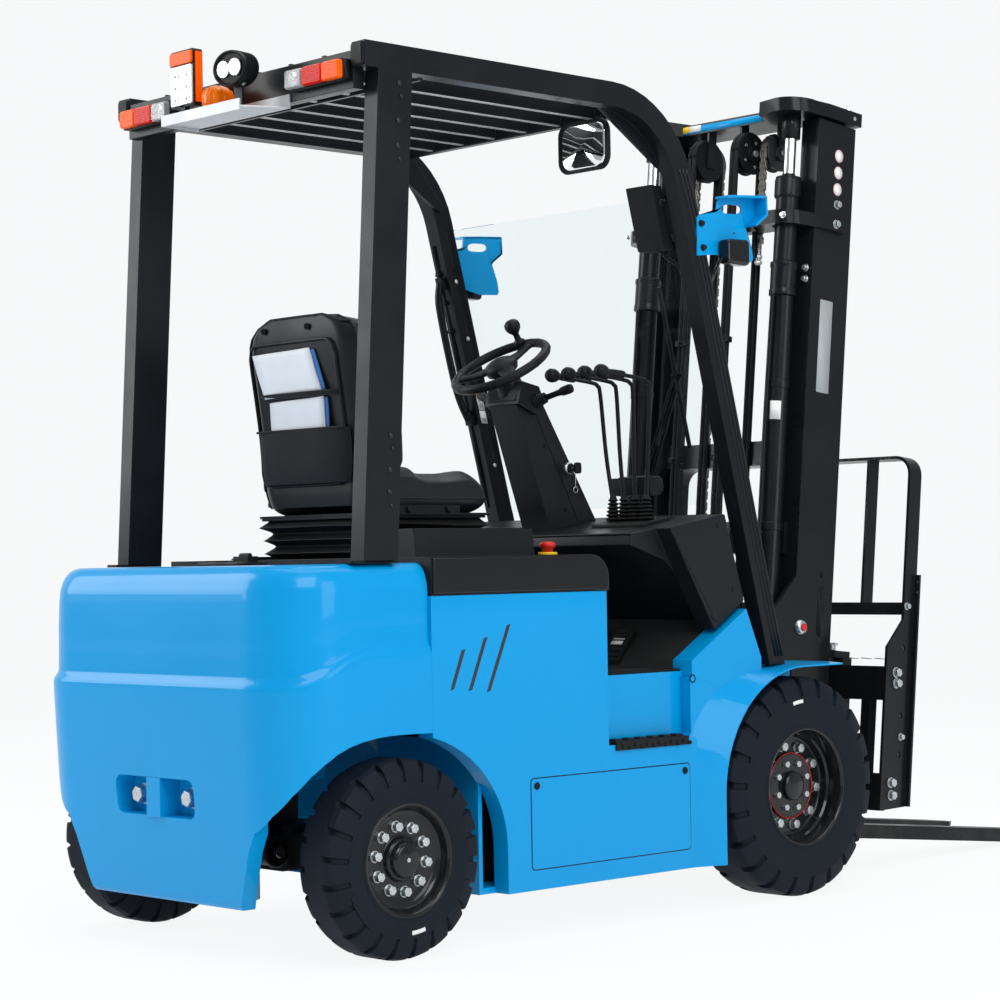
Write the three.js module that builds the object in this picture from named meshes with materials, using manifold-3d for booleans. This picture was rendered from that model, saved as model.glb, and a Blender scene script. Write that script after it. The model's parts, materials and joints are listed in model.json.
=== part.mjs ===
// Electric counterbalance forklift, 1.8 t class, as an assembly of named pieces.
// Millimetres. x is the vehicle's right, y is forward, z is up.
// Every y below is measured from the front axle; the last lines move the whole to its origin.
import * as THREE from 'three';
import { mergeVertices } from 'three/addons/utils/BufferGeometryUtils.js';
import Module from 'manifold-3d';

const wasm = await Module();
wasm.setup();

// ------------------------------------------------------------ driving dimensions

const gap = 0.3; // kept between pieces that touch
const runningGap = 6; // kept between pieces that slide or turn past each other
const wheelbase = 1390;
const bodyHalfWidth = 510;
const bodyFloorZ = 115;
const deckZ = 905; // top of the counterweight
const hoodTopZ = 918;
const floorZ = 615; // driver's floor
const plate = 15; // thickness of floors, bulkheads and fender walls

const front = { radius: 292, width: 175, rimRadius: 153, barrelRadius: 142, faceDepth: 70, hubRadius: 86 };
const rear = { radius: 230, width: 135, rimRadius: 127, barrelRadius: 109, faceDepth: 34, hubRadius: 45 };
const fenderFlare = 32; // how far the front fenders stand out from the body
const frontTyreReach = 3; // front tyre past the fender
const rearTyreReach = 27; // rear tyre past the body side
const kingpinOffset = 70; // from the kingpin to the rear wheel's middle plane

const rearOverhang = 333;
const seamOffset = 100; // counterweight's front face, ahead of the rear axle
const bulkheadY = -712; // front of the battery compartment
const mastTyreGap = 40;
const forwardTilt = 6; // degrees, the mast's parked lean
const stroke = 1500; // of each mast stage
const mastHeight = 1871; // top of the outer mast above the tilt pivot
const mastFoot = -170; // bottom of the outer mast
const forkLength = 1150;
const forkWidth = 100;
const forkThickness = 40;
const forkSpread = 220; // fork middle from the centre line
const guardTopZ = 2095;

const fenderHalfWidth = bodyHalfWidth + fenderFlare;
const frontWheelX = fenderHalfWidth + frontTyreReach - front.width / 2;
const rearWheelX = bodyHalfWidth + rearTyreReach - rear.width / 2;
const kingpinX = rearWheelX - kingpinOffset;
const mastHalfWidth = frontWheelX - front.width / 2 - mastTyreGap;
const rearY = -wheelbase - rearOverhang;
const seamY = -wheelbase + seamOffset;
const tilt = THREE.MathUtils.degToRad(forwardTilt);

// ------------------------------------------------------------ shapes

const yzx = new THREE.Matrix4().makeBasis(
  new THREE.Vector3(0, 1, 0),
  new THREE.Vector3(0, 0, 1),
  new THREE.Vector3(1, 0, 0),
);
const xzy = new THREE.Matrix4().makeBasis(
  new THREE.Vector3(1, 0, 0),
  new THREE.Vector3(0, 0, 1),
  new THREE.Vector3(0, -1, 0),
);

function signedVolume(positions, index) {
  const a = new THREE.Vector3();
  const b = new THREE.Vector3();
  const c = new THREE.Vector3();
  let volume = 0;
  for (let i = 0; i < index.length; i += 3) {
    a.fromArray(positions, index[i] * 3);
    b.fromArray(positions, index[i + 1] * 3);
    c.fromArray(positions, index[i + 2] * 3);
    volume += a.dot(b.cross(c)) / 6;
  }
  return volume;
}

// Turns a closed three.js geometry into a manifold whose faces look outward.
function solid(geometry) {
  const bare = new THREE.BufferGeometry();
  bare.setAttribute('position', geometry.getAttribute('position'));
  bare.setIndex(geometry.getIndex());
  const merged = mergeVertices(bare, 1e-3);
  const positions = Float32Array.from(merged.getAttribute('position').array);
  const corners = Array.from(merged.getIndex().array);
  const index = [];
  for (let i = 0; i < corners.length; i += 3) {
    const [a, b, c] = corners.slice(i, i + 3);
    if (a !== b && b !== c && c !== a) {
      index.push(a, b, c);
    }
  }
  if (signedVolume(positions, index) < 0) {
    index.reverse();
  }
  return new wasm.Manifold(
    new wasm.Mesh({ numProp: 3, vertProperties: positions, triVerts: Uint32Array.from(index) }),
  );
}

function join(...bodies) {
  return bodies.reduce((sum, body) => sum.add(body));
}

function cut(body, ...tools) {
  return tools.reduce((rest, tool) => rest.subtract(tool), body);
}

function span(a, b) {
  return [Math.min(a, b), Math.max(a, b)];
}

function block(xs, ys, zs) {
  const [x0, x1] = span(...xs);
  const [y0, y1] = span(...ys);
  const [z0, z1] = span(...zs);
  const geometry = new THREE.BoxGeometry(x1 - x0, y1 - y0, z1 - z0);
  return solid(geometry.translate((x0 + x1) / 2, (y0 + y1) / 2, (z0 + z1) / 2));
}

function outlineShape(points) {
  return new THREE.Shape(points.map(([u, v]) => new THREE.Vector2(u, v)));
}

// Outline of (y, z) points, extruded across x.
function extrudeX(points, xs) {
  const [x0, x1] = span(...xs);
  const geometry = new THREE.ExtrudeGeometry(outlineShape(points), { depth: x1 - x0, bevelEnabled: false });
  return solid(geometry.applyMatrix4(yzx).translate(x0, 0, 0));
}

// Outline of (x, z) points, extruded along y.
function extrudeY(points, ys) {
  const [y0, y1] = span(...ys);
  const geometry = new THREE.ExtrudeGeometry(outlineShape(points), { depth: y1 - y0, bevelEnabled: false });
  return solid(geometry.applyMatrix4(xzy).translate(0, y1, 0));
}

// Outline of (x, y) points, extruded up z.
function extrudeZ(points, zs) {
  const [z0, z1] = span(...zs);
  const geometry = new THREE.ExtrudeGeometry(outlineShape(points), { depth: z1 - z0, bevelEnabled: false });
  return solid(geometry.translate(0, 0, z0));
}

// Points on an ellipse from angle a0 to a1, in degrees.
function arc(u, v, radiusU, radiusV, a0, a1, steps) {
  return Array.from({ length: steps + 1 }, (_, i) => {
    const angle = THREE.MathUtils.degToRad(a0 + ((a1 - a0) * i) / steps);
    return [u + radiusU * Math.cos(angle), v + radiusV * Math.sin(angle)];
  });
}

function rod(from, to, radius, segments = 20) {
  const a = new THREE.Vector3(...from);
  const b = new THREE.Vector3(...to);
  const axis = b.clone().sub(a);
  const geometry = new THREE.CylinderGeometry(radius, radius, axis.length(), segments);
  const turn = new THREE.Quaternion().setFromUnitVectors(new THREE.Vector3(0, 1, 0), axis.normalize());
  return solid(geometry.applyQuaternion(turn).translate(...a.add(b).multiplyScalar(0.5)));
}

function ball(centre, radius) {
  return solid(new THREE.SphereGeometry(radius, 12, 8).translate(...centre));
}

// Round section swept along a smooth line through the points.
function pipe(points, radius, steps, sides = 10) {
  const path = new THREE.CatmullRomCurve3(points.map((point) => new THREE.Vector3(...point)));
  const section = outlineShape(arc(0, 0, radius, radius, 0, 360 - 360 / sides, sides - 1));
  return solid(new THREE.ExtrudeGeometry(section, { steps, extrudePath: path, bevelEnabled: false }));
}

// Profile of (along x, radius) points turned about the x axis.
function turned(profile, segments) {
  const points = profile.map(([along, radius]) => new THREE.Vector2(radius, along));
  return solid(new THREE.LatheGeometry(points, segments).rotateZ(-Math.PI / 2));
}

// Skin over rings of [x, y, z] points with flat end caps; u and v are the axes a cap is flat in.
function loft(rings, u, v) {
  const count = rings[0].length;
  const positions = rings.flat(2);
  const index = [];
  for (let k = 0; k + 1 < rings.length; k += 1) {
    for (let i = 0; i < count; i += 1) {
      const a = k * count + i;
      const b = k * count + ((i + 1) % count);
      index.push(a, b, a + count, b, b + count, a + count);
    }
  }
  const ends = [[rings[0], 0, -1], [rings[rings.length - 1], (rings.length - 1) * count, 1]];
  for (const [ring, start, facing] of ends) {
    const flat = ring.map((point) => new THREE.Vector2(point[u], point[v]));
    const turn = Math.sign(THREE.ShapeUtils.area(flat)) * facing;
    for (const [i, j, k] of THREE.ShapeUtils.triangulateShape(flat, [])) {
      const area = THREE.ShapeUtils.area([flat[i], flat[j], flat[k]]);
      index.push(...(Math.sign(area) === turn ? [i, j, k] : [k, j, i]).map((corner) => corner + start));
    }
  }
  const geometry = new THREE.BufferGeometry();
  geometry.setAttribute('position', new THREE.Float32BufferAttribute(positions, 3));
  geometry.setIndex(index);
  return solid(geometry);
}

// ------------------------------------------------------------ scene graph

const forklift = new THREE.Group();
const mast = new THREE.Group(); // frame of the tilted mast: origin on the pivot, z along the mast
mast.position.set(0, 0, front.radius);
mast.rotation.x = -tilt;
forklift.add(mast);

const finishes = {
  blue: [0x1490d8, 0.3, 0],
  black: [0x23262a, 0.5, 0],
  rubber: [0x2b2d30, 0.9, 0],
  plastic: [0x1c1d1f, 0.7, 0],
  vinyl: [0x17181a, 0.6, 0],
  chrome: [0xd8dadc, 0.15, 1],
  steel: [0x55595e, 0.5, 0.8],
  glass: [0x8fa3a8, 0.1, 0],
  red: [0xc01818, 0.3, 0],
  amber: [0xf08a10, 0.3, 0],
  grey: [0x8b8f92, 0.6, 0],
};

function add(name, body, finish, parent = forklift) {
  const { vertProperties, triVerts } = body.getMesh();
  const geometry = new THREE.BufferGeometry();
  geometry.setAttribute('position', new THREE.Float32BufferAttribute(vertProperties, 3));
  geometry.setIndex(Array.from(triVerts));
  geometry.computeVertexNormals();
  const [color, roughness, metalness] = finishes[finish];
  const mesh = new THREE.Mesh(geometry, new THREE.MeshStandardMaterial({ color, roughness, metalness }));
  mesh.name = name;
  parent.add(mesh);
  return mesh;
}

const sides = [[-1, 'left'], [1, 'right']];

// ------------------------------------------------------------ wheels

// Solid tyre on a dished rim. +x is the outer face, 0 the middle plane.
function wheel({ radius, width, rimRadius, barrelRadius, faceDepth, hubRadius }, innerDepth) {
  const half = width / 2;
  const face = half - faceDepth;
  const shoulder = width * 0.14;
  return turned([
    [-half + innerDepth, 0],
    [-half + innerDepth, barrelRadius],
    [-half + 4, barrelRadius],
    [-half, rimRadius],
    [-half, radius - shoulder * 1.6],
    [-half + shoulder * 0.4, radius - shoulder * 0.5],
    [-half + shoulder, radius],
    [half - shoulder, radius],
    [half - shoulder * 0.4, radius - shoulder * 0.5],
    [half, radius - shoulder * 1.6],
    [half, rimRadius],
    [half - 4, barrelRadius + 6],
    [face, barrelRadius - 4],
    [face, hubRadius],
    [face + 26, hubRadius - 4],
    [face + 26, 0],
  ], 40);
}

const frontInnerDepth = 45; // how deep the hub drum reaches into the front wheel
const rearInnerDepth = 52; // how deep the knuckle reaches into the rear wheel

for (const [side, label] of sides) {
  const drive = add(`front_wheel_${label}`, wheel(front, frontInnerDepth), 'rubber');
  drive.position.set(side * frontWheelX, 0, front.radius);
  drive.rotation.z = side < 0 ? Math.PI : 0;
  const steer = add(`rear_wheel_${label}`, wheel(rear, rearInnerDepth), 'rubber');
  steer.position.set(side * rearWheelX, -wheelbase, rear.radius);
  steer.rotation.z = side < 0 ? Math.PI : 0;
}

// ------------------------------------------------------------ axles and knuckles

const axleTubeRadius = 62;
const hangerX = [150, 180];
const motorLength = 165;
const firewallY = -262;

function driveAxle() {
  const z = front.radius;
  const flangeX = frontWheelX - front.width / 2 + frontInnerDepth - gap;
  const drumX = mastHalfWidth + 12;
  return join(
    rod([-flangeX, 0, z], [flangeX, 0, z], axleTubeRadius, 28),
    rod([-flangeX, 0, z], [-drumX, 0, z], 108, 32),
    rod([drumX, 0, z], [flangeX, 0, z], 108, 32),
    rod([-105, 0, z], [105, 0, z], 118, 28),
    rod([0, -70, z + 10], [0, -70 - motorLength, z + 10], 92, 28),
  );
}

const kingpinHalfHeight = 62;
const lugThickness = 22;
const kingpinRadius = 30;
const lugHalfWidth = 24;
const axleEndX = kingpinX - 72;

function steerAxle() {
  const z = rear.radius;
  const lugTop = kingpinHalfHeight + gap;
  const bodies = [
    block([-axleEndX, axleEndX], [-wheelbase - 32, -wheelbase + 32], [z - 42, z + 42]),
    block([-150, 150], [-wheelbase - 62, -wheelbase + 62], [z - 50, z + 60]),
    block([-70, 70], [-wheelbase - 50, -wheelbase + 50], [z + 50, axleMountZ - gap]),
    rod([-165, -wheelbase - 88, z], [165, -wheelbase - 88, z], 34),
    block([-60, 60], [-wheelbase - 88, -wheelbase - 40], [z - 30, z + 30]),
  ];
  for (const side of [-1, 1]) {
    const lugHeight = kingpinHalfHeight + lugThickness;
    bodies.push(block(
      [side * (axleEndX - 14), side * (axleEndX + 14)],
      [-wheelbase - lugHalfWidth, -wheelbase + lugHalfWidth],
      [z - lugHeight, z + lugHeight],
    ));
    for (const up of [-1, 1]) {
      bodies.push(
        block(
          [side * axleEndX, side * kingpinX],
          [-wheelbase - lugHalfWidth, -wheelbase + lugHalfWidth],
          [z + up * lugTop, z + up * lugHeight],
        ),
        rod(
          [side * kingpinX, -wheelbase, z + up * lugTop],
          [side * kingpinX, -wheelbase, z + up * lugHeight],
          kingpinRadius,
        ),
      );
    }
  }
  return join(...bodies);
}

function knuckle(side) {
  const z = rear.radius;
  const flangeX = rearWheelX - rear.width / 2 + rearInnerDepth - gap;
  const at = (x, y, height = 0) => [side * x, -wheelbase + y, z + height];
  return join(
    rod(at(kingpinX, 0, -kingpinHalfHeight), at(kingpinX, 0, kingpinHalfHeight), kingpinRadius, 24),
    rod(at(kingpinX, 0), at(flangeX, 0), 27, 24),
    rod(at(flangeX - 9, 0), at(flangeX, 0), 52, 28),
    block([side * (kingpinX - 12), side * (kingpinX + 12)], [-wheelbase - 50, -wheelbase], [z - 40, z - 16]),
  );
}

const axleMountZ = 385; // underside of the counterweight's middle, where the steer axle hangs
add('drive_axle', driveAxle(), 'black');
add('steer_axle', steerAxle(), 'black');
for (const [side, label] of sides) {
  add(`knuckle_${label}`, knuckle(side), 'black');
}

// ------------------------------------------------------------ counterweight

const rearArch = { y: -wheelbase + 5, z: rear.radius - 5, radius: 288, frontRadius: 326 };
const archInnerX = 112;
const weightBottomZ = 125;

// Wheel opening: the steered tyre's sweep inboard, open to the rear corner lower down.
function rearArchPocket(side) {
  const outer = bodyHalfWidth + 60;
  const low = weightBottomZ - 30;
  const sweep = rear.radius + 46;
  const opening = extrudeX([
    [rearY - 40, low],
    [rearY - 20, 255],
    [rearY + 18, 300],
    [rearY + 32, 346],
    [rearY + 57, 391],
    [rearY + 92, 437],
    [rearY + 147, 480],
    [rearY + 220, 503],
    [rearY + 310, rearArch.z + rearArch.radius],
    [seamY + 40, rearArch.z + rearArch.radius],
    [seamY + 40, low],
  ], [side * archInnerX, side * outer]);
  const corner = extrudeY([
    [side * 282, low],
    [side * 344, 259],
    [side * 370, 304],
    [side * 384, 620],
    [side * outer, 620],
    [side * outer, low],
  ], [rearY - 60, -wheelbase]);
  const swept = join(
    rod([side * kingpinX, -wheelbase, low], [side * kingpinX, -wheelbase, 620], sweep, 40),
    block([side * archInnerX, side * outer], [-wheelbase, seamY + 60], [low, 620]),
    corner,
  );
  return opening.intersect(swept);
}

function counterweight() {
  const radius = 160;
  // Each level: height, inset at the sides, inset at the rear, share of the crease's rise.
  const levels = [
    [weightBottomZ, 14, 42, 0],
    [158, 4, 32, 0],
    [400, 0, 11, 0],
    [630, 0, 0, 1],
    [652, 9, 11, 1],
    [790, 10, 13, 0.4],
    [868, 14, 21, 0],
    [893, 24, 32, 0],
    [deckZ, 44, 52, 0],
  ];
  const creaseRise = 68;
  const rings = levels.map(([z, sideInset, rearInset, crease]) => {
    const half = bodyHalfWidth - sideInset;
    const back = rearY + rearInset;
    const outline = [
      [half, seamY],
      [half, seamY - 90],
      ...arc(half - radius, back + radius, radius, radius, 0, -90, 9),
      ...arc(-half + radius, back + radius, radius, radius, -90, -180, 9),
      [-half, seamY - 90],
      [-half, seamY],
    ];
    return outline.map(([x, y]) => {
      const rise = THREE.MathUtils.smoothstep(y, rearY + 40, rearY + 260) * creaseRise * crease;
      return [x, y, z + rise];
    });
  });
  const recess = extrudeY([
    ...arc(-132, 345, 20, 20, 180, 270, 3),
    ...arc(132, 345, 20, 20, 270, 360, 3),
    ...arc(132, 392, 20, 20, 0, 90, 3),
    ...arc(-132, 392, 20, 20, 90, 180, 3),
  ], [rearY - 20, rearY + 64]);
  const tunnel = block(
    [-260, 260],
    [-wheelbase - 140, seamY + 20],
    [weightBottomZ - 20, axleMountZ],
  );
  return cut(loft(rings, 0, 1), recess, tunnel, rearArchPocket(-1), rearArchPocket(1));
}

add('counterweight', counterweight(), 'blue');

// ------------------------------------------------------------ frame

const sideWall = 50;
const panelTopZ = 827;
const stepZ = 445;
const sillInset = 45; // foot recess above the step
const fenderGap = 26; // tyre to fender
const fenderTopZ = front.radius * 2 + fenderGap + 7;
const wellX = mastHalfWidth + 15; // inner wall of the front wheel well
const tiltPin = { x: mastHalfWidth - 28, y: -200, z: 560 };
const tiltPinRadius = 14;

function fender(side) {
  const innerRadius = front.radius + fenderGap;
  const steps = 14;
  const startY = 160;
  const lip = 4;
  // Radius of the flare's outer edge on the body side, by angle from straight up, in degrees.
  const flare = (angle) => innerRadius + 7 + 112 * THREE.MathUtils.smoothstep(angle, 8, 70);
  const ring = (x, outerRadius) => {
    const outer = [];
    const inner = [];
    for (let i = 0; i <= steps; i += 1) {
      const angle = (i / steps) * 90;
      const turn = THREE.MathUtils.degToRad(angle);
      const radius = outerRadius(angle);
      outer.push([x, -radius * Math.sin(turn), front.radius + radius * Math.cos(turn)]);
      inner.push([x, -innerRadius * Math.sin(turn), front.radius + innerRadius * Math.cos(turn)]);
    }
    return [
      [x, startY, front.radius + outerRadius(0)],
      ...outer,
      [x, -outerRadius(90), bodyFloorZ],
      [x, -innerRadius, bodyFloorZ],
      ...inner.reverse(),
      [x, startY, front.radius + innerRadius],
    ];
  };
  const thin = () => innerRadius + lip;
  return loft([
    ring(side * wellX, flare),
    ring(side * (bodyHalfWidth - 12), flare),
    ring(side * fenderHalfWidth, thin),
  ], 1, 2);
}

function frameSide(side) {
  const x = side * bodyHalfWidth;
  const innerX = side * (bodyHalfWidth - sideWall);
  const archFoot = rearArch.y + rearArch.frontRadius;
  const seamAngle = THREE.MathUtils.radToDeg(Math.acos((seamY + gap - rearArch.y) / rearArch.frontRadius));
  const wall = extrudeX([
    [seamY + gap, panelTopZ],
    [bulkheadY, panelTopZ],
    [bulkheadY, stepZ],
    [-front.radius - 100, stepZ],
    [-front.radius - 100, bodyFloorZ],
    [archFoot, bodyFloorZ],
    ...arc(rearArch.y, rearArch.z, rearArch.frontRadius, rearArch.radius, 0, seamAngle, 12),
  ], [innerX, x]);
  const sillX = side * (bodyHalfWidth - sillInset);
  const sill = block(
    [sillX - side * 12, sillX],
    [bulkheadY - plate, -front.radius - 90],
    [stepZ - 10, floorZ],
  );
  const cheek = extrudeX([
    [-395, floorZ - plate],
    [-395, 642],
    [-182, 769],
    [-125, 640],
    [-125, fenderTopZ - 12],
    [-250, 560],
  ], [side * (bodyHalfWidth - 76), side * (bodyHalfWidth - 10)]);
  const wellWall = cut(
    extrudeX([
      [-front.radius - 70, bodyFloorZ],
      [-front.radius - 70, floorZ - plate],
      [-120, fenderTopZ],
      [160, fenderTopZ],
      [160, fenderTopZ - 40],
      [110, fenderTopZ - 120],
      [-150, fenderTopZ - 170],
      [-215, 300],
      [-215, bodyFloorZ],
    ], [side * wellX, side * (wellX + 10)]),
    rod([side * (wellX - 5), 0, front.radius], [side * (wellX + 15), 0, front.radius], 120, 28),
  );
  const hanger = cut(
    extrudeX([[firewallY, 200], [firewallY, 560], [-60, 420], [-20, 300], [-20, 240], [-120, 200]],
      [side * hangerX[0], side * hangerX[1]]),
    rod([side * 140, 0, front.radius], [side * 190, 0, front.radius], axleTubeRadius + gap, 28),
  );
  const clevisTop = tiltPin.z + 40;
  const ears = [-30, 18].map((offset) => extrudeX([
    [firewallY, tiltPin.z - 60],
    [firewallY, clevisTop],
    [tiltPin.y + 17, tiltPin.z + 16],
    [tiltPin.y + 17, tiltPin.z - 20],
  ], [side * (tiltPin.x + offset), side * (tiltPin.x + offset + 12)]));
  const pin = rod(
    [side * (tiltPin.x - 30), tiltPin.y, tiltPin.z],
    [side * (tiltPin.x + 30), tiltPin.y, tiltPin.z],
    tiltPinRadius,
  );
  return join(wall, sill, cheek, wellWall, hanger, ...ears, pin, fender(side));
}

function frame() {
  const inner = bodyHalfWidth - sillInset;
  const battRear = rearArch.y + rearArch.frontRadius;
  const toeTop = 713;
  return join(
    frameSide(-1),
    frameSide(1),
    block([-inner, inner], [bulkheadY - plate, bulkheadY], [bodyFloorZ, panelTopZ - 7]),
    block([-inner, inner], [battRear - 41, firewallY], [bodyFloorZ, bodyFloorZ + plate]),
    block([-inner, inner], [battRear - 53, battRear - 41], [bodyFloorZ, 480]),
    block([-inner, inner], [bulkheadY - plate, -345], [floorZ - plate, floorZ]),
    block([-wellX - 5, wellX + 5], [firewallY, firewallY + plate], [bodyFloorZ, toeTop - 8]),
    extrudeX([
      [-350, floorZ - plate],
      [-345, floorZ],
      [firewallY + plate, toeTop],
      [firewallY + plate, toeTop - 24],
      [-340, floorZ - plate],
    ], [-inner, inner]),
  );
}

add('frame', frame(), 'blue');
add('battery', block([-385, 385], [rearArch.y + rearArch.frontRadius - 36, bulkheadY - plate - 15],
  [bodyFloorZ + plate + gap, 765]), 'grey');

for (const [side, label] of sides) {
  const inner = side * (bodyHalfWidth - sillInset + gap);
  add(`step_${label}`, join(
    block([inner, side * (bodyHalfWidth + 4)], [-690, -front.radius - 135], [stepZ + gap, stepZ + 8]),
    block([side * (bodyHalfWidth + gap), side * (bodyHalfWidth + 6)],
      [-690, -front.radius - 135], [stepZ - 14, stepZ + 8]),
  ), 'plastic');
}
add('floor_mat', block([-bodyHalfWidth + sillInset + 3, bodyHalfWidth - sillInset - 3],
  [bulkheadY + gap, -398], [floorZ + gap, floorZ + 6]), 'rubber');

// ------------------------------------------------------------ hood and seat

function hood() {
  const back = seamY + 3;
  const nose = 58;
  const frontY = bulkheadY + 10;
  const shell = extrudeX([
    [back, panelTopZ + gap],
    [back, hoodTopZ],
    ...arc(frontY - nose, hoodTopZ - nose, nose, nose, 90, 0, 6),
    [frontY, panelTopZ + gap],
  ], [-bodyHalfWidth, bodyHalfWidth]);
  const cavity = block(
    [-bodyHalfWidth + 40, bodyHalfWidth - 40],
    [back + 25, frontY - 16],
    [panelTopZ - 5, hoodTopZ - 20],
  );
  const tray = extrudeY([
    [264, hoodTopZ - 5],
    [270, hoodTopZ + 64],
    [436, hoodTopZ + 64],
    [444, hoodTopZ - 5],
  ], [seamY + 15, bulkheadY - 178]);
  return join(cut(shell, cavity), tray);
}

const seatBaseZ = hoodTopZ + gap;
const seatZ = 1022;
const seatRearY = seamY + 65;

function ringXY(x, y0, y1, z) {
  const chamfer = 18;
  return [
    [x, y0 + chamfer, z], [x, y1 - chamfer, z], [x - chamfer, y1, z], [-x + chamfer, y1, z],
    [-x, y1 - chamfer, z], [-x, y0 + chamfer, z], [-x + chamfer, y0, z], [x - chamfer, y0, z],
  ];
}

function seatBase() {
  const folds = 3;
  const bottom = seatBaseZ + 18;
  const top = seatZ - 16;
  const y0 = seatRearY;
  const y1 = seatRearY + 400;
  const rings = [ringXY(195, y0, y1, seatBaseZ), ringXY(195, y0, y1, bottom)];
  for (let i = 0; i < folds; i += 1) {
    const z = bottom + ((top - bottom) * i) / folds;
    const rise = (top - bottom) / folds;
    rings.push(ringXY(182, y0 + 13, y1 - 13, z + rise * 0.1));
    rings.push(ringXY(215, y0 - 20, y1 + 20, z + rise * 0.6));
  }
  rings.push(ringXY(190, y0 + 5, y1 - 5, top));
  rings.push(ringXY(220, y0 - 10, y1 + 10, top + 2));
  rings.push(ringXY(220, y0 - 10, y1 + 10, seatZ));
  return loft(rings, 0, 1);
}

const cushionZ = seatZ + 104; // top of the cushion
const cushionRearY = seatRearY + 30;

function seatCushion() {
  const y0 = cushionRearY;
  const y1 = seatRearY + 415;
  return loft([
    ringXY(225, y0, y1 - 14, seatZ + gap),
    ringXY(248, y0, y1, seatZ + 36),
    ringXY(248, y0, y1, cushionZ - 24),
    ringXY(228, y0, y1 - 16, cushionZ),
  ], 0, 1);
}

// The backrest's shell runs down behind the cushion.
function seatBack() {
  const rearFace = seatRearY - 6;
  const shellFront = cushionRearY - 2 * gap;
  const foot = cushionZ + gap;
  return join(
    block([-225, 225], [rearFace, shellFront], [seatZ + gap, foot + 30]),
    loft([
      ringXY(225, rearFace - 2, rearFace + 96, foot),
      ringXY(244, rearFace - 3, rearFace + 112, foot + 22),
      ringXY(246, rearFace - 22, rearFace + 92, foot + 240),
      ringXY(238, rearFace - 36, rearFace + 74, foot + 340),
      ringXY(205, rearFace - 40, rearFace + 62, foot + 388),
      ringXY(160, rearFace - 40, rearFace + 50, foot + 402),
    ], 0, 1),
  );
}

add('hood', hood(), 'plastic');
add('seat_base', seatBase(), 'rubber');
add('seat_cushion', seatCushion(), 'vinyl');
add('seat_back', seatBack(), 'vinyl');

// ------------------------------------------------------------ dash, steering and controls

const dashSlope = 1 / 6;
const dashTop = (y) => 968 + (y + 540) * dashSlope;
const cowlHalfWidth = bodyHalfWidth - 76;

function cowl() {
  const main = extrudeX([
    [-540, dashTop(-540)],
    [-240, dashTop(-240)],
    [-190, 1008],
    [-122, 760],
    [-238, 723],
    [-300, 800],
    [-420, 900],
    [-545, 940],
  ], [-cowlHalfWidth + gap, cowlHalfWidth - gap]);
  const covers = [-1, 1].map((side) => extrudeX([
    [-454, dashTop(-454)],
    [-245, dashTop(-245)],
    [-175, 790],
    [-290, 716],
  ], [side * (cowlHalfWidth - 4), side * (bodyHalfWidth - 23)]));
  return join(main, ...covers);
}

const columnLean = THREE.MathUtils.degToRad(31);
const hubDepth = 22; // from the wheel's plane down to the column
const wheelCentre = { y: -577, z: 1420 };

// Point on the steering axis, a distance below the wheel's middle.
function onColumn(below, ahead = 0) {
  return {
    y: wheelCentre.y + below * Math.sin(columnLean) + ahead * Math.cos(columnLean),
    z: wheelCentre.z - below * Math.cos(columnLean) + ahead * Math.sin(columnLean),
  };
}

function steeringColumn() {
  const neckTop = onColumn(hubDepth);
  const neckFoot = onColumn(90);
  const body = extrudeX([
    [-440, 940],
    [-250, 960],
    [-495, 1352],
    [-520, 1372],
    [-560, 1366],
    [-578, 1330],
  ], [-52, 52]);
  const head = extrudeX([
    [-578, 1318],
    [-560, 1378],
    [-500, 1366],
    [-478, 1322],
    [-510, 1290],
  ], [-64, 64]);
  const neck = rod([0, neckFoot.y, neckFoot.z], [0, neckTop.y, neckTop.z], 30, 20);
  const stalks = join(
    rod([50, -512, 1322], [165, -482, 1356], 8, 10),
    rod([-50, -530, 1325], [-160, -500, 1352], 8, 10),
  );
  const under = extrudeX([
    [-700, dashTop(-700) + gap],
    [-100, dashTop(-100) + gap],
    [-100, 700],
    [-700, 700],
  ], [-100, 100]);
  const key = rod([50, -385, 1150], [66, -385, 1150], 13, 16);
  return join(cut(body, under), head, neck, stalks, key);
}

const wheelRadius = 130;

function steeringWheel() {
  const rim = solid(new THREE.TorusGeometry(wheelRadius, 12, 10, 36));
  const spokes = [90, 210, 330].map((angle) => {
    const turn = THREE.MathUtils.degToRad(angle);
    return rod([0, 0, -8], [wheelRadius * Math.cos(turn), wheelRadius * Math.sin(turn), 0], 9, 10);
  });
  const hub = rod([0, 0, -hubDepth + gap], [0, 0, 12], 36, 24);
  const knobTurn = THREE.MathUtils.degToRad(104);
  const knobX = (wheelRadius - 6) * Math.cos(knobTurn);
  const knobY = (wheelRadius - 6) * Math.sin(knobTurn);
  const knob = join(rod([knobX, knobY, 0], [knobX, knobY, 50], 9, 12), ball([knobX, knobY, 56], 19));
  return join(rim, ...spokes, hub, knob);
}

function controlLevers() {
  const base = extrudeX([
    [-425, dashTop(-425) + gap],
    [-320, dashTop(-320) + gap],
    [-320, dashTop(-320) + 9],
    [-425, dashTop(-425) + 9],
  ], [172, 366]);
  const foot = dashTop(-370) + 4;
  const levers = [0, 1, 2, 3].flatMap((i) => {
    const bootX = 205 + i * 40;
    const topX = 156 + i * 60;
    const boot = solid(new THREE.CylinderGeometry(11, 20, 62, 16).rotateX(Math.PI / 2)
      .translate(bootX, -370, foot + 31));
    return [
      boot,
      rod([bootX, -370, foot + 40], [topX, -364, 1368], 5.5, 8),
      ball([topX, -364, 1368], 5.5),
      rod([topX, -364, 1368], [topX - 6, -510, 1386], 5.5, 8),
      rod([topX - 3, -470, 1381], [topX - 6, -510, 1386], 11, 10),
      ball([topX - 7, -520, 1387], 17),
    ];
  });
  return join(base, ...levers);
}

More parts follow.
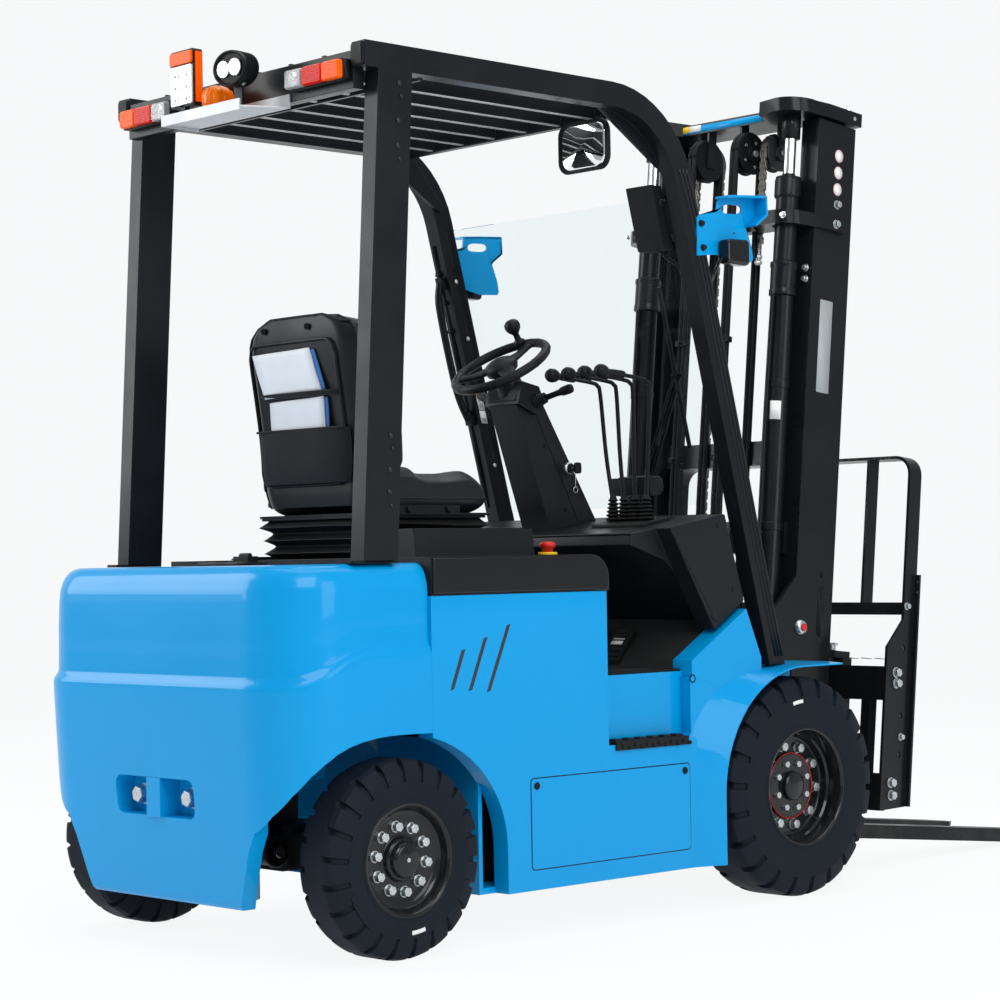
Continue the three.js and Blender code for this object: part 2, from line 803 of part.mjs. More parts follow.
function pedals() {
  const bar = block([-60, 205], [-372, -356], [floorZ + gap, floorZ + 22]);
  const accelerator = extrudeX([[-372, 628], [-360, 622], [-288, 705], [-296, 716]], [130, 205]);
  const brake = join(
    extrudeX([[-372, 630], [-356, 622], [-356, 720], [-372, 720]], [-5, 15]),
    extrudeX([[-385, 700], [-377, 694], [-340, 752], [-348, 758]], [-60, 70]),
  );
  return join(bar, accelerator, brake);
}

add('cowl', cowl(), 'plastic');
add('steering_column', steeringColumn(), 'plastic');
const steering = add('steering_wheel', steeringWheel(), 'plastic');
steering.position.set(0, wheelCentre.y, wheelCentre.z);
steering.rotation.x = columnLean;
add('control_levers', controlLevers(), 'plastic');
add('pedals', pedals(), 'plastic');

// ------------------------------------------------------------ overhead guard

const guardOuterX = bodyHalfWidth - 23;
const guardInnerX = guardOuterX - 48;
const tubeHeight = 60;
const pillarFootZ = fenderTopZ + gap;
const pillarLean = THREE.MathUtils.degToRad(14.8);
const pillarFootY = -14; // front edge of the front pillar's foot
const guardRearY = -1440;
const guardBend = 300;

// Front edge of the front pillar at height z.
const pillarFrontY = (z) => pillarFootY - (z - pillarFootZ) * Math.tan(pillarLean);
const pillarDepth = tubeHeight / Math.cos(pillarLean);

function guardSide(side) {
  const cornerY = pillarFrontY(guardTopZ);
  const bendAngle = 90 - forwardDegrees(pillarLean);
  const tangent = guardBend * Math.tan(THREE.MathUtils.degToRad(bendAngle / 2));
  const centre = { y: cornerY - tangent, z: guardTopZ - guardBend };
  const inner = guardBend - tubeHeight;
  const tube = extrudeX([
    [guardRearY, guardTopZ],
    ...arc(centre.y, centre.z, guardBend, guardBend, 90, 90 - bendAngle, 10),
    [pillarFootY, pillarFootZ],
    [pillarFootY - pillarDepth, pillarFootZ],
    ...arc(centre.y, centre.z, inner, inner, 90 - bendAngle, 90, 10),
    [guardRearY, guardTopZ - tubeHeight],
  ], [side * guardInnerX, side * guardOuterX]);
  const postTop = guardTopZ - tubeHeight;
  const postLean = 0.062;
  const topY = -1297;
  const footY = topY - (postTop - deckZ) * postLean;
  const post = extrudeX([
    [topY, postTop + 10],
    [footY, deckZ + gap],
    [footY - 102, deckZ + gap],
    [topY - 102, postTop + 10],
  ], [side * guardInnerX, side * guardOuterX]);
  const gusset = extrudeX([
    [-640, guardTopZ - tubeHeight + 5],
    [-500, guardTopZ - tubeHeight + 5],
    [pillarFrontY(1905) - 30, 1905],
    [pillarFrontY(1905) - 44, 1890],
  ], [side * (guardInnerX - 10), side * (guardInnerX + 3)]);
  return join(tube, post, gusset);
}

function forwardDegrees(angle) {
  return THREE.MathUtils.radToDeg(angle);
}

function overheadGuard() {
  const x = guardInnerX + 5;
  const low = guardTopZ - tubeHeight;
  const bars = [-312, -187, -62, 62, 187, 312].map((at) =>
    block([at - 5, at + 5], [guardRearY + 20, -515], [low + 2, guardTopZ - 8]));
  return join(
    guardSide(-1),
    guardSide(1),
    block([-x, x], [guardRearY, guardRearY + 32], [low - 45, guardTopZ - 18]),
    block([-x, x], [-528, -506], [low - 4, guardTopZ - 6]),
    block([-x, x], [-1240, -1228], [low - 4, low + 12]),
    ...bars,
  );
}

add('overhead_guard', overheadGuard(), 'black');

const glassBottomZ = 1045;
const glassTopZ = 1840;
const glassThickness = 6;
const shaftZ = 1100;
const shaftX = 130;

function windscreen() {
  const middle = (z) => pillarFrontY(z) - pillarDepth / 2;
  const pane = extrudeX([
    [middle(glassBottomZ) - glassThickness / 2, glassBottomZ],
    [middle(glassTopZ) - glassThickness / 2, glassTopZ],
    [middle(glassTopZ) + glassThickness / 2, glassTopZ],
    [middle(glassBottomZ) + glassThickness / 2, glassBottomZ],
  ], [-guardInnerX + gap, guardInnerX - gap]);
  const y = middle(shaftZ);
  return cut(pane, rod([shaftX, y - 40, shaftZ], [shaftX, y + 40, shaftZ], 9, 20));
}

function wiper() {
  const y = pillarFrontY(shaftZ) - pillarDepth / 2;
  const blade = (z) => pillarFrontY(z) - pillarDepth / 2 + 24;
  return join(
    block([shaftX - 75, shaftX + 75], [y - 54, y - 16], [shaftZ - 24, shaftZ + 24]),
    rod([shaftX, y - 20, shaftZ], [shaftX, y + 28, shaftZ], 8.7, 20),
    rod([shaftX, y + 22, shaftZ], [shaftX + 190, blade(1390), 1390], 5, 10),
    rod([shaftX - 22, y + 18, shaftZ + 5], [shaftX + 168, blade(1390), 1390], 4, 10),
    rod([shaftX - 30, y + 20, shaftZ + 4], [shaftX + 5, y + 22, shaftZ], 6, 10),
    rod([shaftX + 160, blade(1390), 1390], [shaftX + 200, blade(1390), 1390], 6, 10),
    rod([shaftX + 178, blade(1200) - 4, 1200], [shaftX + 178, blade(1620) - 4, 1620], 6, 10),
  );
}

add('windscreen', windscreen(), 'glass');
add('wiper', wiper(), 'plastic');

function mirror() {
  const y = -528 - gap;
  return join(
    block([230, 410], [y - 42, y - 14], [1895, 2028]),
    block([322, 352], [y - 20, y], [1990, 2045]),
  );
}

function display() {
  const rearFace = (z) => pillarFrontY(z) - pillarDepth;
  const leaning = (back, ahead, z0, z1) => [
    [rearFace(z0) + back, z0],
    [rearFace(z1) + back, z1],
    [rearFace(z1) + ahead, z1],
    [rearFace(z0) + ahead, z0],
  ];
  return join(
    extrudeX(leaning(-24, 14, 1703, 1865), [guardInnerX - 112, guardInnerX - 20]),
    extrudeX(leaning(0, 12, 1740, 1825), [guardInnerX - 30, guardInnerX - gap]),
  );
}

function grabHandle() {
  const x = -(guardInnerX + guardOuterX) / 2;
  const low = 1310;
  const high = 1694;
  const seat = (z) => pillarFrontY(z) - pillarDepth - gap;
  return join(
    pipe([
      [x, seat(high) - 14, high],
      [x, seat(high - 40) - 30, high - 44],
      [x, seat(high - 90) - 36, high - 90],
      [x, seat(low + 90) - 36, low + 90],
      [x, seat(low + 40) - 30, low + 44],
      [x, seat(low) - 14, low],
    ], 11, 22),
    ...[high, low].map((z) => extrudeX([
      [seat(z - 16) - 18, z - 16],
      [seat(z - 16), z - 16],
      [seat(z + 16), z + 16],
      [seat(z + 16) - 18, z + 16],
    ], [x - 12, x + 12])),
  );
}

function headlamp(side) {
  const x = guardOuterX + gap;
  const flange = extrudeX([
    [-340, 1682],
    [-340, 1778],
    [-290, 1834],
    [-96, 1850],
    [-118, 1682],
  ], [side * x, side * (x + 5)]);
  const shell = extrudeX([
    [-290, 1829],
    [-290, 1834],
    [-96, 1850],
    [-96, 1845],
  ], [side * x, side * (x + 78)]);
  const visor = extrudeX([
    [-260, 1752],
    [-260, 1834],
    [-100, 1848],
    [-100, 1768],
  ], [side * (x + 73), side * (x + 78)]);
  const lamp = block([side * (x + 10), side * (x + 66)], [-236, -112], [1690, 1818]);
  const neck = block([side * x, side * (x + 30)], [-220, -180], [1730, 1790]);
  return join(flange, shell, visor, lamp, neck);
}

add('mirror', mirror(), 'plastic');
add('display', display(), 'plastic');
add('grab_handle', grabHandle(), 'plastic');
for (const [side, label] of sides) {
  add(`headlamp_${label}`, headlamp(side), 'blue');
}

// ------------------------------------------------------------ rear lamps

const lampY = guardRearY - gap;
const trayZ = 1976;
const trayThickness = 4;

function lampTray() {
  const floor = [[-150, lampY - 110], [160, lampY - 110], [215, lampY], [-150, lampY]];
  return join(
    extrudeZ(floor, [trayZ, trayZ + trayThickness]),
    block([-150, 215], [lampY - 4, lampY], [trayZ, trayZ + 33]),
    block([-150, 160], [lampY - 110, lampY - 106], [trayZ - 6, trayZ + 20]),
    block([-150, -146], [lampY - 110, lampY], [trayZ - 6, trayZ + trayThickness]),
  );
}

const trayTop = trayZ + trayThickness + gap;
add('lamp_tray', lampTray(), 'black');
add('beacon', join(
  rod([4, lampY - 54, trayTop], [4, lampY - 54, trayTop + 26], 42, 24),
  rod([4, lampY - 54, trayTop + 20], [4, lampY - 54, trayTop + 72], 38, 24),
), 'amber');
add('work_lamp', join(
  extrudeY(arc(112, 2074, 58, 42, 0, 345, 23), [lampY - 105, lampY - 40]),
  block([92, 132], [lampY - 80, lampY - 56], [trayTop, 2040]),
), 'black');
add('indicator_lamp', join(
  block([-150, -54], [lampY - 92, lampY - 54], [2014, 2152]),
  block([-115, -90], [lampY - 80, lampY - 66], [trayTop, 2020]),
), 'grey');
for (const [side, label] of sides) {
  add(`tail_lamp_${label}`, block([side * 232, side * 436], [lampY - 34, lampY], [2008, 2058]), 'red');
}

// ------------------------------------------------------------ mast, in its own tilted frame

const channel = { back: 165, front: 326, web: 14, flange: 18, lip: 62 };
const cylinderAt = { x: mastHalfWidth - 68, y: 124 };
const innerOuterX = mastHalfWidth - channel.web - runningGap;
const innerBack = channel.back + channel.flange + runningGap;
const innerFront = channel.front - channel.flange - runningGap;
const innerWeb = 12;
const innerFlange = 13;
const innerLip = 58;
const innerInsideX = innerOuterX - innerLip;
const topPlateZ = mastHeight + 5;
const tieZ = [1560, 1598];
const chainX = 127;
const sheaveY = 218;
const sheaveRadius = 44;
const hoseX = 82;
const hoseSheave = { y: 150, z: mastHeight - 78, radius: 50 };
const mastTiltPin = { y: 72, z: 425 };
const tiltEyeHalf = 14;
const barrelRadius = 32;
const rodRadius = 17;
const tiltRodRadius = 15;
const barrelTop = 1700;

function channelSection(side, outerX, back, frontY, web, flange, lip) {
  return [
    [side * outerX, back],
    [side * outerX, frontY],
    [side * (outerX - lip), frontY],
    [side * (outerX - lip), frontY - flange],
    [side * (outerX - web), frontY - flange],
    [side * (outerX - web), back + flange],
    [side * (outerX - lip), back + flange],
    [side * (outerX - lip), back],
  ];
}

function outerMast() {
  const bodies = [];
  for (const side of [-1, 1]) {
    bodies.push(extrudeZ(
      channelSection(side, mastHalfWidth, channel.back, channel.front, channel.web, channel.flange, channel.lip),
      [mastFoot, mastHeight],
    ));
    // Foot clamp round the axle tube: the tilt bearing.
    const foot = extrudeX([
      [-axleTubeRadius - 16, -40],
      ...arc(0, 0, axleTubeRadius + 16, axleTubeRadius + 16, 180, 60, 8),
      [channel.back + 2, 150],
      [channel.back + 2, -100],
      ...arc(0, 0, axleTubeRadius + 16, axleTubeRadius + 16, -70, -150, 6),
    ], [side * (mastHalfWidth - 52), side * (mastHalfWidth - 4)]);
    bodies.push(cut(foot, rod([side * 200, 0, 0], [side * 400, 0, 0], axleTubeRadius + 1, 36)));
    // One ear outside the lift cylinder, with the tilt pin standing inward from it.
    bodies.push(extrudeX([
      [channel.back + 2, 320],
      [mastTiltPin.y - 20, mastTiltPin.z - 26],
      [mastTiltPin.y - 26, mastTiltPin.z + 12],
      [channel.back + 2, 580],
    ], [side * (mastHalfWidth - 12), side * mastHalfWidth]), rod(
      [side * (tiltPin.x - tiltEyeHalf - 1), mastTiltPin.y, mastTiltPin.z],
      [side * (mastHalfWidth - 5), mastTiltPin.y, mastTiltPin.z],
      tiltPinRadius,
    ));
    // Collar of the tie plate: it runs outside the channel and round behind the lift cylinder.
    bodies.push(extrudeZ([
      [side * (mastHalfWidth + 16), 285],
      [side * (mastHalfWidth + 16), 200],
      ...arc(side * cylinderAt.x, 128, side * 62, 62, 0, -90, 6),
      [side * 185, 66],
      [side * 150, 122],
      [side * 150, 160],
      [side * 205, 160],
      ...arc(side * cylinderAt.x, cylinderAt.y, side * 40, 40, 160, 390, 12),
      [side * (mastHalfWidth - 2), 175],
      [side * (mastHalfWidth - 2), 285],
    ], tieZ));
    bodies.push(block(
      [side * 180, side * (mastHalfWidth - 30)],
      [cylinderAt.y - 40, channel.back + 4],
      [mastFoot, mastFoot + 24],
    ));
    bodies.push(rod(
      [side * chainX, 148, tieZ[0] - 70],
      [side * chainX, 148, tieZ[0] + 5],
      9,
    ));
  }
  bodies.push(
    block([-160, 160], [125, 160], tieZ),
    block([-mastHalfWidth + 40, mastHalfWidth - 40], [125, channel.back + 3], [mastFoot, mastFoot + 90]),
    block([-mastHalfWidth + 40, -cylinderAt.x + 45], [150, channel.back + 3], [640, 730]),
    block([mastHalfWidth - 40, cylinderAt.x - 45], [150, channel.back + 3], [640, 730]),
    block([-cylinderAt.x + 44, cylinderAt.x - 44], [132, channel.back + 3], [640, 730]),
  );
  const pockets = [-1, 1].map((side) => rod(
    [side * cylinderAt.x, cylinderAt.y, mastFoot + 24],
    [side * cylinderAt.x, cylinderAt.y, 1500],
    barrelRadius + gap,
    24,
  ));
  return cut(join(...bodies), ...pockets);
}

function liftCylinder(side) {
  const { x, y } = cylinderAt;
  const at = (z) => [side * x, y, z];
  const base = mastFoot + 24 + gap;
  return cut(
    join(
      rod(at(base), at(barrelTop - 60), barrelRadius, 24),
      rod(at(barrelTop - 60), at(barrelTop), barrelRadius + 4, 24),
      rod(at(barrelTop - 330), at(barrelTop - 250), barrelRadius + 5, 24),
    ),
    rod(at(base + 20), at(barrelTop + 5), rodRadius + 2, 24),
  );
}

function liftRod(side) {
  const { x, y } = cylinderAt;
  return rod([side * x, y, 90], [side * x, y, topPlateZ - gap], rodRadius, 24);
}

function innerMast() {
  // Welded to the rear flanges and bowed forward in the middle, clear of chains and hoses.
  const flangeEnd = innerInsideX + 15;
  const weldY = innerBack + 1;
  const crossmember = [
    [-flangeEnd, weldY],
    [-200, weldY],
    [-165, weldY + 24],
    [165, weldY + 24],
    [200, weldY],
    [flangeEnd, weldY],
    [flangeEnd, weldY + 11],
    [208, weldY + 11],
    [172, weldY + 44],
    [-172, weldY + 44],
    [-208, weldY + 11],
    [-flangeEnd, weldY + 11],
  ];
  const bodies = [];
  for (const side of [-1, 1]) {
    bodies.push(extrudeZ(
      channelSection(side, innerOuterX, innerBack, innerFront, innerWeb, innerFlange, innerLip),
      [mastFoot + 30, topPlateZ + 5],
    ));
    // End of the top plate: it covers the channels and reaches back over the lift cylinder.
    bodies.push(extrudeZ([
      [side * (mastHalfWidth + 16), channel.front + 6],
      [side * (mastHalfWidth + 16), 190],
      ...arc(side * cylinderAt.x, 128, side * 76, 76, 10, -90, 7),
      [side * 190, 66],
      [side * 140, 172],
      [side * 140, 236],
      [side * 240, 240],
      [side * 262, channel.front + 6],
    ], [topPlateZ, topPlateZ + 38]));
    bodies.push(join(
      rod([side * (chainX - 17), sheaveY, mastHeight - 66], [side * (chainX + 17), sheaveY, mastHeight - 66],
        sheaveRadius, 28),
      block([side * (chainX + 17), side * (chainX + 25)], [sheaveY - 18, sheaveY + 18],
        [mastHeight - 90, topPlateZ + 5]),
      rod([side * (chainX), sheaveY, mastHeight - 66], [side * (chainX + 24), sheaveY, mastHeight - 66], 14, 16),
    ));
    bodies.push(join(
      rod([side * (hoseX - 15), hoseSheave.y, hoseSheave.z], [side * (hoseX + 15), hoseSheave.y, hoseSheave.z],
        hoseSheave.radius, 28),
      block([side * (hoseX - 23), side * (hoseX - 15)], [hoseSheave.y - 16, hoseSheave.y + 16],
        [hoseSheave.z - 20, topPlateZ + 5]),
    ));
  }
  bodies.push(
    block([-190, 190], [130, 240], [topPlateZ, topPlateZ + 30]),
    extrudeZ(crossmember, [900, 970]),
    extrudeZ(crossmember, [mastFoot + 30, mastFoot + 120]),
  );
  return join(...bodies);
}

// Along-line helpers for the tilt cylinders, in the vehicle's frame.
const mastPinWorld = {
  y: mastTiltPin.y * Math.cos(tilt) + mastTiltPin.z * Math.sin(tilt),
  z: front.radius - mastTiltPin.y * Math.sin(tilt) + mastTiltPin.z * Math.cos(tilt),
};
const tiltLength = Math.hypot(mastPinWorld.y - tiltPin.y, mastPinWorld.z - tiltPin.z);
const tiltAngle = Math.atan2(mastPinWorld.z - tiltPin.z, mastPinWorld.y - tiltPin.y);
const tiltBarrel = { length: 206, radius: 31 };

function tiltAlong(side, distance) {
  return [
    side * tiltPin.x,
    tiltPin.y + distance * Math.cos(tiltAngle),
    tiltPin.z + distance * Math.sin(tiltAngle),
  ];
}

function tiltCylinder(side) {
  const eye = rod([side * (tiltPin.x - 17), tiltPin.y, tiltPin.z], [side * (tiltPin.x + 17), tiltPin.y, tiltPin.z], 26, 24);
  const pin = rod([side * (tiltPin.x - 20), tiltPin.y, tiltPin.z], [side * (tiltPin.x + 20), tiltPin.y, tiltPin.z],
    tiltPinRadius + gap, 24);
  return cut(
    join(eye, rod(tiltAlong(side, 52), tiltAlong(side, tiltBarrel.length), tiltBarrel.radius, 24),
      rod(tiltAlong(side, 18), tiltAlong(side, 55), 17, 20)),
    rod(tiltAlong(side, 60), tiltAlong(side, tiltBarrel.length + 5), tiltRodRadius + gap, 20),
    pin,
  );
}

function tiltRod(side) {
  const { y, z } = mastPinWorld;
  const eye = rod([side * (tiltPin.x - tiltEyeHalf), y, z], [side * (tiltPin.x + tiltEyeHalf), y, z], 25, 24);
  const bore = rod([side * (tiltPin.x - 20), y, z], [side * (tiltPin.x + 20), y, z], tiltPinRadius + 4, 24);
  return cut(join(eye, rod(tiltAlong(side, 158), tiltAlong(side, tiltLength - 18), tiltRodRadius, 20)), bore);
}

add('outer_mast', outerMast(), 'black', mast);
add('inner_mast', innerMast(), 'black', mast);
for (const [side, label] of sides) {
  add(`lift_cylinder_${label}`, liftCylinder(side), 'black', mast);
  add(`lift_rod_${label}`, liftRod(side), 'chrome', mast);
  add(`tilt_cylinder_${label}`, tiltCylinder(side), 'black');
  add(`tilt_rod_${label}`, tiltRod(side), 'chrome');
}

// ------------------------------------------------------------ carriage, side shifter, forks

const carriageBack = channel.front + 20;
const carriagePlate = 30;
const lowerBar = [-60, 45];
const upperBar = [250, 345];
const shifterBack = carriageBack + carriagePlate + 52;
const shifterFront = shifterBack + 32;
const shankBack = shifterFront + gap;
const shankFront = shankBack + forkThickness;
const bladeTop = -107;
const forkEnd = shankFront + forkLength;
const barHalfWidth = 445;
const upperRollerZ = 295; // below the top plate at full lift
const chainFootZ = 222;
const chainRunY = sheaveY + sheaveRadius + 2;

function carriage() {
  const rollerX = [innerInsideX - 8, innerOuterX - innerWeb - runningGap];
  const rollerRadius = (innerFront - innerBack) / 2 - innerFlange - runningGap;
  const rollerY = (innerFront + innerBack) / 2;
  const bodies = [
    block([-290, 290], [carriageBack, carriageBack + carriagePlate], [lowerBar[0] + 8, lowerBar[1]]),
    block([-290, 290], [carriageBack, carriageBack + carriagePlate], [upperBar[0], upperBar[1]]),
  ];
  for (const side of [-1, 1]) {
    bodies.push(block(
      [side * (innerInsideX - 26), side * (innerInsideX - 8)],
      [rollerY - 32, carriageBack + 5],
      [lowerBar[0] + 8, upperRollerZ + 40],
    ));
    bodies.push(block(
      [side * (innerInsideX - 26), side * (innerInsideX - 8)],
      [carriageBack, carriageBack + carriagePlate],
      [lowerBar[0] + 8, upperBar[1]],
    ));
    for (const z of [10, upperRollerZ]) {
      bodies.push(rod(
        [side * (rollerX[0] - 5), rollerY, z],
        [side * rollerX[1], rollerY, z],
        rollerRadius,
        28,
      ));
    }
    bodies.push(
      block([side * (chainX - 16), side * (chainX + 16)], [chainRunY - 10, carriageBack + 5], [chainFootZ - 30, chainFootZ]),
      block([side * (chainX - 16), side * (chainX + 16)], [carriageBack - 8, carriageBack + 5],
        [chainFootZ - 30, upperBar[0] + 40]),
    );
  }
  return join(...bodies);
}

function sideShifter() {
  const bodies = [
    block([-barHalfWidth, barHalfWidth], [shifterBack, shifterFront], lowerBar),
    block([-barHalfWidth, barHalfWidth], [shifterBack, shifterFront], upperBar),
    block([-250, 250], [carriageBack + 8, shifterBack + 5], [upperBar[1] + gap, upperBar[1] + 22]),
    block([-250, 250], [shifterBack, shifterFront], [upperBar[1] - 5, upperBar[1] + 22]),
  ];
  for (const side of [-1, 1]) {
    bodies.push(block([side * 370, side * 400], [shifterBack, shifterFront], [lowerBar[0], upperBar[1]]));
  }
  return join(...bodies);
}

function loadBackrest() {
  const postX = barHalfWidth + gap;
  const back = shifterFront + 34;
  const depth = 52;
  const top = 950;
  const corner = 55;
  const thickness = 9;
  const outerX = postX + thickness;
  const hoop = cut(
    extrudeY([
      [-outerX, lowerBar[0] + 15],
      ...arc(-outerX + corner, top - corner, corner, corner, 180, 90, 6),
      ...arc(outerX - corner, top - corner, corner, corner, 90, 0, 6),
      [outerX, lowerBar[0] + 15],
    ], [back, back + depth]),
    extrudeY([
      [-postX, lowerBar[0] - 5],
      ...arc(-outerX + corner, top - corner, corner - thickness, corner - thickness, 180, 90, 6),
      ...arc(outerX - corner, top - corner, corner - thickness, corner - thickness, 90, 0, 6),
      [postX, lowerBar[0] - 5],
    ], [back - 5, back + depth + 5]),
  );
  const bodies = [hoop, block([-postX - 2, postX + 2], [back, back + 10], [495, 530])];
  for (const x of [-300, -100, 100, 300]) {
    bodies.push(block([x - 4, x + 4], [back, back + depth - 6], [500, top - 4]));
  }
  for (const side of [-1, 1]) {
    // Side plate bolted to the ends of the shifter's bars, with an angle along its front edge.
    bodies.push(extrudeX([
      [shifterBack, lowerBar[0]],
      [back + depth, lowerBar[0] + 15],
      [back + depth, 600],
      [back, 560],
      [back, 480],
      [shifterBack, 400],
    ], [side * postX, side * outerX]));
    bodies.push(block(
      [side * (outerX - 2), side * (outerX + 15)],
      [back + depth - 8, back + depth],
      [lowerBar[0] + 15, 612],
    ));
  }
  return join(...bodies);
}

function fork(side) {
  const taper = 360;
  const tip = 12;
  const end = forkEnd;
  const profile = extrudeX([
    [shankBack, 368],
    [shankBack, bladeTop - forkThickness + 30],
    ...arc(shankBack + 30, bladeTop - forkThickness + 30, 30, 30, 180, 270, 5),
    [end - taper, bladeTop - forkThickness],
    [end, bladeTop - tip],
    [end, bladeTop],
    ...arc(shankFront + 24, bladeTop + 24, 24, 24, 270, 180, 5),
    [shankFront, 368],
  ], [side * (forkSpread - forkWidth / 2), side * (forkSpread + forkWidth / 2)]);
  const tipCut = 34;
  const corners = [-1, 1].map((edge) => {
    const x = side * forkSpread + edge * forkWidth / 2;
    return extrudeZ([
      [x, end - tipCut * 1.6],
      [x + edge * 5, end - tipCut * 1.6],
      [x + edge * 5, end + 5],
      [x - edge * tipCut, end + 5],
      [x - edge * tipCut, end],
    ], [bladeTop - 60, bladeTop + 10]);
  });
  const hook = block(
    [side * (forkSpread - forkWidth / 2 + 8), side * (forkSpread + forkWidth / 2 - 8)],
    [shifterBack + 6, shankBack + 4],
    [upperBar[1] + 22 + gap, upperBar[1] + 22 + 20],
  );
  return join(cut(profile, ...corners), hook, block(
    [side * (forkSpread - forkWidth / 2 + 8), side * (forkSpread + forkWidth / 2 - 8)],
    [shankBack, shankFront],
    [360, upperBar[1] + 42],
  ));
}

add('carriage', carriage(), 'black', mast);
add('side_shifter', sideShifter(), 'black', mast);
add('load_backrest', loadBackrest(), 'black', mast);
for (const [side, label] of sides) {
  add(`fork_${label}`, fork(side), 'black', mast);
}

// ------------------------------------------------------------ chains and hoses

function liftChain(side) {
  const z = mastHeight - 66;
  const half = 13;
  const inner = sheaveRadius + gap;
  const outer = inner + 13;
  const back = sheaveY - outer;
  const frontY = sheaveY + outer;
  const outline = [
    [back, tieZ[0] + 5 - 20],
    ...arc(sheaveY, z, outer, outer, 180, 0, 14),
    [frontY, chainFootZ + gap],
    [frontY - 13, chainFootZ + gap],
    ...arc(sheaveY, z, inner, inner, 0, 180, 14),
    [back + 13, tieZ[0] + 5 - 20],
  ];
  return extrudeX(outline, [side * (chainX - half), side * (chainX + half)]);
}

add('lift_chain_left', liftChain(-1), 'steel', mast);
add('lift_chain_right', liftChain(1), 'steel', mast);

// The origin is under the middle of the whole length, fork tips included.
const tipY = forkEnd * Math.cos(tilt) + bladeTop * Math.sin(tilt);
forklift.position.y = -(rearY + tipY) / 2;

export default forklift;
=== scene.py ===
"""Looks of an electric counterbalance forklift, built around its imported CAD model."""

import json
import math

import bmesh
import bpy
from mathutils import Matrix, Vector
from mathutils.bvhtree import BVHTree

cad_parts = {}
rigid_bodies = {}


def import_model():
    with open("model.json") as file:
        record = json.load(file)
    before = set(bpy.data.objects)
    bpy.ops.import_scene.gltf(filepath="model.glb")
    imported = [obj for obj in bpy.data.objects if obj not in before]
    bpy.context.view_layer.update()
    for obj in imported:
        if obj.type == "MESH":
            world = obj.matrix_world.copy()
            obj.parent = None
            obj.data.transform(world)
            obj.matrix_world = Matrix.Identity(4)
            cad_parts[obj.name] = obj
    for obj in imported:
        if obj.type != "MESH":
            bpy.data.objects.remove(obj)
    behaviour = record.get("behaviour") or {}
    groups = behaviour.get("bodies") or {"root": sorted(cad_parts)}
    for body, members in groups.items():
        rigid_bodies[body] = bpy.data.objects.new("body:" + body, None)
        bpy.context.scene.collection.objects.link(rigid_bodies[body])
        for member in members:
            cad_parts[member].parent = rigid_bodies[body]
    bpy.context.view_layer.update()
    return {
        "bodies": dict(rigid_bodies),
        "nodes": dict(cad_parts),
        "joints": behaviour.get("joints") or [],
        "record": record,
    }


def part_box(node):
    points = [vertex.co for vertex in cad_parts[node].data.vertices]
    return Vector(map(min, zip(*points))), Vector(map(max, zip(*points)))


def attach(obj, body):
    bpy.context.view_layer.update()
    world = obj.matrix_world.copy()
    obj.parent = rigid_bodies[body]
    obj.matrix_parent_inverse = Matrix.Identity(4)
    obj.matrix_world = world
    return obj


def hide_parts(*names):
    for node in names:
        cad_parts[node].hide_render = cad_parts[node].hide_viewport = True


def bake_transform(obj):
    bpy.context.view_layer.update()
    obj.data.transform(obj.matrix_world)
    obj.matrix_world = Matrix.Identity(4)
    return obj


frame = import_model()

bl_info = {
    "name": "Forklift Looks",
    "version": (1, 0, 0),
    "blender": (4, 5, 0),
    "location": "View3D > Sidebar > Forklift",
    "description": "Builds the visible pieces of an electric counterbalance forklift",
    "category": "Object",
}

# ---------------------------------------------------------------- places

SIDES = ((-1, "left"), (1, "right"))
MM = 0.001
FRONT_LOW, FRONT_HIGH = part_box("front_wheel_right")
REAR_LOW, REAR_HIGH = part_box("rear_wheel_right")
AXLE_Y = (FRONT_LOW.y + FRONT_HIGH.y) / 2
AXLE_Z = (FRONT_LOW.z + FRONT_HIGH.z) / 2
REAR_AXLE_Y = (REAR_LOW.y + REAR_HIGH.y) / 2
REAR_AXLE_Z = (REAR_LOW.z + REAR_HIGH.z) / 2
MAST_LEAN = math.radians(6)
PILLAR_LEAN = math.radians(14.8)


def at(x, y, z):
    """A point in millimetres: across, ahead of the front axle, above the floor."""
    return Vector((x * MM, y * MM + AXLE_Y, z * MM))


BODY_FRAME = Matrix.Translation(at(0, 0, 0)) @ Matrix.Scale(MM, 4)
MAST_FRAME = (
    Matrix.Translation((0, AXLE_Y, AXLE_Z))
    @ Matrix.Rotation(-MAST_LEAN, 4, "X")
    @ Matrix.Scale(MM, 4)
)


# ---------------------------------------------------------------- mesh making, in millimetres


def arc(u, v, radius, start, end, steps, radius_v=None):
    """Points on an arc, angles in degrees from the first axis."""
    radius_v = radius if radius_v is None else radius_v
    turns = [math.radians(start + (end - start) * i / steps) for i in range(steps + 1)]
    return [(u + radius * math.cos(t), v + radius_v * math.sin(t)) for t in turns]


def rounded(u0, u1, v0, v1, radius, steps=4):
    """Outline of a rectangle with round corners."""
    return (
        arc(u1 - radius, v1 - radius, radius, 0, 90, steps)
        + arc(u0 + radius, v1 - radius, radius, 90, 180, steps)
        + arc(u0 + radius, v0 + radius, radius, 180, 270, steps)
        + arc(u1 - radius, v0 + radius, radius, 270, 360, steps)
    )


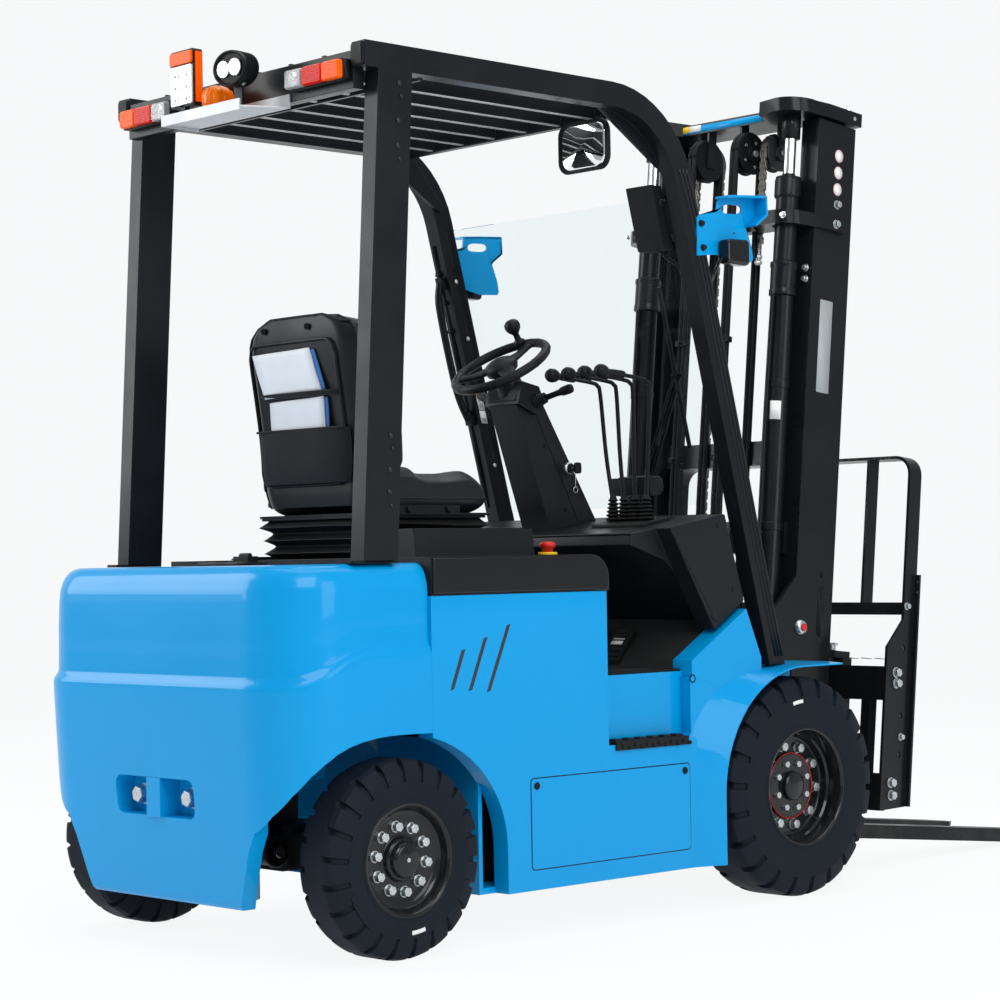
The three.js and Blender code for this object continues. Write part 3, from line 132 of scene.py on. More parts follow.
def resampled(points, count):
    """Closed outline given again as that many points at even steps along it."""
    loop = list(points) + [points[0]]
    runs = [0.0]
    for (x0, y0), (x1, y1) in zip(loop, loop[1:]):
        runs.append(runs[-1] + math.hypot(x1 - x0, y1 - y0))
    made, seg = [], 0
    for i in range(count):
        want = runs[-1] * i / count
        while runs[seg + 1] < want:
            seg += 1
        t = (want - runs[seg]) / max(runs[seg + 1] - runs[seg], 1e-9)
        made.append((loop[seg][0] + (loop[seg + 1][0] - loop[seg][0]) * t,
            loop[seg][1] + (loop[seg + 1][1] - loop[seg][1]) * t))
    return made


def plane_point(axis, u, v, w):
    """u and v across the axis, w along it."""
    return {"X": (w, u, v), "Y": (u, w, v), "Z": (u, v, w)}[axis]


class Shape:
    """One mesh under construction; every face takes the finish in use."""

    def __init__(self):
        self.bm = bmesh.new()
        self.finish = 0

    def face(self, verts):
        made = self.bm.faces.new(verts)
        made.material_index = self.finish
        made.smooth = True
        return made

    def rings(self, rings, closed=True, caps=True):
        """Skin over rings of points; each ring runs round the shape."""
        rows = [[self.bm.verts.new(p) for p in ring] for ring in rings]
        count = len(rows[0])
        for low, high in zip(rows, rows[1:]):
            for i in range(count if closed else count - 1):
                j = (i + 1) % count
                self.face((low[i], low[j], high[j], high[i]))
        if caps:
            self.face(rows[0][::-1])
            self.face(rows[-1])
        return rows

    def prism(self, outline, low, high, axis="Z"):
        self.rings([[plane_point(axis, u, v, w) for u, v in outline] for w in (low, high)])

    def block(self, xs, ys, zs):
        (x0, x1), (y0, y1), (z0, z1) = xs, ys, zs
        self.prism([(x0, y0), (x1, y0), (x1, y1), (x0, y1)], z0, z1)

    def turned(self, profile, origin, axis, segments=32, caps=True, start=0.0):
        """Profile of (along, radius) turned about an axis through the origin."""
        along = Vector(axis).normalized()
        side = along.orthogonal().normalized()
        other = along.cross(side)
        rings = []
        for distance, radius in profile:
            centre = Vector(origin) + along * distance
            rings.append([
                centre + (side * math.cos(t) + other * math.sin(t)) * max(radius, 0.01)
                for t in (start + 2 * math.pi * i / segments for i in range(segments))
            ])
        self.rings(rings, caps=caps)

    def rod(self, start, end, radius, segments=20, chamfer=0.0):
        start, end = Vector(start), Vector(end)
        length = (end - start).length
        profile = [(0, radius - chamfer), (chamfer, radius), (length - chamfer, radius), (length, radius - chamfer)]
        if not chamfer:
            profile = [(0, radius), (length, radius)]
        self.turned(profile, start, end - start, segments)

    def ball(self, centre, radius, segments=24, squash=1.0):
        steps = segments // 2
        turns = [math.pi * i / steps for i in range(steps + 1)]
        profile = [(-radius * squash * math.cos(t), radius * math.sin(t)) for t in turns]
        self.turned(profile, centre, (0, 0, 1), segments)

    def bolt(self, centre, axis, across, washer=0.0, height=None):
        """Hexagon head with a chamfered top on its washer."""
        height = across * 0.6 if height is None else height
        base = 0.0
        if washer:
            self.turned([(0, washer), (1.6, washer), (2.2, washer - 0.8)], centre, axis, 24)
            base = 2.2
        corner = across / 2 / math.cos(math.radians(30))
        self.turned(
            [(base, corner), (base + height * 0.8, corner), (base + height, corner * 0.86)], centre, axis, 6)

    def path(self, points, radius, sides=12, closed=False, flat=None):
        """Tube along points; flat gives a second half width."""
        points = [Vector(p) for p in points]
        count = len(points)
        rings = []
        normal = None
        for i, here in enumerate(points):
            ahead = points[(i + 1) % count] if closed or i + 1 < count else here
            behind = points[i - 1] if closed or i else here
            tangent = (ahead - behind).normalized()
            normal = tangent.orthogonal() if normal is None else normal - tangent * normal.dot(tangent)
            normal.normalize()
            other = tangent.cross(normal)
            size = radius[i] if isinstance(radius, (list, tuple)) else radius
            rings.append([
                here + normal * size * math.cos(t) + other * (flat or size) * math.sin(t)
                for t in (2 * math.pi * k / sides for k in range(sides))
            ])
        if closed:
            rings.append(rings[0])
        rows = self.rings(rings, caps=not closed)
        if closed:
            bmesh.ops.remove_doubles(self.bm, verts=rows[0] + rows[-1], dist=0.01)

    def torus(self, centre, axis, ring_radius, radius, segments=48, sides=14):
        along = Vector(axis).normalized()
        side = along.orthogonal().normalized()
        other = along.cross(side)
        self.path([
            Vector(centre) + (side * math.cos(t) + other * math.sin(t)) * ring_radius
            for t in (2 * math.pi * i / segments for i in range(segments))
        ], radius, sides, closed=True)

    def piece(self, name, finishes, body, slot, place=BODY_FRAME, replaces=()):
        """Turns the mesh into an object that rides on its body, or on none yet if it bends between two."""
        bmesh.ops.recalc_face_normals(self.bm, faces=self.bm.faces)
        mesh = bpy.data.meshes.new(name)
        self.bm.to_mesh(mesh)
        self.bm.free()
        mesh.transform(place)
        for finish in finishes:
            mesh.materials.append(material(finish))
        piece = bpy.data.objects.new(name, mesh)
        bpy.context.scene.collection.objects.link(piece)
        if body:
            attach(piece, body)
        if replaces:
            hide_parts(*replaces)
        return piece


def soften(piece, width=1.5, segments=2, angle=32, weld=False):
    """Rounds the hard edges by a width in millimetres and keeps flat faces flat."""
    if weld:
        joined = piece.modifiers.new("Weld", "WELD")
        joined.merge_threshold = 1e-5
    edge = piece.modifiers.new("Bevel", "BEVEL")
    edge.width = width * MM
    edge.segments = segments
    edge.limit_method = "ANGLE"
    edge.angle_limit = math.radians(angle)
    edge.use_clamp_overlap = True
    flat = piece.modifiers.new("Normals", "WEIGHTED_NORMAL")
    flat.keep_sharp = False
    flat.weight = 80
    return piece


def smooth_curve(points, steps):
    """Catmull-Rom line through points."""
    points = [Vector(p) for p in points]
    ends = [points[0] * 2 - points[1]] + points + [points[-1] * 2 - points[-2]]
    line = []
    for k in range(1, len(ends) - 2):
        before, here, ahead, after = ends[k - 1:k + 3]
        for i in range(steps):
            t = i / steps
            line.append(0.5 * (
                2 * here + (ahead - before) * t
                + (2 * before - 5 * here + 4 * ahead - after) * t * t
                + (3 * here - before - 3 * ahead + after) * t * t * t))
    return line + [points[-1]]


# ---------------------------------------------------------------- shader groups


def shader_group(name, inputs, outputs):
    group = bpy.data.node_groups.new(name, "ShaderNodeTree")
    for label, kind, default in inputs:
        socket = group.interface.new_socket(label, in_out="INPUT", socket_type=kind)
        socket.default_value = default
    for label, kind in outputs:
        group.interface.new_socket(label, in_out="OUTPUT", socket_type=kind)
    return group, Nodes(group)


class Nodes:
    """Short ways to add and join nodes of one tree."""

    def __init__(self, tree):
        self.tree = tree

    def add(self, kind, **settings):
        node = self.tree.nodes.new(kind)
        for key, value in settings.items():
            setattr(node, key, value)
        return node

    def link(self, source, target):
        self.tree.links.new(source, target)

    def put(self, target, value):
        if isinstance(value, bpy.types.NodeSocket):
            self.link(value, target)
        else:
            target.default_value = value

    def math(self, operation, a, b=0.0, clamp=False):
        node = self.add("ShaderNodeMath", operation=operation, use_clamp=clamp)
        self.put(node.inputs[0], a)
        self.put(node.inputs[1], b)
        return node.outputs[0]

    def ramp(self, value, low, high, to_low=0.0, to_high=1.0):
        node = self.add("ShaderNodeMapRange", interpolation_type="SMOOTHSTEP")
        for socket, item in zip(node.inputs[:5], (value, low, high, to_low, to_high)):
            self.put(socket, item)
        return node.outputs[0]

    def mix(self, factor, a, b):
        node = self.add("ShaderNodeMix", data_type="RGBA")
        self.put(node.inputs[0], factor)
        self.put(node.inputs[6], a)
        self.put(node.inputs[7], b)
        return node.outputs[2]

    def noise(self, where, scale, detail=3.0, roughness=0.55):
        node = self.add("ShaderNodeTexNoise")
        self.link(where, node.inputs["Vector"])
        self.put(node.inputs["Scale"], scale)
        node.inputs["Detail"].default_value = detail
        node.inputs["Roughness"].default_value = roughness
        return node.outputs["Fac"]

    def stretched(self, where, x, y, z):
        node = self.add("ShaderNodeMapping")
        self.link(where, node.inputs["Vector"])
        node.inputs["Scale"].default_value = (x, y, z)
        return node.outputs[0]

    def where(self):
        return self.add("ShaderNodeTexCoord").outputs["Object"]

    def group(self, name, **values):
        node = self.add("ShaderNodeGroup", node_tree=bpy.data.node_groups[name])
        for key, value in values.items():
            self.put(node.inputs[key.replace("_", " ")], value)
        return node


FLOAT, COLOR = "NodeSocketFloat", "NodeSocketColor"


def build_groups():
    """Mottle, grain, scuffs and dust: the effects that the finishes share."""
    _, n = shader_group(
        "Mottle",
        [("Color", COLOR, (1, 1, 1, 1)), ("Scale", FLOAT, 6.0), ("Amount", FLOAT, 0.1)],
        [("Color", COLOR), ("Variation", FLOAT)])
    inside, outside = n.add("NodeGroupInput"), n.add("NodeGroupOutput")
    cloud = n.noise(n.where(), inside.outputs["Scale"], 4)
    shade = n.add("ShaderNodeHueSaturation")
    n.link(inside.outputs["Color"], shade.inputs["Color"])
    spread = n.math("MULTIPLY", n.math("SUBTRACT", cloud, 0.5), inside.outputs["Amount"])
    n.link(n.math("ADD", 1.0, n.math("MULTIPLY", spread, 2.0)), shade.inputs["Value"])
    n.link(shade.outputs[0], outside.inputs["Color"])
    n.link(cloud, outside.inputs["Variation"])

    _, n = shader_group(
        "Grain",
        [("Scale", FLOAT, 900.0), ("Pebble", FLOAT, 0.5)],
        [("Height", FLOAT)])
    inside, outside = n.add("NodeGroupInput"), n.add("NodeGroupOutput")
    where = n.where()
    cells = n.add("ShaderNodeTexVoronoi", feature="F1")
    n.link(where, cells.inputs["Vector"])
    n.link(inside.outputs["Scale"], cells.inputs["Scale"])
    fine = n.noise(where, inside.outputs["Scale"], 2)
    blend = n.add("ShaderNodeMix", data_type="FLOAT")
    n.link(inside.outputs["Pebble"], blend.inputs[0])
    n.link(fine, blend.inputs[2])
    n.link(cells.outputs["Distance"], blend.inputs[3])
    n.link(blend.outputs[0], outside.inputs["Height"])

    _, n = shader_group(
        "Scuffs",
        [("Scale", FLOAT, 30.0), ("Amount", FLOAT, 0.3)],
        [("Mask", FLOAT)])
    inside, outside = n.add("NodeGroupInput"), n.add("NodeGroupOutput")
    where = n.where()
    lines = n.noise(n.stretched(where, 1.0, 0.14, 1.6), inside.outputs["Scale"], 6, 0.7)
    patch = n.noise(where, 5.0, 3)
    level = n.math("SUBTRACT", 0.78, n.math("MULTIPLY", inside.outputs["Amount"], 0.22))
    streak = n.ramp(n.math("ADD", n.math("MULTIPLY", lines, 0.7), n.math("MULTIPLY", patch, 0.3)), level,
                    n.math("ADD", level, 0.05))
    n.link(streak, outside.inputs["Mask"])

    _, n = shader_group(
        "Dust",
        [("Color", COLOR, (1, 1, 1, 1)), ("Dust Color", COLOR, (0.3, 0.28, 0.25, 1)), ("Amount", FLOAT, 0.2)],
        [("Color", COLOR), ("Mask", FLOAT)])
    inside, outside = n.add("NodeGroupInput"), n.add("NodeGroupOutput")
    where = n.where()
    facing = n.add("ShaderNodeSeparateXYZ")
    n.link(n.add("ShaderNodeNewGeometry").outputs["Normal"], facing.inputs[0])
    up = n.ramp(facing.outputs["Z"], 0.2, 1.0)
    place = n.add("ShaderNodeSeparateXYZ")
    n.link(where, place.inputs[0])
    low = n.ramp(place.outputs["Z"], 0.5, 0.05)
    patch = n.ramp(n.noise(where, 9.0, 5, 0.65), 0.35, 0.75)
    settled = n.math("MULTIPLY", n.math("ADD", n.math("MULTIPLY", up, 0.6), low, clamp=True), patch)
    mask = n.math("MULTIPLY", settled, inside.outputs["Amount"], clamp=True)
    n.link(n.mix(mask, inside.outputs["Color"], inside.outputs["Dust Color"]), outside.inputs["Color"])
    n.link(mask, outside.inputs["Mask"])


# ---------------------------------------------------------------- finishes


def finish_nodes(name, color, roughness, metallic=0.0, coat=0.0, coat_roughness=0.05, mottle=(4.0, 0.06),
                 grain=None, scuffs=None, dust=None, sheen=0.0, spread=0.08, specular=0.12):
    """One opaque finish from the shared groups.

    grain is (scale, pebble, depth in mm), scuffs is (scale, amount, colour), dust is (amount, colour).
    """
    made = bpy.data.materials.new(name)
    made.use_nodes = True
    n = Nodes(made.node_tree)
    shader = made.node_tree.nodes["Principled BSDF"]
    shader.inputs["Metallic"].default_value = metallic
    shader.inputs["Coat Weight"].default_value = coat
    shader.inputs["Coat Roughness"].default_value = coat_roughness
    shader.inputs["Sheen Weight"].default_value = sheen
    shader.inputs["Specular IOR Level"].default_value = specular
    cloud = n.group("Mottle", Color=(*color, 1), Scale=mottle[0], Amount=mottle[1])
    shown = cloud.outputs["Color"]
    rough = n.ramp(cloud.outputs["Variation"], 0.3, 0.7, max(roughness - spread, 0.02), min(roughness + spread, 1.0))
    if scuffs:
        mask = n.group("Scuffs", Scale=scuffs[0], Amount=scuffs[1]).outputs["Mask"]
        shown = n.mix(mask, shown, (*scuffs[2], 1))
        rough = n.math("ADD", rough, n.math("MULTIPLY", mask, 0.18), clamp=True)
    if dust:
        veil = n.group("Dust", Color=shown, Dust_Color=(*dust[1], 1), Amount=dust[0])
        shown = veil.outputs["Color"]
        rough = n.math("ADD", rough, n.math("MULTIPLY", veil.outputs["Mask"], 0.3), clamp=True)
    n.link(shown, shader.inputs["Base Color"])
    n.link(rough, shader.inputs["Roughness"])
    if grain:
        height = n.group("Grain", Scale=grain[0], Pebble=grain[1]).outputs["Height"]
        bump = n.add("ShaderNodeBump")
        bump.inputs["Distance"].default_value = grain[2] * MM
        bump.inputs["Strength"].default_value = 0.6
        n.link(height, bump.inputs["Height"])
        n.link(bump.outputs[0], shader.inputs["Normal"])
    made.diffuse_color = (*color, 1)
    return made


def clear_finish(name, color, roughness, transmission=1.0, ior=1.49, tint=None, emission=0.0):
    """Glass or a clear moulded lens, with faint smears in its roughness."""
    made = bpy.data.materials.new(name)
    made.use_nodes = True
    n = Nodes(made.node_tree)
    shader = made.node_tree.nodes["Principled BSDF"]
    shader.inputs["Transmission Weight"].default_value = transmission
    shader.inputs["IOR"].default_value = ior
    smear = n.noise(n.stretched(n.where(), 1.0, 1.0, 0.3), 7.0, 4)
    n.link(n.ramp(smear, 0.35, 0.8, roughness, roughness * 1.5),
           shader.inputs["Roughness"])
    shader.inputs["Specular IOR Level"].default_value = 0.12
    cloud = n.group("Mottle", Color=(*color, 1), Scale=12.0, Amount=0.02)
    n.link(cloud.outputs["Color"], shader.inputs["Base Color"])
    if emission:
        shader.inputs["Emission Color"].default_value = (*(tint or color), 1)
        shader.inputs["Emission Strength"].default_value = emission
    made.diffuse_color = (*color, 1)
    return made


GREY_DUST = (0.17, 0.16, 0.15)
OPAQUE = {
    "blue_enamel": dict(
        roughness=0.32, coat=0.22, coat_roughness=0.03, mottle=(2.5, 0.03), grain=(60.0, 0.0, 0.08),
        dust=(0.05, (0.05, 0.32, 0.6)), spread=0.04, specular=0.12),
    "guard_enamel": dict(
        color=(0.0075, 0.0088, 0.011), roughness=0.34, coat=0.1, coat_roughness=0.2, mottle=(5.0, 0.2),
        grain=(1500.0, 0.3, 0.05), scuffs=(26.0, 0.1, (0.018, 0.02, 0.022)), dust=(0.04, GREY_DUST)),
    "mast_enamel": dict(
        color=(0.0065, 0.0075, 0.009), roughness=0.31, coat=0.14, coat_roughness=0.14, mottle=(4.0, 0.25),
        grain=(700.0, 0.2, 0.06), scuffs=(20.0, 0.2, (0.02, 0.021, 0.022)), dust=(0.05, GREY_DUST)),
    "fork_enamel": dict(
        color=(0.012, 0.013, 0.0145), roughness=0.42, mottle=(7.0, 0.35), grain=(420.0, 0.2, 0.12),
        scuffs=(14.0, 0.5, (0.07, 0.07, 0.074)), dust=(0.14, GREY_DUST)),
    "axle_enamel": dict(
        color=(0.009, 0.01, 0.012), roughness=0.5, mottle=(8.0, 0.3), grain=(500.0, 0.4, 0.12),
        dust=(0.2, GREY_DUST)),
    "rim_enamel": dict(
        color=(0.006, 0.007, 0.0085), roughness=0.22, coat=0.45, coat_roughness=0.06, mottle=(6.0, 0.2),
        grain=(600.0, 0.1, 0.04), scuffs=(24.0, 0.15, (0.025, 0.025, 0.028)), dust=(0.05, GREY_DUST)),
    "red_enamel": dict(color=(0.42, 0.012, 0.014), roughness=0.3, coat=0.6, mottle=(20.0, 0.15),
                       grain=(900.0, 0.0, 0.03)),
    "tyre_rubber": dict(
        color=(0.008, 0.0115, 0.018), roughness=0.62, mottle=(9.0, 0.3), grain=(1100.0, 0.5, 0.07),
        scuffs=(30.0, 0.25, (0.026, 0.027, 0.029)), dust=(0.08, (0.04, 0.04, 0.042)), specular=0.1),
    "hood_plastic": dict(
        color=(0.0085, 0.0095, 0.0115), roughness=0.4, mottle=(5.0, 0.12), grain=(1300.0, 0.75, 0.05),
        dust=(0.03, GREY_DUST), specular=0.16),
    "cowl_plastic": dict(
        color=(0.0085, 0.0098, 0.012), roughness=0.4, mottle=(5.0, 0.12), grain=(1500.0, 0.8, 0.05),
        dust=(0.03, GREY_DUST), specular=0.16),
    "gloss_moulding": dict(
        color=(0.006, 0.0066, 0.0075), roughness=0.2, coat=0.5, coat_roughness=0.06, mottle=(6.0, 0.1),
        grain=(500.0, 0.1, 0.03), dust=(0.03, GREY_DUST)),
    "grip_plastic": dict(color=(0.009, 0.0096, 0.0105), roughness=0.4, mottle=(14.0, 0.15),
                         grain=(1800.0, 0.6, 0.06)),
    "boot_rubber": dict(color=(0.009, 0.0095, 0.0102), roughness=0.55, mottle=(18.0, 0.2), grain=(1200.0, 0.5, 0.1),
                        dust=(0.05, GREY_DUST), specular=0.18),
    "mat_rubber": dict(color=(0.012, 0.0124, 0.013), roughness=0.7, mottle=(10.0, 0.25), grain=(900.0, 0.6, 0.15),
                       scuffs=(22.0, 0.3, (0.03, 0.029, 0.028)), dust=(0.12, GREY_DUST)),
    "seat_vinyl": dict(
        color=(0.0085, 0.0095, 0.012), roughness=0.36, mottle=(7.0, 0.15), grain=(620.0, 0.85, 0.22),
        dust=(0.02, GREY_DUST), specular=0.22),
    "seam_thread": dict(color=(0.02, 0.021, 0.024), roughness=0.7, mottle=(60.0, 0.4), grain=(2600.0, 0.4, 0.1)),
    "pocket_cloth": dict(color=(0.0095, 0.0102, 0.012), roughness=0.8, mottle=(12.0, 0.2), grain=(1900.0, 0.2, 0.14),
                         sheen=0.1),
    "zinc_steel": dict(color=(0.56, 0.6, 0.62), roughness=0.32, metallic=0.9, mottle=(70.0, 0.35),
                       grain=(900.0, 0.3, 0.04), dust=(0.15, GREY_DUST)),
    "bare_steel": dict(color=(0.4, 0.4, 0.41), roughness=0.35, metallic=0.95, mottle=(30.0, 0.3),
                       grain=(700.0, 0.2, 0.04), scuffs=(40.0, 0.5, (0.2, 0.19, 0.18))),
    "rod_chrome": dict(color=(0.78, 0.79, 0.81), roughness=0.1, metallic=1.0, mottle=(12.0, 0.08), spread=0.03,
                       grain=(1500.0, 0.0, 0.01)),
    "chain_steel": dict(color=(0.2, 0.19, 0.175), roughness=0.42, metallic=0.85, mottle=(80.0, 0.6),
                        grain=(900.0, 0.4, 0.08), dust=(0.3, (0.05, 0.045, 0.04))),
    "cast_iron": dict(color=(0.1, 0.1, 0.105), roughness=0.5, metallic=0.6, mottle=(26.0, 0.4),
                      grain=(420.0, 0.6, 0.2), dust=(0.3, GREY_DUST)),
    "hose_rubber": dict(color=(0.008, 0.0084, 0.0095), roughness=0.48, mottle=(20.0, 0.2), grain=(1600.0, 0.3, 0.08)),
    "lamp_housing": dict(color=(0.0075, 0.008, 0.009), roughness=0.4, mottle=(14.0, 0.2), grain=(1400.0, 0.5, 0.08),
                         dust=(0.05, GREY_DUST)),
    "reflector": dict(color=(0.86, 0.87, 0.88), roughness=0.12, metallic=1.0, mottle=(200.0, 0.2),
                      grain=(320.0, 1.0, 0.5)),
    "silver_plastic": dict(color=(0.56, 0.57, 0.58), roughness=0.32, metallic=0.3, mottle=(16.0, 0.06),
                           grain=(1500.0, 0.5, 0.05)),
    "tray_metal": dict(color=(0.5, 0.52, 0.54), roughness=0.42, metallic=0.25, mottle=(8.0, 0.12),
                       grain=(800.0, 0.2, 0.05), dust=(0.2, GREY_DUST)),
    "mirror_silver": dict(color=(0.9, 0.92, 0.94), roughness=0.03, metallic=1.0, mottle=(5.0, 0.02), spread=0.01),
    "white_label": dict(color=(0.74, 0.74, 0.73), roughness=0.45, mottle=(30.0, 0.05), grain=(900.0, 0.2, 0.02)),
    "yellow_label": dict(color=(0.78, 0.5, 0.02), roughness=0.45, mottle=(30.0, 0.08), grain=(900.0, 0.2, 0.02)),
    "orange_label": dict(color=(0.75, 0.2, 0.015), roughness=0.45, mottle=(30.0, 0.08), grain=(900.0, 0.2, 0.02)),
    "pink_label": dict(color=(0.66, 0.5, 0.5), roughness=0.5, mottle=(30.0, 0.08), grain=(900.0, 0.2, 0.02)),
    "grey_label": dict(color=(0.35, 0.37, 0.38), roughness=0.5, mottle=(30.0, 0.08), grain=(900.0, 0.2, 0.02)),
    "paper": dict(color=(0.7, 0.74, 0.78), roughness=0.6, mottle=(9.0, 0.12), grain=(300.0, 0.0, 0.3)),
    "paper_blue": dict(color=(0.07, 0.2, 0.5), roughness=0.4, mottle=(20.0, 0.1), grain=(500.0, 0.0, 0.1)),
    "stripe_ink": dict(color=(0.012, 0.014, 0.018), roughness=0.3, coat=0.8, mottle=(12.0, 0.1),
                       grain=(260.0, 0.0, 0.03)),
    "red_plastic": dict(color=(0.6, 0.02, 0.015), roughness=0.3, coat=0.3, mottle=(30.0, 0.1),
                        grain=(900.0, 0.4, 0.04)),
    # Painted highlight: a light grey laid along the black guard slats' edges for the light they catch; the slats
    # themselves are black.
    "painted_slat_highlight": dict(color=(0.42, 0.43, 0.44), roughness=0.45, mottle=(10.0, 0.12), grain=(900.0, 0.3, 0.04)),
}
CLEAR = {
    "screen_glass": dict(color=(0.9, 0.955, 0.965), roughness=0.0, ior=1.1),
    "amber_lens": dict(color=(1.0, 0.26, 0.0), roughness=0.08, transmission=0.5, emission=0.1),
    "orange_lens": dict(color=(0.9, 0.1, 0.0), roughness=0.12, transmission=0.0),
    "red_lens": dict(color=(0.6, 0.008, 0.0), roughness=0.12, transmission=0.0),
    "clear_lens": dict(color=(0.9, 0.92, 0.93), roughness=0.05, transmission=0.7),
    "led_lens": dict(color=(0.5, 0.52, 0.54), roughness=0.08, transmission=0.3),
    "display_glass": dict(color=(0.005, 0.012, 0.03), roughness=0.06, transmission=0.0,
                          tint=(0.01, 0.03, 0.09), emission=0.5),
}


def material(name):
    """The finish of that name, made once."""
    made = name + "_finish"
    if made in bpy.data.materials:
        return bpy.data.materials[made]
    if name in CLEAR:
        return clear_finish(made, **CLEAR[name])
    settings = dict(OPAQUE[name])
    if name == "blue_enamel":
        settings["color"] = tuple(bpy.context.scene.forklift_paint.body_color)
    return finish_nodes(made, **settings)


# ---------------------------------------------------------------- wheels


def tyre_profile(radius, width, rim):
    """(across, radius, groove) from the inner bead to the outer; groove says how deep a lug's gap cuts."""
    half = width / 2
    side = [
        (half - 12, rim - 4, 0), (half - 3, rim, 0), (half, rim + 7, 0), (half - 2.5, rim + 10, 0),
        (half - 1.2, rim + 18, 0), (half - 0.2, (rim + radius) / 2, 0), (half - 0.6, radius - 52, 0),
        (half - 0.5, radius - 50, 0.15), (half - 3.2, radius - 42, 0.75), (half - 9, radius - 17, 1),
        (half - 18, radius - 5, 1), (half - 30, radius - 0.6, 1), (half * 0.52, radius, 1), (half * 0.44, radius, 0.15),
        (half * 0.4, radius, 0),
    ]
    return [(-u, r, g) for u, r, g in side] + [(u, r, g) for u, r, g in side[::-1]]


def tyre(radius, width, rim, lugs, depth):
    """Solid tyre with slanted shoulder lugs, staggered from side to side."""
    shape = Shape()
    profile = tyre_profile(radius, width, rim)
    pitch = 2 * math.pi / lugs
    # Places round one pitch: (turn, gap on the near side, gap on the far side).
    steps = [(0.0, 0, 0), (0.03, 1, 0), (0.22, 1, 0), (0.25, 0, 0), (0.37, 0, 0), (0.5, 0, 0), (0.53, 0, 1),
             (0.72, 0, 1), (0.75, 0, 0), (0.87, 0, 0)]
    rings = []
    for lug in range(lugs):
        for share, near, far in steps:
            ring = []
            for across, size, groove in profile:
                cut = (near if across > 0 else far) * groove
                slant = 0.12 * pitch * (abs(across) / (width / 2)) ** 1.5 * (1 if across > 0 else -1)
                turn = (lug + share) * pitch + slant
                inward = 1 - 0.04 * cut
                reach = size - depth * cut
                ring.append((across * inward, -reach * math.sin(turn), reach * math.cos(turn)))
            rings.append(ring)
    rows = [[shape.bm.verts.new(p) for p in ring] for ring in rings]
    count = len(profile)
    for k, row in enumerate(rows):
        ahead = rows[(k + 1) % len(rows)]
        for i in range(count - 1):
            shape.face((row[i], row[i + 1], ahead[i + 1], ahead[i]))
        shape.face((row[-1], row[0], ahead[0], ahead[-1]))
    return shape


def label_on_side(shape, radius, face, turn, length=34, height=9):
    """Small blank raised label that follows the sidewall."""
    rings = []
    spread = length / radius / 2
    for k in range(9):
        angle = turn + spread * (k / 4 - 1)
        ring = []
        for across, reach in ((face, -height / 2), (face + 0.9, -height / 2 + 1), (face + 0.9, height / 2 - 1),
                              (face, height / 2)):
            r = radius + reach
            ring.append((across, -r * math.sin(angle), r * math.cos(angle)))
        rings.append(ring)
    shape.rings(rings)


def nut_ring(shape, radius, count, face, across, turn=0.0, washer=0.0, stud=3.0):
    for i in range(count):
        angle = turn + 2 * math.pi * i / count
        centre = (face, -radius * math.sin(angle), radius * math.cos(angle))
        shape.bolt(centre, (1, 0, 0), across, washer, across * 0.62)
        if stud:
            shape.rod((face + across * 0.6, *centre[1:]), (face + across * 0.6 + stud, *centre[1:]), across * 0.24, 10,
                0.8)


def wheel_place(side, centre):
    """Wheels are drawn facing +x about their own middle."""
    turn = Matrix.Rotation(math.pi, 4, "Z") if side < 0 else Matrix.Identity(4)
    return Matrix.Translation(centre) @ turn @ Matrix.Scale(MM, 4)


def front_rim(shape):
    """Deep dish: rolled lip, stepped barrel, disc with its nuts, hub flange and cap."""
    shape.turned([
        (-80, 138), (-82, 148), (-86, 154), (-84, 156), (-70, 150), (60, 150), (74, 152), (84, 156), (86.5, 155),
        (86, 151), (80, 146), (62, 143), (44, 142), (38, 137), (24, 136), (19, 132), (17, 124), (16, 96), (18, 88),
        (28, 86), (30, 84), (31, 40), (44, 38), (46, 36), (49, 28), (50, 1),
    ], (0, 0, 0), (1, 0, 0), 72, caps=True)


def rear_rim(shape):
    shape.turned([
        (-58, 108), (-60, 120), (-64, 129), (-62, 131), (-50, 124), (50, 124), (60, 127), (66, 131), (67.2, 129),
        (66, 124), (60, 119), (46, 116), (41, 112), (37, 106), (34, 98), (32, 60), (34, 52), (43, 50), (46, 47),
        (47, 43), (56, 41), (61, 36), (63, 30), (64, 1),
    ], (0, 0, 0), (1, 0, 0), 72, caps=True)


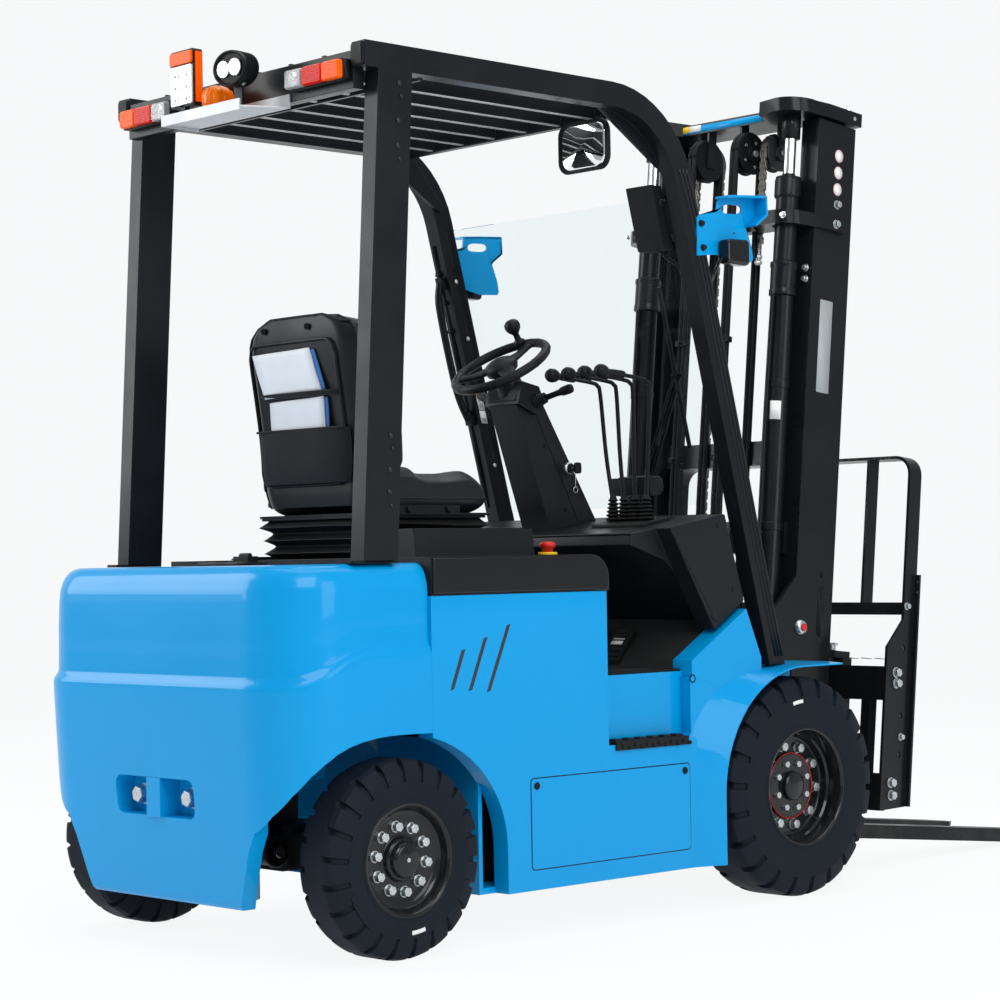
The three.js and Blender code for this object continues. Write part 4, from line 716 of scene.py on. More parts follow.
def build_wheel(side, label, where, radius, width, rim, lugs, depth):
    body = f"{where}_wheel_{label}"
    if where == "front":
        centre = Vector((side * (FRONT_LOW.x + FRONT_HIGH.x) / 2, AXLE_Y, AXLE_Z))
    else:
        centre = Vector((side * (REAR_LOW.x + REAR_HIGH.x) / 2, REAR_AXLE_Y, REAR_AXLE_Z))
    place = wheel_place(side, centre)

    rubber = tyre(radius, width, rim, lugs, depth)
    label_face = width / 2 - 0.9
    rubber.finish = 0
    for turn in (2.2, 5.3):
        label_on_side(rubber, (rim + radius) / 2 - 4, label_face, turn, 90, 26)
    made = rubber.piece(f"{where}_tyre_{label}", ["tyre_rubber"], body, "tyre_rubber", place, (body,))
    soften(made, 1.4, 2, 28)

    tag = Shape()
    reach = radius - 64
    turn = math.radians(188 if where == "rear" else 8)
    label_on_side(tag, reach, width / 2 - 0.2, turn * side, 40, 10)
    tag.piece(f"{where}_tyre_tag_{label}", ["white_label"], body, "tyre_rubber", place)

    dish = Shape()
    (front_rim if where == "front" else rear_rim)(dish)
    made = dish.piece(f"{where}_rim_{label}", ["rim_enamel"], body, "tyre_rubber", place)
    soften(made, 0.8, 2, 35)

    nuts = Shape()
    if where == "front":
        nut_ring(nuts, 107, 10, 16, 24, 0.2, 15)
        nut_ring(nuts, 62, 8, 30, 17, 0.35, 0, 0)
        nuts.finish = 1
        nuts.torus((29, 0, 0), (1, 0, 0), 87, 1.5, 72, 8)
        nuts.finish = 0
    else:
        nut_ring(nuts, 76, 10, 32, 22, 0.15, 14)
        nuts.bolt((62, 0, 0), (1, 0, 0), 10, 0, 3)
    made = nuts.piece(f"{where}_nuts_{label}", ["zinc_steel", "red_enamel"], body, "tyre_rubber", place)
    soften(made, 0.5, 1, 40)


# ---------------------------------------------------------------- counterweight


def smoothstep(x, low, high):
    t = min(max((x - low) / (high - low), 0.0), 1.0)
    return t * t * (3 - 2 * t)


BODY_HALF = 510
WEIGHT_REAR = -1723
WEIGHT_FRONT = -1290
DECK_Z = 905
KINGPIN_X = 399.5
REAR_AXLE = -1390


def weight_level(share):
    """(height, side inset, rear inset, rise of the crease) at a share of the way up."""
    table = [
        (125, 16, 44, 0), (133, 9, 37, 0), (158, 4, 32, 0), (240, 2.5, 24, 0), (320, 1.2, 17, 0), (400, 0, 11, 0),
        (520, 0, 4.5, 0.4), (600, 0, 0.8, 0.9), (628, 0, 0, 1), (638, 2.2, 2.4, 1), (648, 7, 8.6, 1),
        (656, 9, 11, 1), (700, 10, 12, 0.8), (760, 10, 12.6, 0.5), (820, 11, 15, 0.2), (850, 12.5, 18, 0.05),
        (872, 17, 24, 0), (886, 23, 31, 0), (896, 31, 39.5, 0), (902, 40, 48, 0), (905, 52, 60, 0),
    ]
    where = share * (len(table) - 1)
    k = min(int(where), len(table) - 2)
    t = where - k
    return tuple(a + (b - a) * t for a, b in zip(table[k], table[k + 1]))


def weight_skin(shape):
    """Cast rear body: round corners in plan, a crease that rises towards the sides, a soft top edge."""
    rings = []
    radius = 160
    levels = 60
    for k in range(levels + 1):
        z, side_in, rear_in, crease = weight_level(k / levels)
        half, back = BODY_HALF - side_in, WEIGHT_REAR + rear_in
        corner = max(radius - side_in * 0.4, 60)
        right = arc(half - corner, back + corner, corner, 0, -90, 18)
        flank = [(half, WEIGHT_FRONT + (back + corner - WEIGHT_FRONT) * i / 12) for i in range(12)]
        rear = [(half - corner - (2 * (half - corner)) * i / 24, back) for i in range(1, 24)]
        run = flank + right
        outline = run + rear + [(-x, y) for x, y in run[::-1]]
        ring = []
        for x, y in outline:
            rise = 68 * crease * smoothstep(y, WEIGHT_REAR + 40, WEIGHT_REAR + 260)
            ring.append((x, y, z + rise))
        rings.append(ring)
    shape.rings(rings)


def cutter(name, make):
    shape = Shape()
    make(shape)
    bmesh.ops.recalc_face_normals(shape.bm, faces=shape.bm.faces)
    mesh = bpy.data.meshes.new(name)
    shape.bm.to_mesh(mesh)
    shape.bm.free()
    mesh.transform(BODY_FRAME)
    made = bpy.data.objects.new(name, mesh)
    bpy.context.scene.collection.objects.link(made)
    return made


def arch_swept(side):
    """Room for the steered rear tyre: its sweep about the kingpin, open ahead and at the rear corner."""
    def sweep(shape):
        shape.rod((side * KINGPIN_X, REAR_AXLE, 95), (side * KINGPIN_X, REAR_AXLE, 640), 276, 64)

    def ahead(shape):
        shape.block(sorted((side * 112, side * 600)), (REAR_AXLE, WEIGHT_FRONT + 70), (95, 640))

    def corner(shape):
        outline = [(282, 95), (344, 259), (370, 304), (384, 640), (600, 640), (600, 95)]
        shape.prism([(side * x, z) for x, z in outline], WEIGHT_REAR - 60, REAR_AXLE + 1, "Y")

    def opening(shape):
        top = REAR_AXLE + 5
        curve = [(-1760, 236), (-1743, 270), (-1722, 290), (-1705, 302), (-1691, 346), (-1666, 391), (-1633, 434),
                 (-1603, 460), (-1573, 480), (-1538, 494), (-1502, 503), (-1457, 510), (-1410, 513), (top + 40, 513),
                 (WEIGHT_FRONT + 60, 510), (WEIGHT_FRONT + 60, 80), (-1775, 80)]
        shape.prism(curve, *sorted((side * 100, side * 580)), "X")

    return [cutter(f"cut_{part.__name__}", part) for part in (sweep, ahead, corner, opening)]


def apply_cut(target, tool, operation):
    modifier = target.modifiers.new("Cut", "BOOLEAN")
    modifier.operation = operation
    modifier.solver = "EXACT"
    modifier.object = tool
    evaluated = target.evaluated_get(bpy.context.evaluated_depsgraph_get())
    mesh = bpy.data.meshes.new_from_object(evaluated)
    target.modifiers.clear()
    old = target.data
    target.data = mesh
    bpy.data.meshes.remove(old)


def drop(*objects):
    for thing in objects:
        mesh = thing.data
        bpy.data.objects.remove(thing)
        bpy.data.meshes.remove(mesh)


def build_counterweight():
    shape = Shape()
    weight_skin(shape)
    made = shape.piece("counterweight_casting", ["blue_enamel", "axle_enamel"], "chassis", "body_paint",
                       replaces=("counterweight",))
    for side, _ in SIDES:
        sweep, ahead, corner, opening = arch_swept(side)
        apply_cut(sweep, ahead, "UNION")
        apply_cut(sweep, corner, "UNION")
        apply_cut(opening, sweep, "INTERSECT")
        apply_cut(made, opening, "DIFFERENCE")
        drop(sweep, ahead, corner, opening)

    def recess(shape):
        outline = rounded(-152, 152, 325, 412, 22, 6)
        shape.rings([
            [(x * 1.02, WEIGHT_REAR - 30, 368 + (z - 368) * 1.06) for x, z in outline],
            [(x * 1.02, WEIGHT_REAR + 14, 368 + (z - 368) * 1.06) for x, z in outline],
            [(x, WEIGHT_REAR + 24, z) for x, z in outline],
            [(x * 0.99, WEIGHT_REAR + 62, z) for x, z in outline],
        ])

    def tunnel(shape):
        shape.block((-260, 260), (REAR_AXLE - 140, WEIGHT_FRONT + 30), (100, 385))

    for make in (recess, tunnel):
        tool = cutter("cut_tool", make)
        apply_cut(made, tool, "DIFFERENCE")
        drop(tool)
    for polygon in made.data.polygons:
        polygon.use_smooth = True
    soften(made, 2.2, 2, 38)
    return made


# ---------------------------------------------------------------- body details

CAD_FINISHES = {
    "blue_enamel": ("frame",),
    "guard_enamel": ("overhead_guard",),
    "mast_enamel": ("outer_mast", "inner_mast", "lift_cylinder_left", "lift_cylinder_right", "tilt_cylinder_left",
                    "tilt_cylinder_right", "carriage", "side_shifter", "load_backrest"),
    "fork_enamel": ("fork_left", "fork_right"),
    "axle_enamel": ("drive_axle", "steer_axle", "knuckle_left", "knuckle_right", "battery"),
    "hood_plastic": ("hood",),
    "cowl_plastic": ("cowl", "steering_column"),
    "mat_rubber": ("floor_mat",),
    "boot_rubber": ("step_left", "step_right"),
    "grip_plastic": ("pedals", "wiper", "grab_handle", "display"),
    "rod_chrome": ("lift_rod_left", "lift_rod_right", "tilt_rod_left", "tilt_rod_right"),
    "screen_glass": ("windscreen",),
    "tray_metal": ("lamp_tray",),
}
EDGE_WIDTH = {
    "frame": 2.0, "overhead_guard": 4.0, "outer_mast": 1.8, "inner_mast": 1.8, "hood": 9.0, "cowl": 13.0,
    "steering_column": 12.0, "fork_left": 3.0, "fork_right": 3.0, "load_backrest": 1.2, "carriage": 2.0,
    "side_shifter": 2.5, "floor_mat": 1.0, "steer_axle": 4.0, "drive_axle": 4.0, "display": 5.0,
}


def finish_cad_nodes():
    for finish, names in CAD_FINISHES.items():
        for name in names:
            node = frame["nodes"][name]
            node.data.materials.clear()
            node.data.materials.append(material(finish))
            node.data.shade_smooth()
            if name != "windscreen":
                soften(node, EDGE_WIDTH.get(name, 1.2), 3 if name in ("hood", "steering_column") else 2, 30, weld=True)


def build_body_details():
    """Panel lines, stripes, screws, tow bolts, latch plate, step lugs and mat ribs."""
    ink = Shape()
    for side, _ in SIDES:
        face = side * (BODY_HALF + 0.15)
        for top, foot in (((-1190, 702), (-1229, 606)), ((-1119, 728), (-1172, 602)), ((-1044, 756), (-1114, 597))):
            a, b = Vector(top), Vector(foot)
            along = (b - a).normalized()
            across = Vector((-along.y, along.x)) * 5.0
            outline = [a + across - along * 2, a - across + along * 6, b - across + along * 2, b + across - along * 6]
            ink.prism([(p.x, p.y) for p in outline], *sorted((side * (BODY_HALF - 0.5), face + side * 0.5)), "X")
    soften(ink.piece("side_stripes", ["stripe_ink"], "chassis", "body_paint"), 0.2, 1)

    for side, label in SIDES:
        panel = Shape()
        outline = rounded(-980, -422, 165, 382, 9, 4)
        face = side * BODY_HALF
        panel.rings([
            [(face - side * 0.3, y, z) for y, z in outline],
            [(face + side * 1.2, y, z) for y, z in outline],
            [(face + side * 2.0, -701 + (y + 701) * 0.997, 273.5 + (z - 273.5) * 0.993) for y, z in outline],
        ])
        soften(panel.piece(f"access_panel_{label}", ["blue_enamel"], "chassis", "body_paint"), 0.4, 1)
        web = Shape()
        web.prism([(-402, 454), (-402, 600), (-300, 600), (-240, 560), (-262, 522), (-300, 472), (-312, 454)],
                  *sorted((side * 450, side * 499.7)), "X")
        soften(web.piece(f"kick_web_{label}", ["blue_enamel"], "chassis", "body_paint"), 1.0)
        line = Shape()
        line.finish = 0
        wide = rounded(-982.5, -419.5, 162.5, 384.5, 11, 4)
        line.rings([[(face - side * 0.3, y, z) for y, z in wide], [(face + side * 0.25, y, z) for y, z in wide]])
        line.finish = 1
        for y, z in ((-963, 365), (-441, 365)):
            line.turned([(0, 9), (2.4, 9), (4.4, 7.5), (5.2, 5), (3.6, 3.6), (3.6, 0.5)], (face + side * 1.6, y, z),
                        (side, 0, 0), 20)
        line.turned([(-3, 10), (0.4, 11), (0.9, 10), (0.4, 8), (-6, 7.5)], (side * 500.3, -393, 596), (side, 0, 0), 24)
        line.piece(f"panel_trim_{label}", ["axle_enamel", "grip_plastic"], "chassis", "body_paint")

    tow = Shape()
    for x in (-98, 98):
        tow.turned([(0, 27), (5, 27), (6, 25), (6, 2)], (x, WEIGHT_REAR + 62, 368), (0, -1, 0), 32)
        tow.bolt((x, WEIGHT_REAR + 57, 368), (0, -1, 0), 38, 26, 24)
    tow.finish = 1
    tow.prism([(-32, WEIGHT_REAR + 63), (32, WEIGHT_REAR + 63), (27, WEIGHT_REAR + 9), (-27, WEIGHT_REAR + 9)],
              322, 414, "Z")
    soften(tow.piece("tow_bolts", ["zinc_steel", "blue_enamel"], "chassis", "body_paint"), 0.8, 2)

    latch = Shape()
    latch.rings([
        [(x, y, DECK_Z - 1) for x, y in rounded(-150, 40, -1480, -1392, 14, 4)],
        [(x, y, DECK_Z + 5) for x, y in rounded(-150, 40, -1480, -1392, 14, 4)],
        [(x, y, DECK_Z + 9) for x, y in rounded(-142, 32, -1472, -1400, 10, 4)],
    ])
    latch.block((-40, 20), (-1440, -1410), (DECK_Z + 8, DECK_Z + 22))
    latch.rod((-30, -1425, DECK_Z + 24), (10, -1425, DECK_Z + 24), 6, 14, 1)
    soften(latch.piece("deck_latch", ["grip_plastic"], "chassis", "hood_plastic"), 1.5)

    for side, label in SIDES:
        lugs = Shape()
        for i in range(6):
            y = -668 + i * 44
            lugs.rings([
                [(side * (490 + (x - 490)), yy, 453.2) for x, yy in rounded(474, 507, y - 14, y + 14, 6, 3)],
                [(side * (490 + (x - 490) * 0.84), yy, 458.5) for x, yy in rounded(474, 507, y - 12, y + 12, 6, 3)],
            ])
            lugs.turned([(0, 5.5), (4, 4.5), (5, 2.5)], (side * 516, y, 442), (side, 0, 0), 12)
            lugs.turned([(0, 5.5), (4, 4.5), (5, 2.5)], (side * 516, y + 23, 436), (side, 0, 0), 12)
        soften(lugs.piece(f"step_lugs_{label}", ["boot_rubber"], "chassis", "step_plastic"), 0.7, 1)

    ribs = Shape()
    for i in range(38):
        x = -444 + i * 24
        ribs.rings([
            [(x + u, v, 621.2) for u, v in ((-6, -700), (6, -700), (6, -408), (-6, -408))],
            [(x + u, v, 624.5) for u, v in ((-3.5, -697), (3.5, -697), (3.5, -411), (-3.5, -411))],
        ])
    ribs.prism([(-402, 616), (-350, 616), (-263, 712), (-263, 742), (-268, 742), (-271, 716), (-354, 624), (-402, 624)],
               -431, 431, "X")
    ribs.piece("mat_ribs", ["mat_rubber"], "chassis", "mat_rubber")


def build_hood_details():
    """Side mouldings with a rounded nose, vents behind the seat, tray lining and the emergency button."""
    for side, label in SIDES:
        trim = Shape()
        face = BODY_HALF + 0.2
        outline = ([(-1284, 832), (-1284, 914)] + arc(-760, 860, 54, 90, 12, 8)
                   + arc(-724, 846, 18, 8, -82, 5) + [(-760, 832)])
        middle = Vector((-1000, 872))
        rings = []
        for out, shrink in ((0, 1.0), (4.5, 1.0), (6.5, 0.965)):
            rings.append([
                (side * (face + out - 0.6), middle.x + (y - middle.x) * (0.5 + shrink / 2),
                 middle.y + (z - middle.y) * shrink) for y, z in outline])
        trim.rings(rings)
        soften(trim.piece(f"hood_moulding_{label}", ["gloss_moulding"], "hood", "hood_plastic"), 1.2)

    vents = Shape()
    for i in range(9):
        y = -1150 + i * 24
        vents.rings([
            [(x, v, 919) for x, v in rounded(-430, -300, y - 6, y + 6, 5, 3)],
            [(x, v, 923) for x, v in rounded(-428, -302, y - 4, y + 4, 3.5, 3)],
        ])
    vents.block((-262, -250), (-1255, -760), (917, 926))
    vents.block((250, 262), (-1255, -760), (917, 926))
    soften(vents.piece("hood_ribs", ["hood_plastic"], "hood", "hood_plastic"), 1.0, 1)

    tray = Shape()
    edge = rounded(278, 430, -1262, -902, 16, 4)
    inner = rounded(288, 420, -1252, -912, 12, 4)
    tray.rings([
        [(x, y, 978) for x, y in edge], [(x, y, 985) for x, y in edge], [(x, y, 985) for x, y in inner],
        [(x, y, 982.4) for x, y in inner],
    ])
    tray.block((300, 306), (-1240, -924), (982, 985))
    soften(tray.piece("tray_lid", ["hood_plastic"], "hood", "hood_plastic"), 1.2)

    button = Shape()
    button.finish = 1
    button.turned([(0, 24), (6, 24), (8, 22)], (395, -800, 917), (0, 0, 1), 28)
    button.finish = 0
    button.turned([(8, 13), (16, 13), (18, 19), (27, 20), (32, 17), (34, 9), (34.4, 1)], (395, -800, 917), (0, 0, 1),
        28)
    button.piece("emergency_button", ["red_plastic", "yellow_label"], "hood", "hood_plastic")


# ---------------------------------------------------------------- seat


def cloth_swell(piece, voxel, pressure, cap, frames=20):
    """Remeshes a pad and lets air pressure crown it, moving no point further than the cap."""
    remesh = piece.modifiers.new("Remesh", "REMESH")
    remesh.mode = "VOXEL"
    remesh.voxel_size = voxel * MM
    bake(piece)
    start = [v.co.copy() for v in piece.data.vertices]
    modifier = piece.modifiers.new("Cloth", "CLOTH")
    cloth = modifier.settings
    cloth.quality = 4
    cloth.mass = 0.3
    cloth.tension_stiffness = cloth.compression_stiffness = 18
    cloth.shear_stiffness = 8
    cloth.bending_stiffness = 3
    cloth.use_pressure = True
    cloth.uniform_pressure_force = pressure
    cloth.effector_weights.gravity = 0
    scene = bpy.context.scene
    for number in range(1, frames + 1):
        scene.frame_set(number)
    bake(piece)
    scene.frame_set(1)
    for vertex, origin in zip(piece.data.vertices, start):
        moved = vertex.co - origin
        if moved.length > cap * MM:
            vertex.co = origin + moved.normalized() * cap * MM


def bake(piece):
    """Makes the modifiers' result the piece's own mesh."""
    evaluated = piece.evaluated_get(bpy.context.evaluated_depsgraph_get())
    mesh = bpy.data.meshes.new_from_object(evaluated)
    piece.modifiers.clear()
    old = piece.data
    piece.data = mesh
    bpy.data.meshes.remove(old)


def relax(piece, factor, repeat):
    smooth = piece.modifiers.new("Smooth", "SMOOTH")
    smooth.factor = factor
    smooth.iterations = repeat
    bake(piece)


def shade_smooth(piece):
    for polygon in piece.data.polygons:
        polygon.use_smooth = True


def press_line(piece, points, width, depth):
    """Pulls the surface in along a seam; points are in millimetres in the vehicle's frame."""
    line = [BODY_FRAME @ p for p in smooth_curve(points, 12)]
    piece.data.update()
    normals = [v.normal.copy() for v in piece.data.vertices]
    low = Vector([min(p[i] for p in line) - width * MM * 2.5 for i in range(3)])
    high = Vector([max(p[i] for p in line) + width * MM * 2.5 for i in range(3)])
    for vertex, normal in zip(piece.data.vertices, normals):
        if any(vertex.co[i] < low[i] or vertex.co[i] > high[i] for i in range(3)):
            continue
        near = min((vertex.co - p).length for p in line)
        pull = depth * MM * math.exp(-((near / (width * MM)) ** 2))
        vertex.co -= normal * pull


def seam_cord(name, points, piece, radius=1.5, lift=0.4):
    """Piped seam that follows the padded surface."""
    graph = bpy.context.evaluated_depsgraph_get()
    surface = BVHTree.FromObject(piece, graph)
    line = []
    for point in smooth_curve(points, 10):
        near, normal, _, _ = surface.find_nearest(BODY_FRAME @ point)
        line.append(BODY_FRAME.inverted() @ (near + normal * lift * MM))
    shape = Shape()
    shape.path(line, radius, 8)
    return shape.piece(name, ["seam_thread"], "hood", "seat_vinyl")


SEAT_FLOOR = 1022
SEAT_REAR = -1225


def superellipse(half_u, low, high, power, count=64):
    """Closed outline across u with v from low to high; a higher power is squarer."""
    middle, half_v = (low + high) / 2, (high - low) / 2
    points = []
    for i in range(count):
        t = 2 * math.pi * i / count
        c, s = math.cos(t), math.sin(t)
        points.append((
            half_u * math.copysign(abs(c) ** (2 / power), c),
            middle + half_v * math.copysign(abs(s) ** (2 / power), s)))
    return points


def build_seat_cushion():
    shape = Shape()
    rings = []
    stations = 26
    back, nose = SEAT_REAR + 36, -826
    for k in range(stations + 1):
        t = k / stations
        y = back + (nose - back) * t
        ends = min(t, 1 - t) * stations / 3
        shrink = math.sqrt(1 - (1 - min(ends, 1.0)) ** 2) if ends < 1 else 1.0
        half = 236 - 10 * (1 - shrink) - 10 * smoothstep(t, 0.75, 1.0)
        low = SEAT_FLOOR + 8 + 26 * (1 - shrink)
        high = 1106 - 22 * (1 - shrink) + 8 * smoothstep(t, 0.55, 0.8) - 18 * smoothstep(t, 0.86, 1.0)
        ring = []
        for x, z in superellipse(half, low, high, 4.2):
            if z > (low + high) / 2:
                z += (18 + 16 * (1 - smoothstep(t, 0.25, 0.42))) * smoothstep(abs(x), 120, 190) * shrink - 3
            ring.append((x, y, z))
        rings.append(ring)
    shape.rings(rings)
    made = shape.piece("seat_cushion_cover", ["seat_vinyl"], "hood", "seat_vinyl", replaces=("seat_cushion",))
    cloth_swell(made, 7, 4.0, 9)
    relax(made, 0.5, 3)
    for side, _ in SIDES:
        press_line(made, [(side * 138, -1180, 1115), (side * 134, -1050, 1115), (side * 138, -920, 1120),
                          (side * 146, -846, 1112)], 6, 6)
    for y in (-1010, -910):
        press_line(made, [(-134, y, 1112), (0, y + 4, 1112), (134, y, 1112)], 6, 5)
    sub = made.modifiers.new("Subdivision", "SUBSURF")
    sub.levels = sub.render_levels = 1
    shade_smooth(made)
    rim = 232
    front = [(-rim, -1170, 1062), (-rim - 6, -1000, 1062), (-rim, -850, 1062), (-190, -815, 1062), (0, -812, 1062),
             (190, -815, 1062), (rim, -850, 1062), (rim + 6, -1000, 1062), (rim, -1170, 1062)]
    seam_cord("seat_cushion_piping", front, made, 2.4, 0.6)


def back_shift(z):
    """How far the backrest leans to the rear at a height."""
    return -smoothstep(z, 1120, 1560) * 46


def build_seat_back():
    shape = Shape()
    rings = []
    levels = 30
    low, high = 1040, 1517
    for k in range(levels + 1):
        t = k / levels
        z = low + (high - low) * t
        foot = smoothstep(z, 1118, 1140)
        top = min(max(0.0, (z - 1425) / (high - 1425)), 0.96)
        half = (222 + 14 * foot) * (1 - top ** 3) ** 0.33
        shut = smoothstep(t, 0, 0.06) * (1 - smoothstep(t, 0.96, 1.0) * 0.5)
        rear = SEAT_REAR + 22 + back_shift(z)
        front = rear + 8 + (20 + 62 * foot * (1 - 0.35 * top ** 2)) * (0.5 + 0.5 * shut)
        ring = []
        for x, y in superellipse(half, rear, front, 3.4):
            if y > (rear + front) / 2 and foot > 0.3:
                y += 20 * smoothstep(abs(x) / half, 0.55, 0.82) * foot * (1 - top)
            ring.append((x, y, z))
        rings.append(ring)
    shape.rings(rings)
    made = shape.piece("seat_back_cover", ["seat_vinyl"], "hood", "seat_vinyl", replaces=("seat_back",))
    cloth_swell(made, 7, 4.0, 8)
    relax(made, 0.5, 3)
    for side, _ in SIDES:
        press_line(made, [(side * 128, -1118, 1150), (side * 130, -1128, 1280), (side * 122, -1148, 1400),
                          (side * 104, -1168, 1480)], 6, 6)
    for z in (1225, 1320, 1410):
        press_line(made, [(-126, -1110 + back_shift(z), z), (0, -1114 + back_shift(z), z),
                          (126, -1110 + back_shift(z), z)], 6, 4.5)
    sub = made.modifiers.new("Subdivision", "SUBSURF")
    sub.levels = sub.render_levels = 1
    shade_smooth(made)

    shell = Shape()
    rings = []
    for k in range(25):
        z = 1046 + (1512 - 1046) * k / 24
        top = max(0.0, (z - 1420) / (1520 - 1420))
        half = 214 * (1 - top ** 3) ** 0.33
        half = min(half, 196 + 18 * smoothstep(z, 1046, 1110))
        rear = SEAT_REAR - 4 + back_shift(z) + 6 * (1 - smoothstep(z, 1046, 1070)) + 10 * top ** 3
        ring = []
        for x, y in superellipse(half, rear, rear + 46, 3.4, 72):
            if y < rear + 23:
                y += 16 * smoothstep(abs(x) / half, 0.7, 1.0) ** 2 - 2.5 * smoothstep(abs(x) / half, 0.62, 0.74)
            ring.append((x, y, z))
        rings.append(ring)
    shell.rings(rings)
    made = shell.piece("seat_back_shell", ["cowl_plastic"], "hood", "seat_vinyl")
    soften(made, 3, 2, 40)
    seam_cord("seat_back_piping", [
        (-212, SEAT_REAR + 6, 1090), (-224, SEAT_REAR, 1200), (-222, SEAT_REAR - 14, 1330),
        (-218, SEAT_REAR - 28, 1440),
        (-200, SEAT_REAR - 36, 1484), (-158, SEAT_REAR - 41, 1510), (0, SEAT_REAR - 44, 1522),
        (158, SEAT_REAR - 41, 1510), (200, SEAT_REAR - 36, 1484), (218, SEAT_REAR - 28, 1440),
        (222, SEAT_REAR - 14, 1330), (224, SEAT_REAR, 1200), (212, SEAT_REAR + 6, 1090),
    ], made, 3.0, 1.0)

    def behind(x, z, out):
        """A point that far behind the shell."""
        return (x, SEAT_REAR - 7 + back_shift(z) - out, z)

    holes = Shape()
    for x in (-122, 50):
        centre = behind(x, 1486, -3)
        holes.turned([(-4, 7.5), (2.5, 8.5), (3.2, 7.5), (2.4, 6), (-2, 5.5), (-2, 0.5)], centre, (0, -1, -0.1), 18)
    holes.piece("shell_plugs", ["grip_plastic"], "hood", "seat_vinyl")

    frame = Shape()
    edge = [(x, z) for x, z in resampled(rounded(-190, 150, 1100, 1452, 34, 6), 60)]
    frame.path([behind(x, z, 1 - 6 * smoothstep(abs(x), 150, 200)) for x, z in edge + edge[:1]], 3.4, 8)
    frame.piece("shell_edge", ["cowl_plastic"], "hood", "seat_vinyl")
    pocket = Shape()
    foot, top = 1104, 1234
    rings = []
    for k in range(11):
        t = k / 10
        z = foot + (top - foot) * t
        bulge = 16 + 12 * math.sin(math.pi * min(t * 0.75 + 0.1, 1))
        half = 172 - 10 * (1 - t) ** 3
        outline = [behind(x, z, 0.5) for x in (half, half * 0.5, 0, -half * 0.5, -half)]
        outline += [behind(x, z, bulge * (1 - (abs(x) / half) ** 6 * 0.6) + 2) for x in
                    (-half, -half * 0.94, -half * 0.8, -half * 0.4, 0, half * 0.4, half * 0.8, half * 0.94, half)]
        rings.append(outline)
    pocket.rings(rings)
    hem = [behind(x, 1236, 20) for x in (-171, -152, -76, 0, 76, 152, 171)]
    pocket.path(smooth_curve(hem, 5), 3.2, 8)
    made = pocket.piece("seat_pocket", ["pocket_cloth"], "hood", "seat_vinyl")
    soften(made, 2.0, 2, 40)
    strap = Shape()
    for z, half in ((1322, 150), (1228, 170)):
        line = smooth_curve([behind(x, z, 12 - 9 * (abs(x) / half) ** 4) for x in
                             (-half, -half * 0.8, -half * 0.4, 0, half * 0.4, half * 0.8, half)], 5)
        strap.path(line, 2.0, 10, flat=9.0)
    strap.piece("seat_pocket_strap", ["pocket_cloth"], "hood", "seat_vinyl")
    for name, finish, x0, x1, z0, z1, lean, out in (
            ("booklet_upper", "paper", -134, 92, 1318, 1428, -34, 7),
            ("booklet_lower", "paper", -122, 90, 1224, 1308, 2, 9),
            ("booklet_cover", "paper_blue", -126, 103, 1322, 1424, -32, 4),
            ("booklet_edge", "paper_blue", -40, 100, 1226, 1306, 2, 6)):
        sheet = Shape()
        rings = []
        for k in range(9):
            t = k / 8
            z = z0 + (z1 - z0) * t
            sway = lean * t
            wave = 2.5 * math.sin(3 * t + (1 if finish == "paper" else 2))
            front = [behind(x0 + sway + (x1 - x0) * i / 8, z + 6 * i / 8, out + wave + 2 * math.sin(i * 0.8))
                for i in range(9)]
            rear_row = [behind(x0 + sway + (x1 - x0) * i / 8, z + 6 * i / 8, out - 3 + wave + 2 * math.sin(i * 0.8))
                        for i in range(9)][::-1]
            rings.append(front + rear_row)
        sheet.rings(rings)
        sheet.piece(name, [finish], "hood", "seat_vinyl")


def build_seat_base():
    """Suspension bellows with three folds, under a pressed steel pan."""
    shape = Shape()
    rings = []
    levels = 60
    low, high = 918.5, 1016
    for k in range(levels + 1):
        t = k / levels
        z = low + (high - low) * t
        fold = 1 - abs(2 * ((t * 3) % 1) - 1)
        out = 30 * fold ** 1.3 - 6
        middle = SEAT_REAR + 200
        half = 190 + out + 12 * smoothstep(t, 0.4, 1.0)
        run = 188 + out + 10 * smoothstep(t, 0.4, 1.0)
        corner = 26 + out
        line = resampled(rounded(-half, half, middle - run, middle + run, corner, 6), 96)
        rings.append([(x, y, z + fold * 3.2 * math.sin(x / 62 + 0.6) * math.cos(y / 71) - fold * 2) for x, y in line])
    shape.rings(rings)
    made = shape.piece("seat_bellows", ["boot_rubber"], "hood", "bellows_rubber", replaces=("seat_base",))
    shade_smooth(made)
    pan = Shape()
    for z0, z1, grow in ((1015, 1021, 0), (1021, 1027, 8)):
        outline = rounded(-214 - grow, 214 + grow, SEAT_REAR - 6, SEAT_REAR + 402 + grow, 30, 5)
        pan.rings([[(x, y, z) for x, y in outline] for z in (z0, z1)])
    pan.rod((-232, SEAT_REAR + 330, 1030), (-232, SEAT_REAR + 395, 1030), 6, 12, 1)
    for side in (-1, 1):
        pan.bolt((side * 222, SEAT_REAR + 120, 1036), (side, 0, 0), 16, 11, 8)
        pan.bolt((side * 222, SEAT_REAR + 250, 1036), (side, 0, 0), 16, 11, 8)
        pan.block(sorted((side * 206, side * 224)), (SEAT_REAR + 90, SEAT_REAR + 290), (1022, 1046))
    soften(pan.piece("seat_pan", ["axle_enamel"], "hood", "bellows_rubber"), 1.5)


# ---------------------------------------------------------------- driver's controls

COLUMN_LEAN = math.radians(31)
STEER_FRAME = (
    Matrix.Translation(at(0, -577, 1420)) @ Matrix.Rotation(COLUMN_LEAN, 4, "X") @ Matrix.Scale(MM, 4)
)


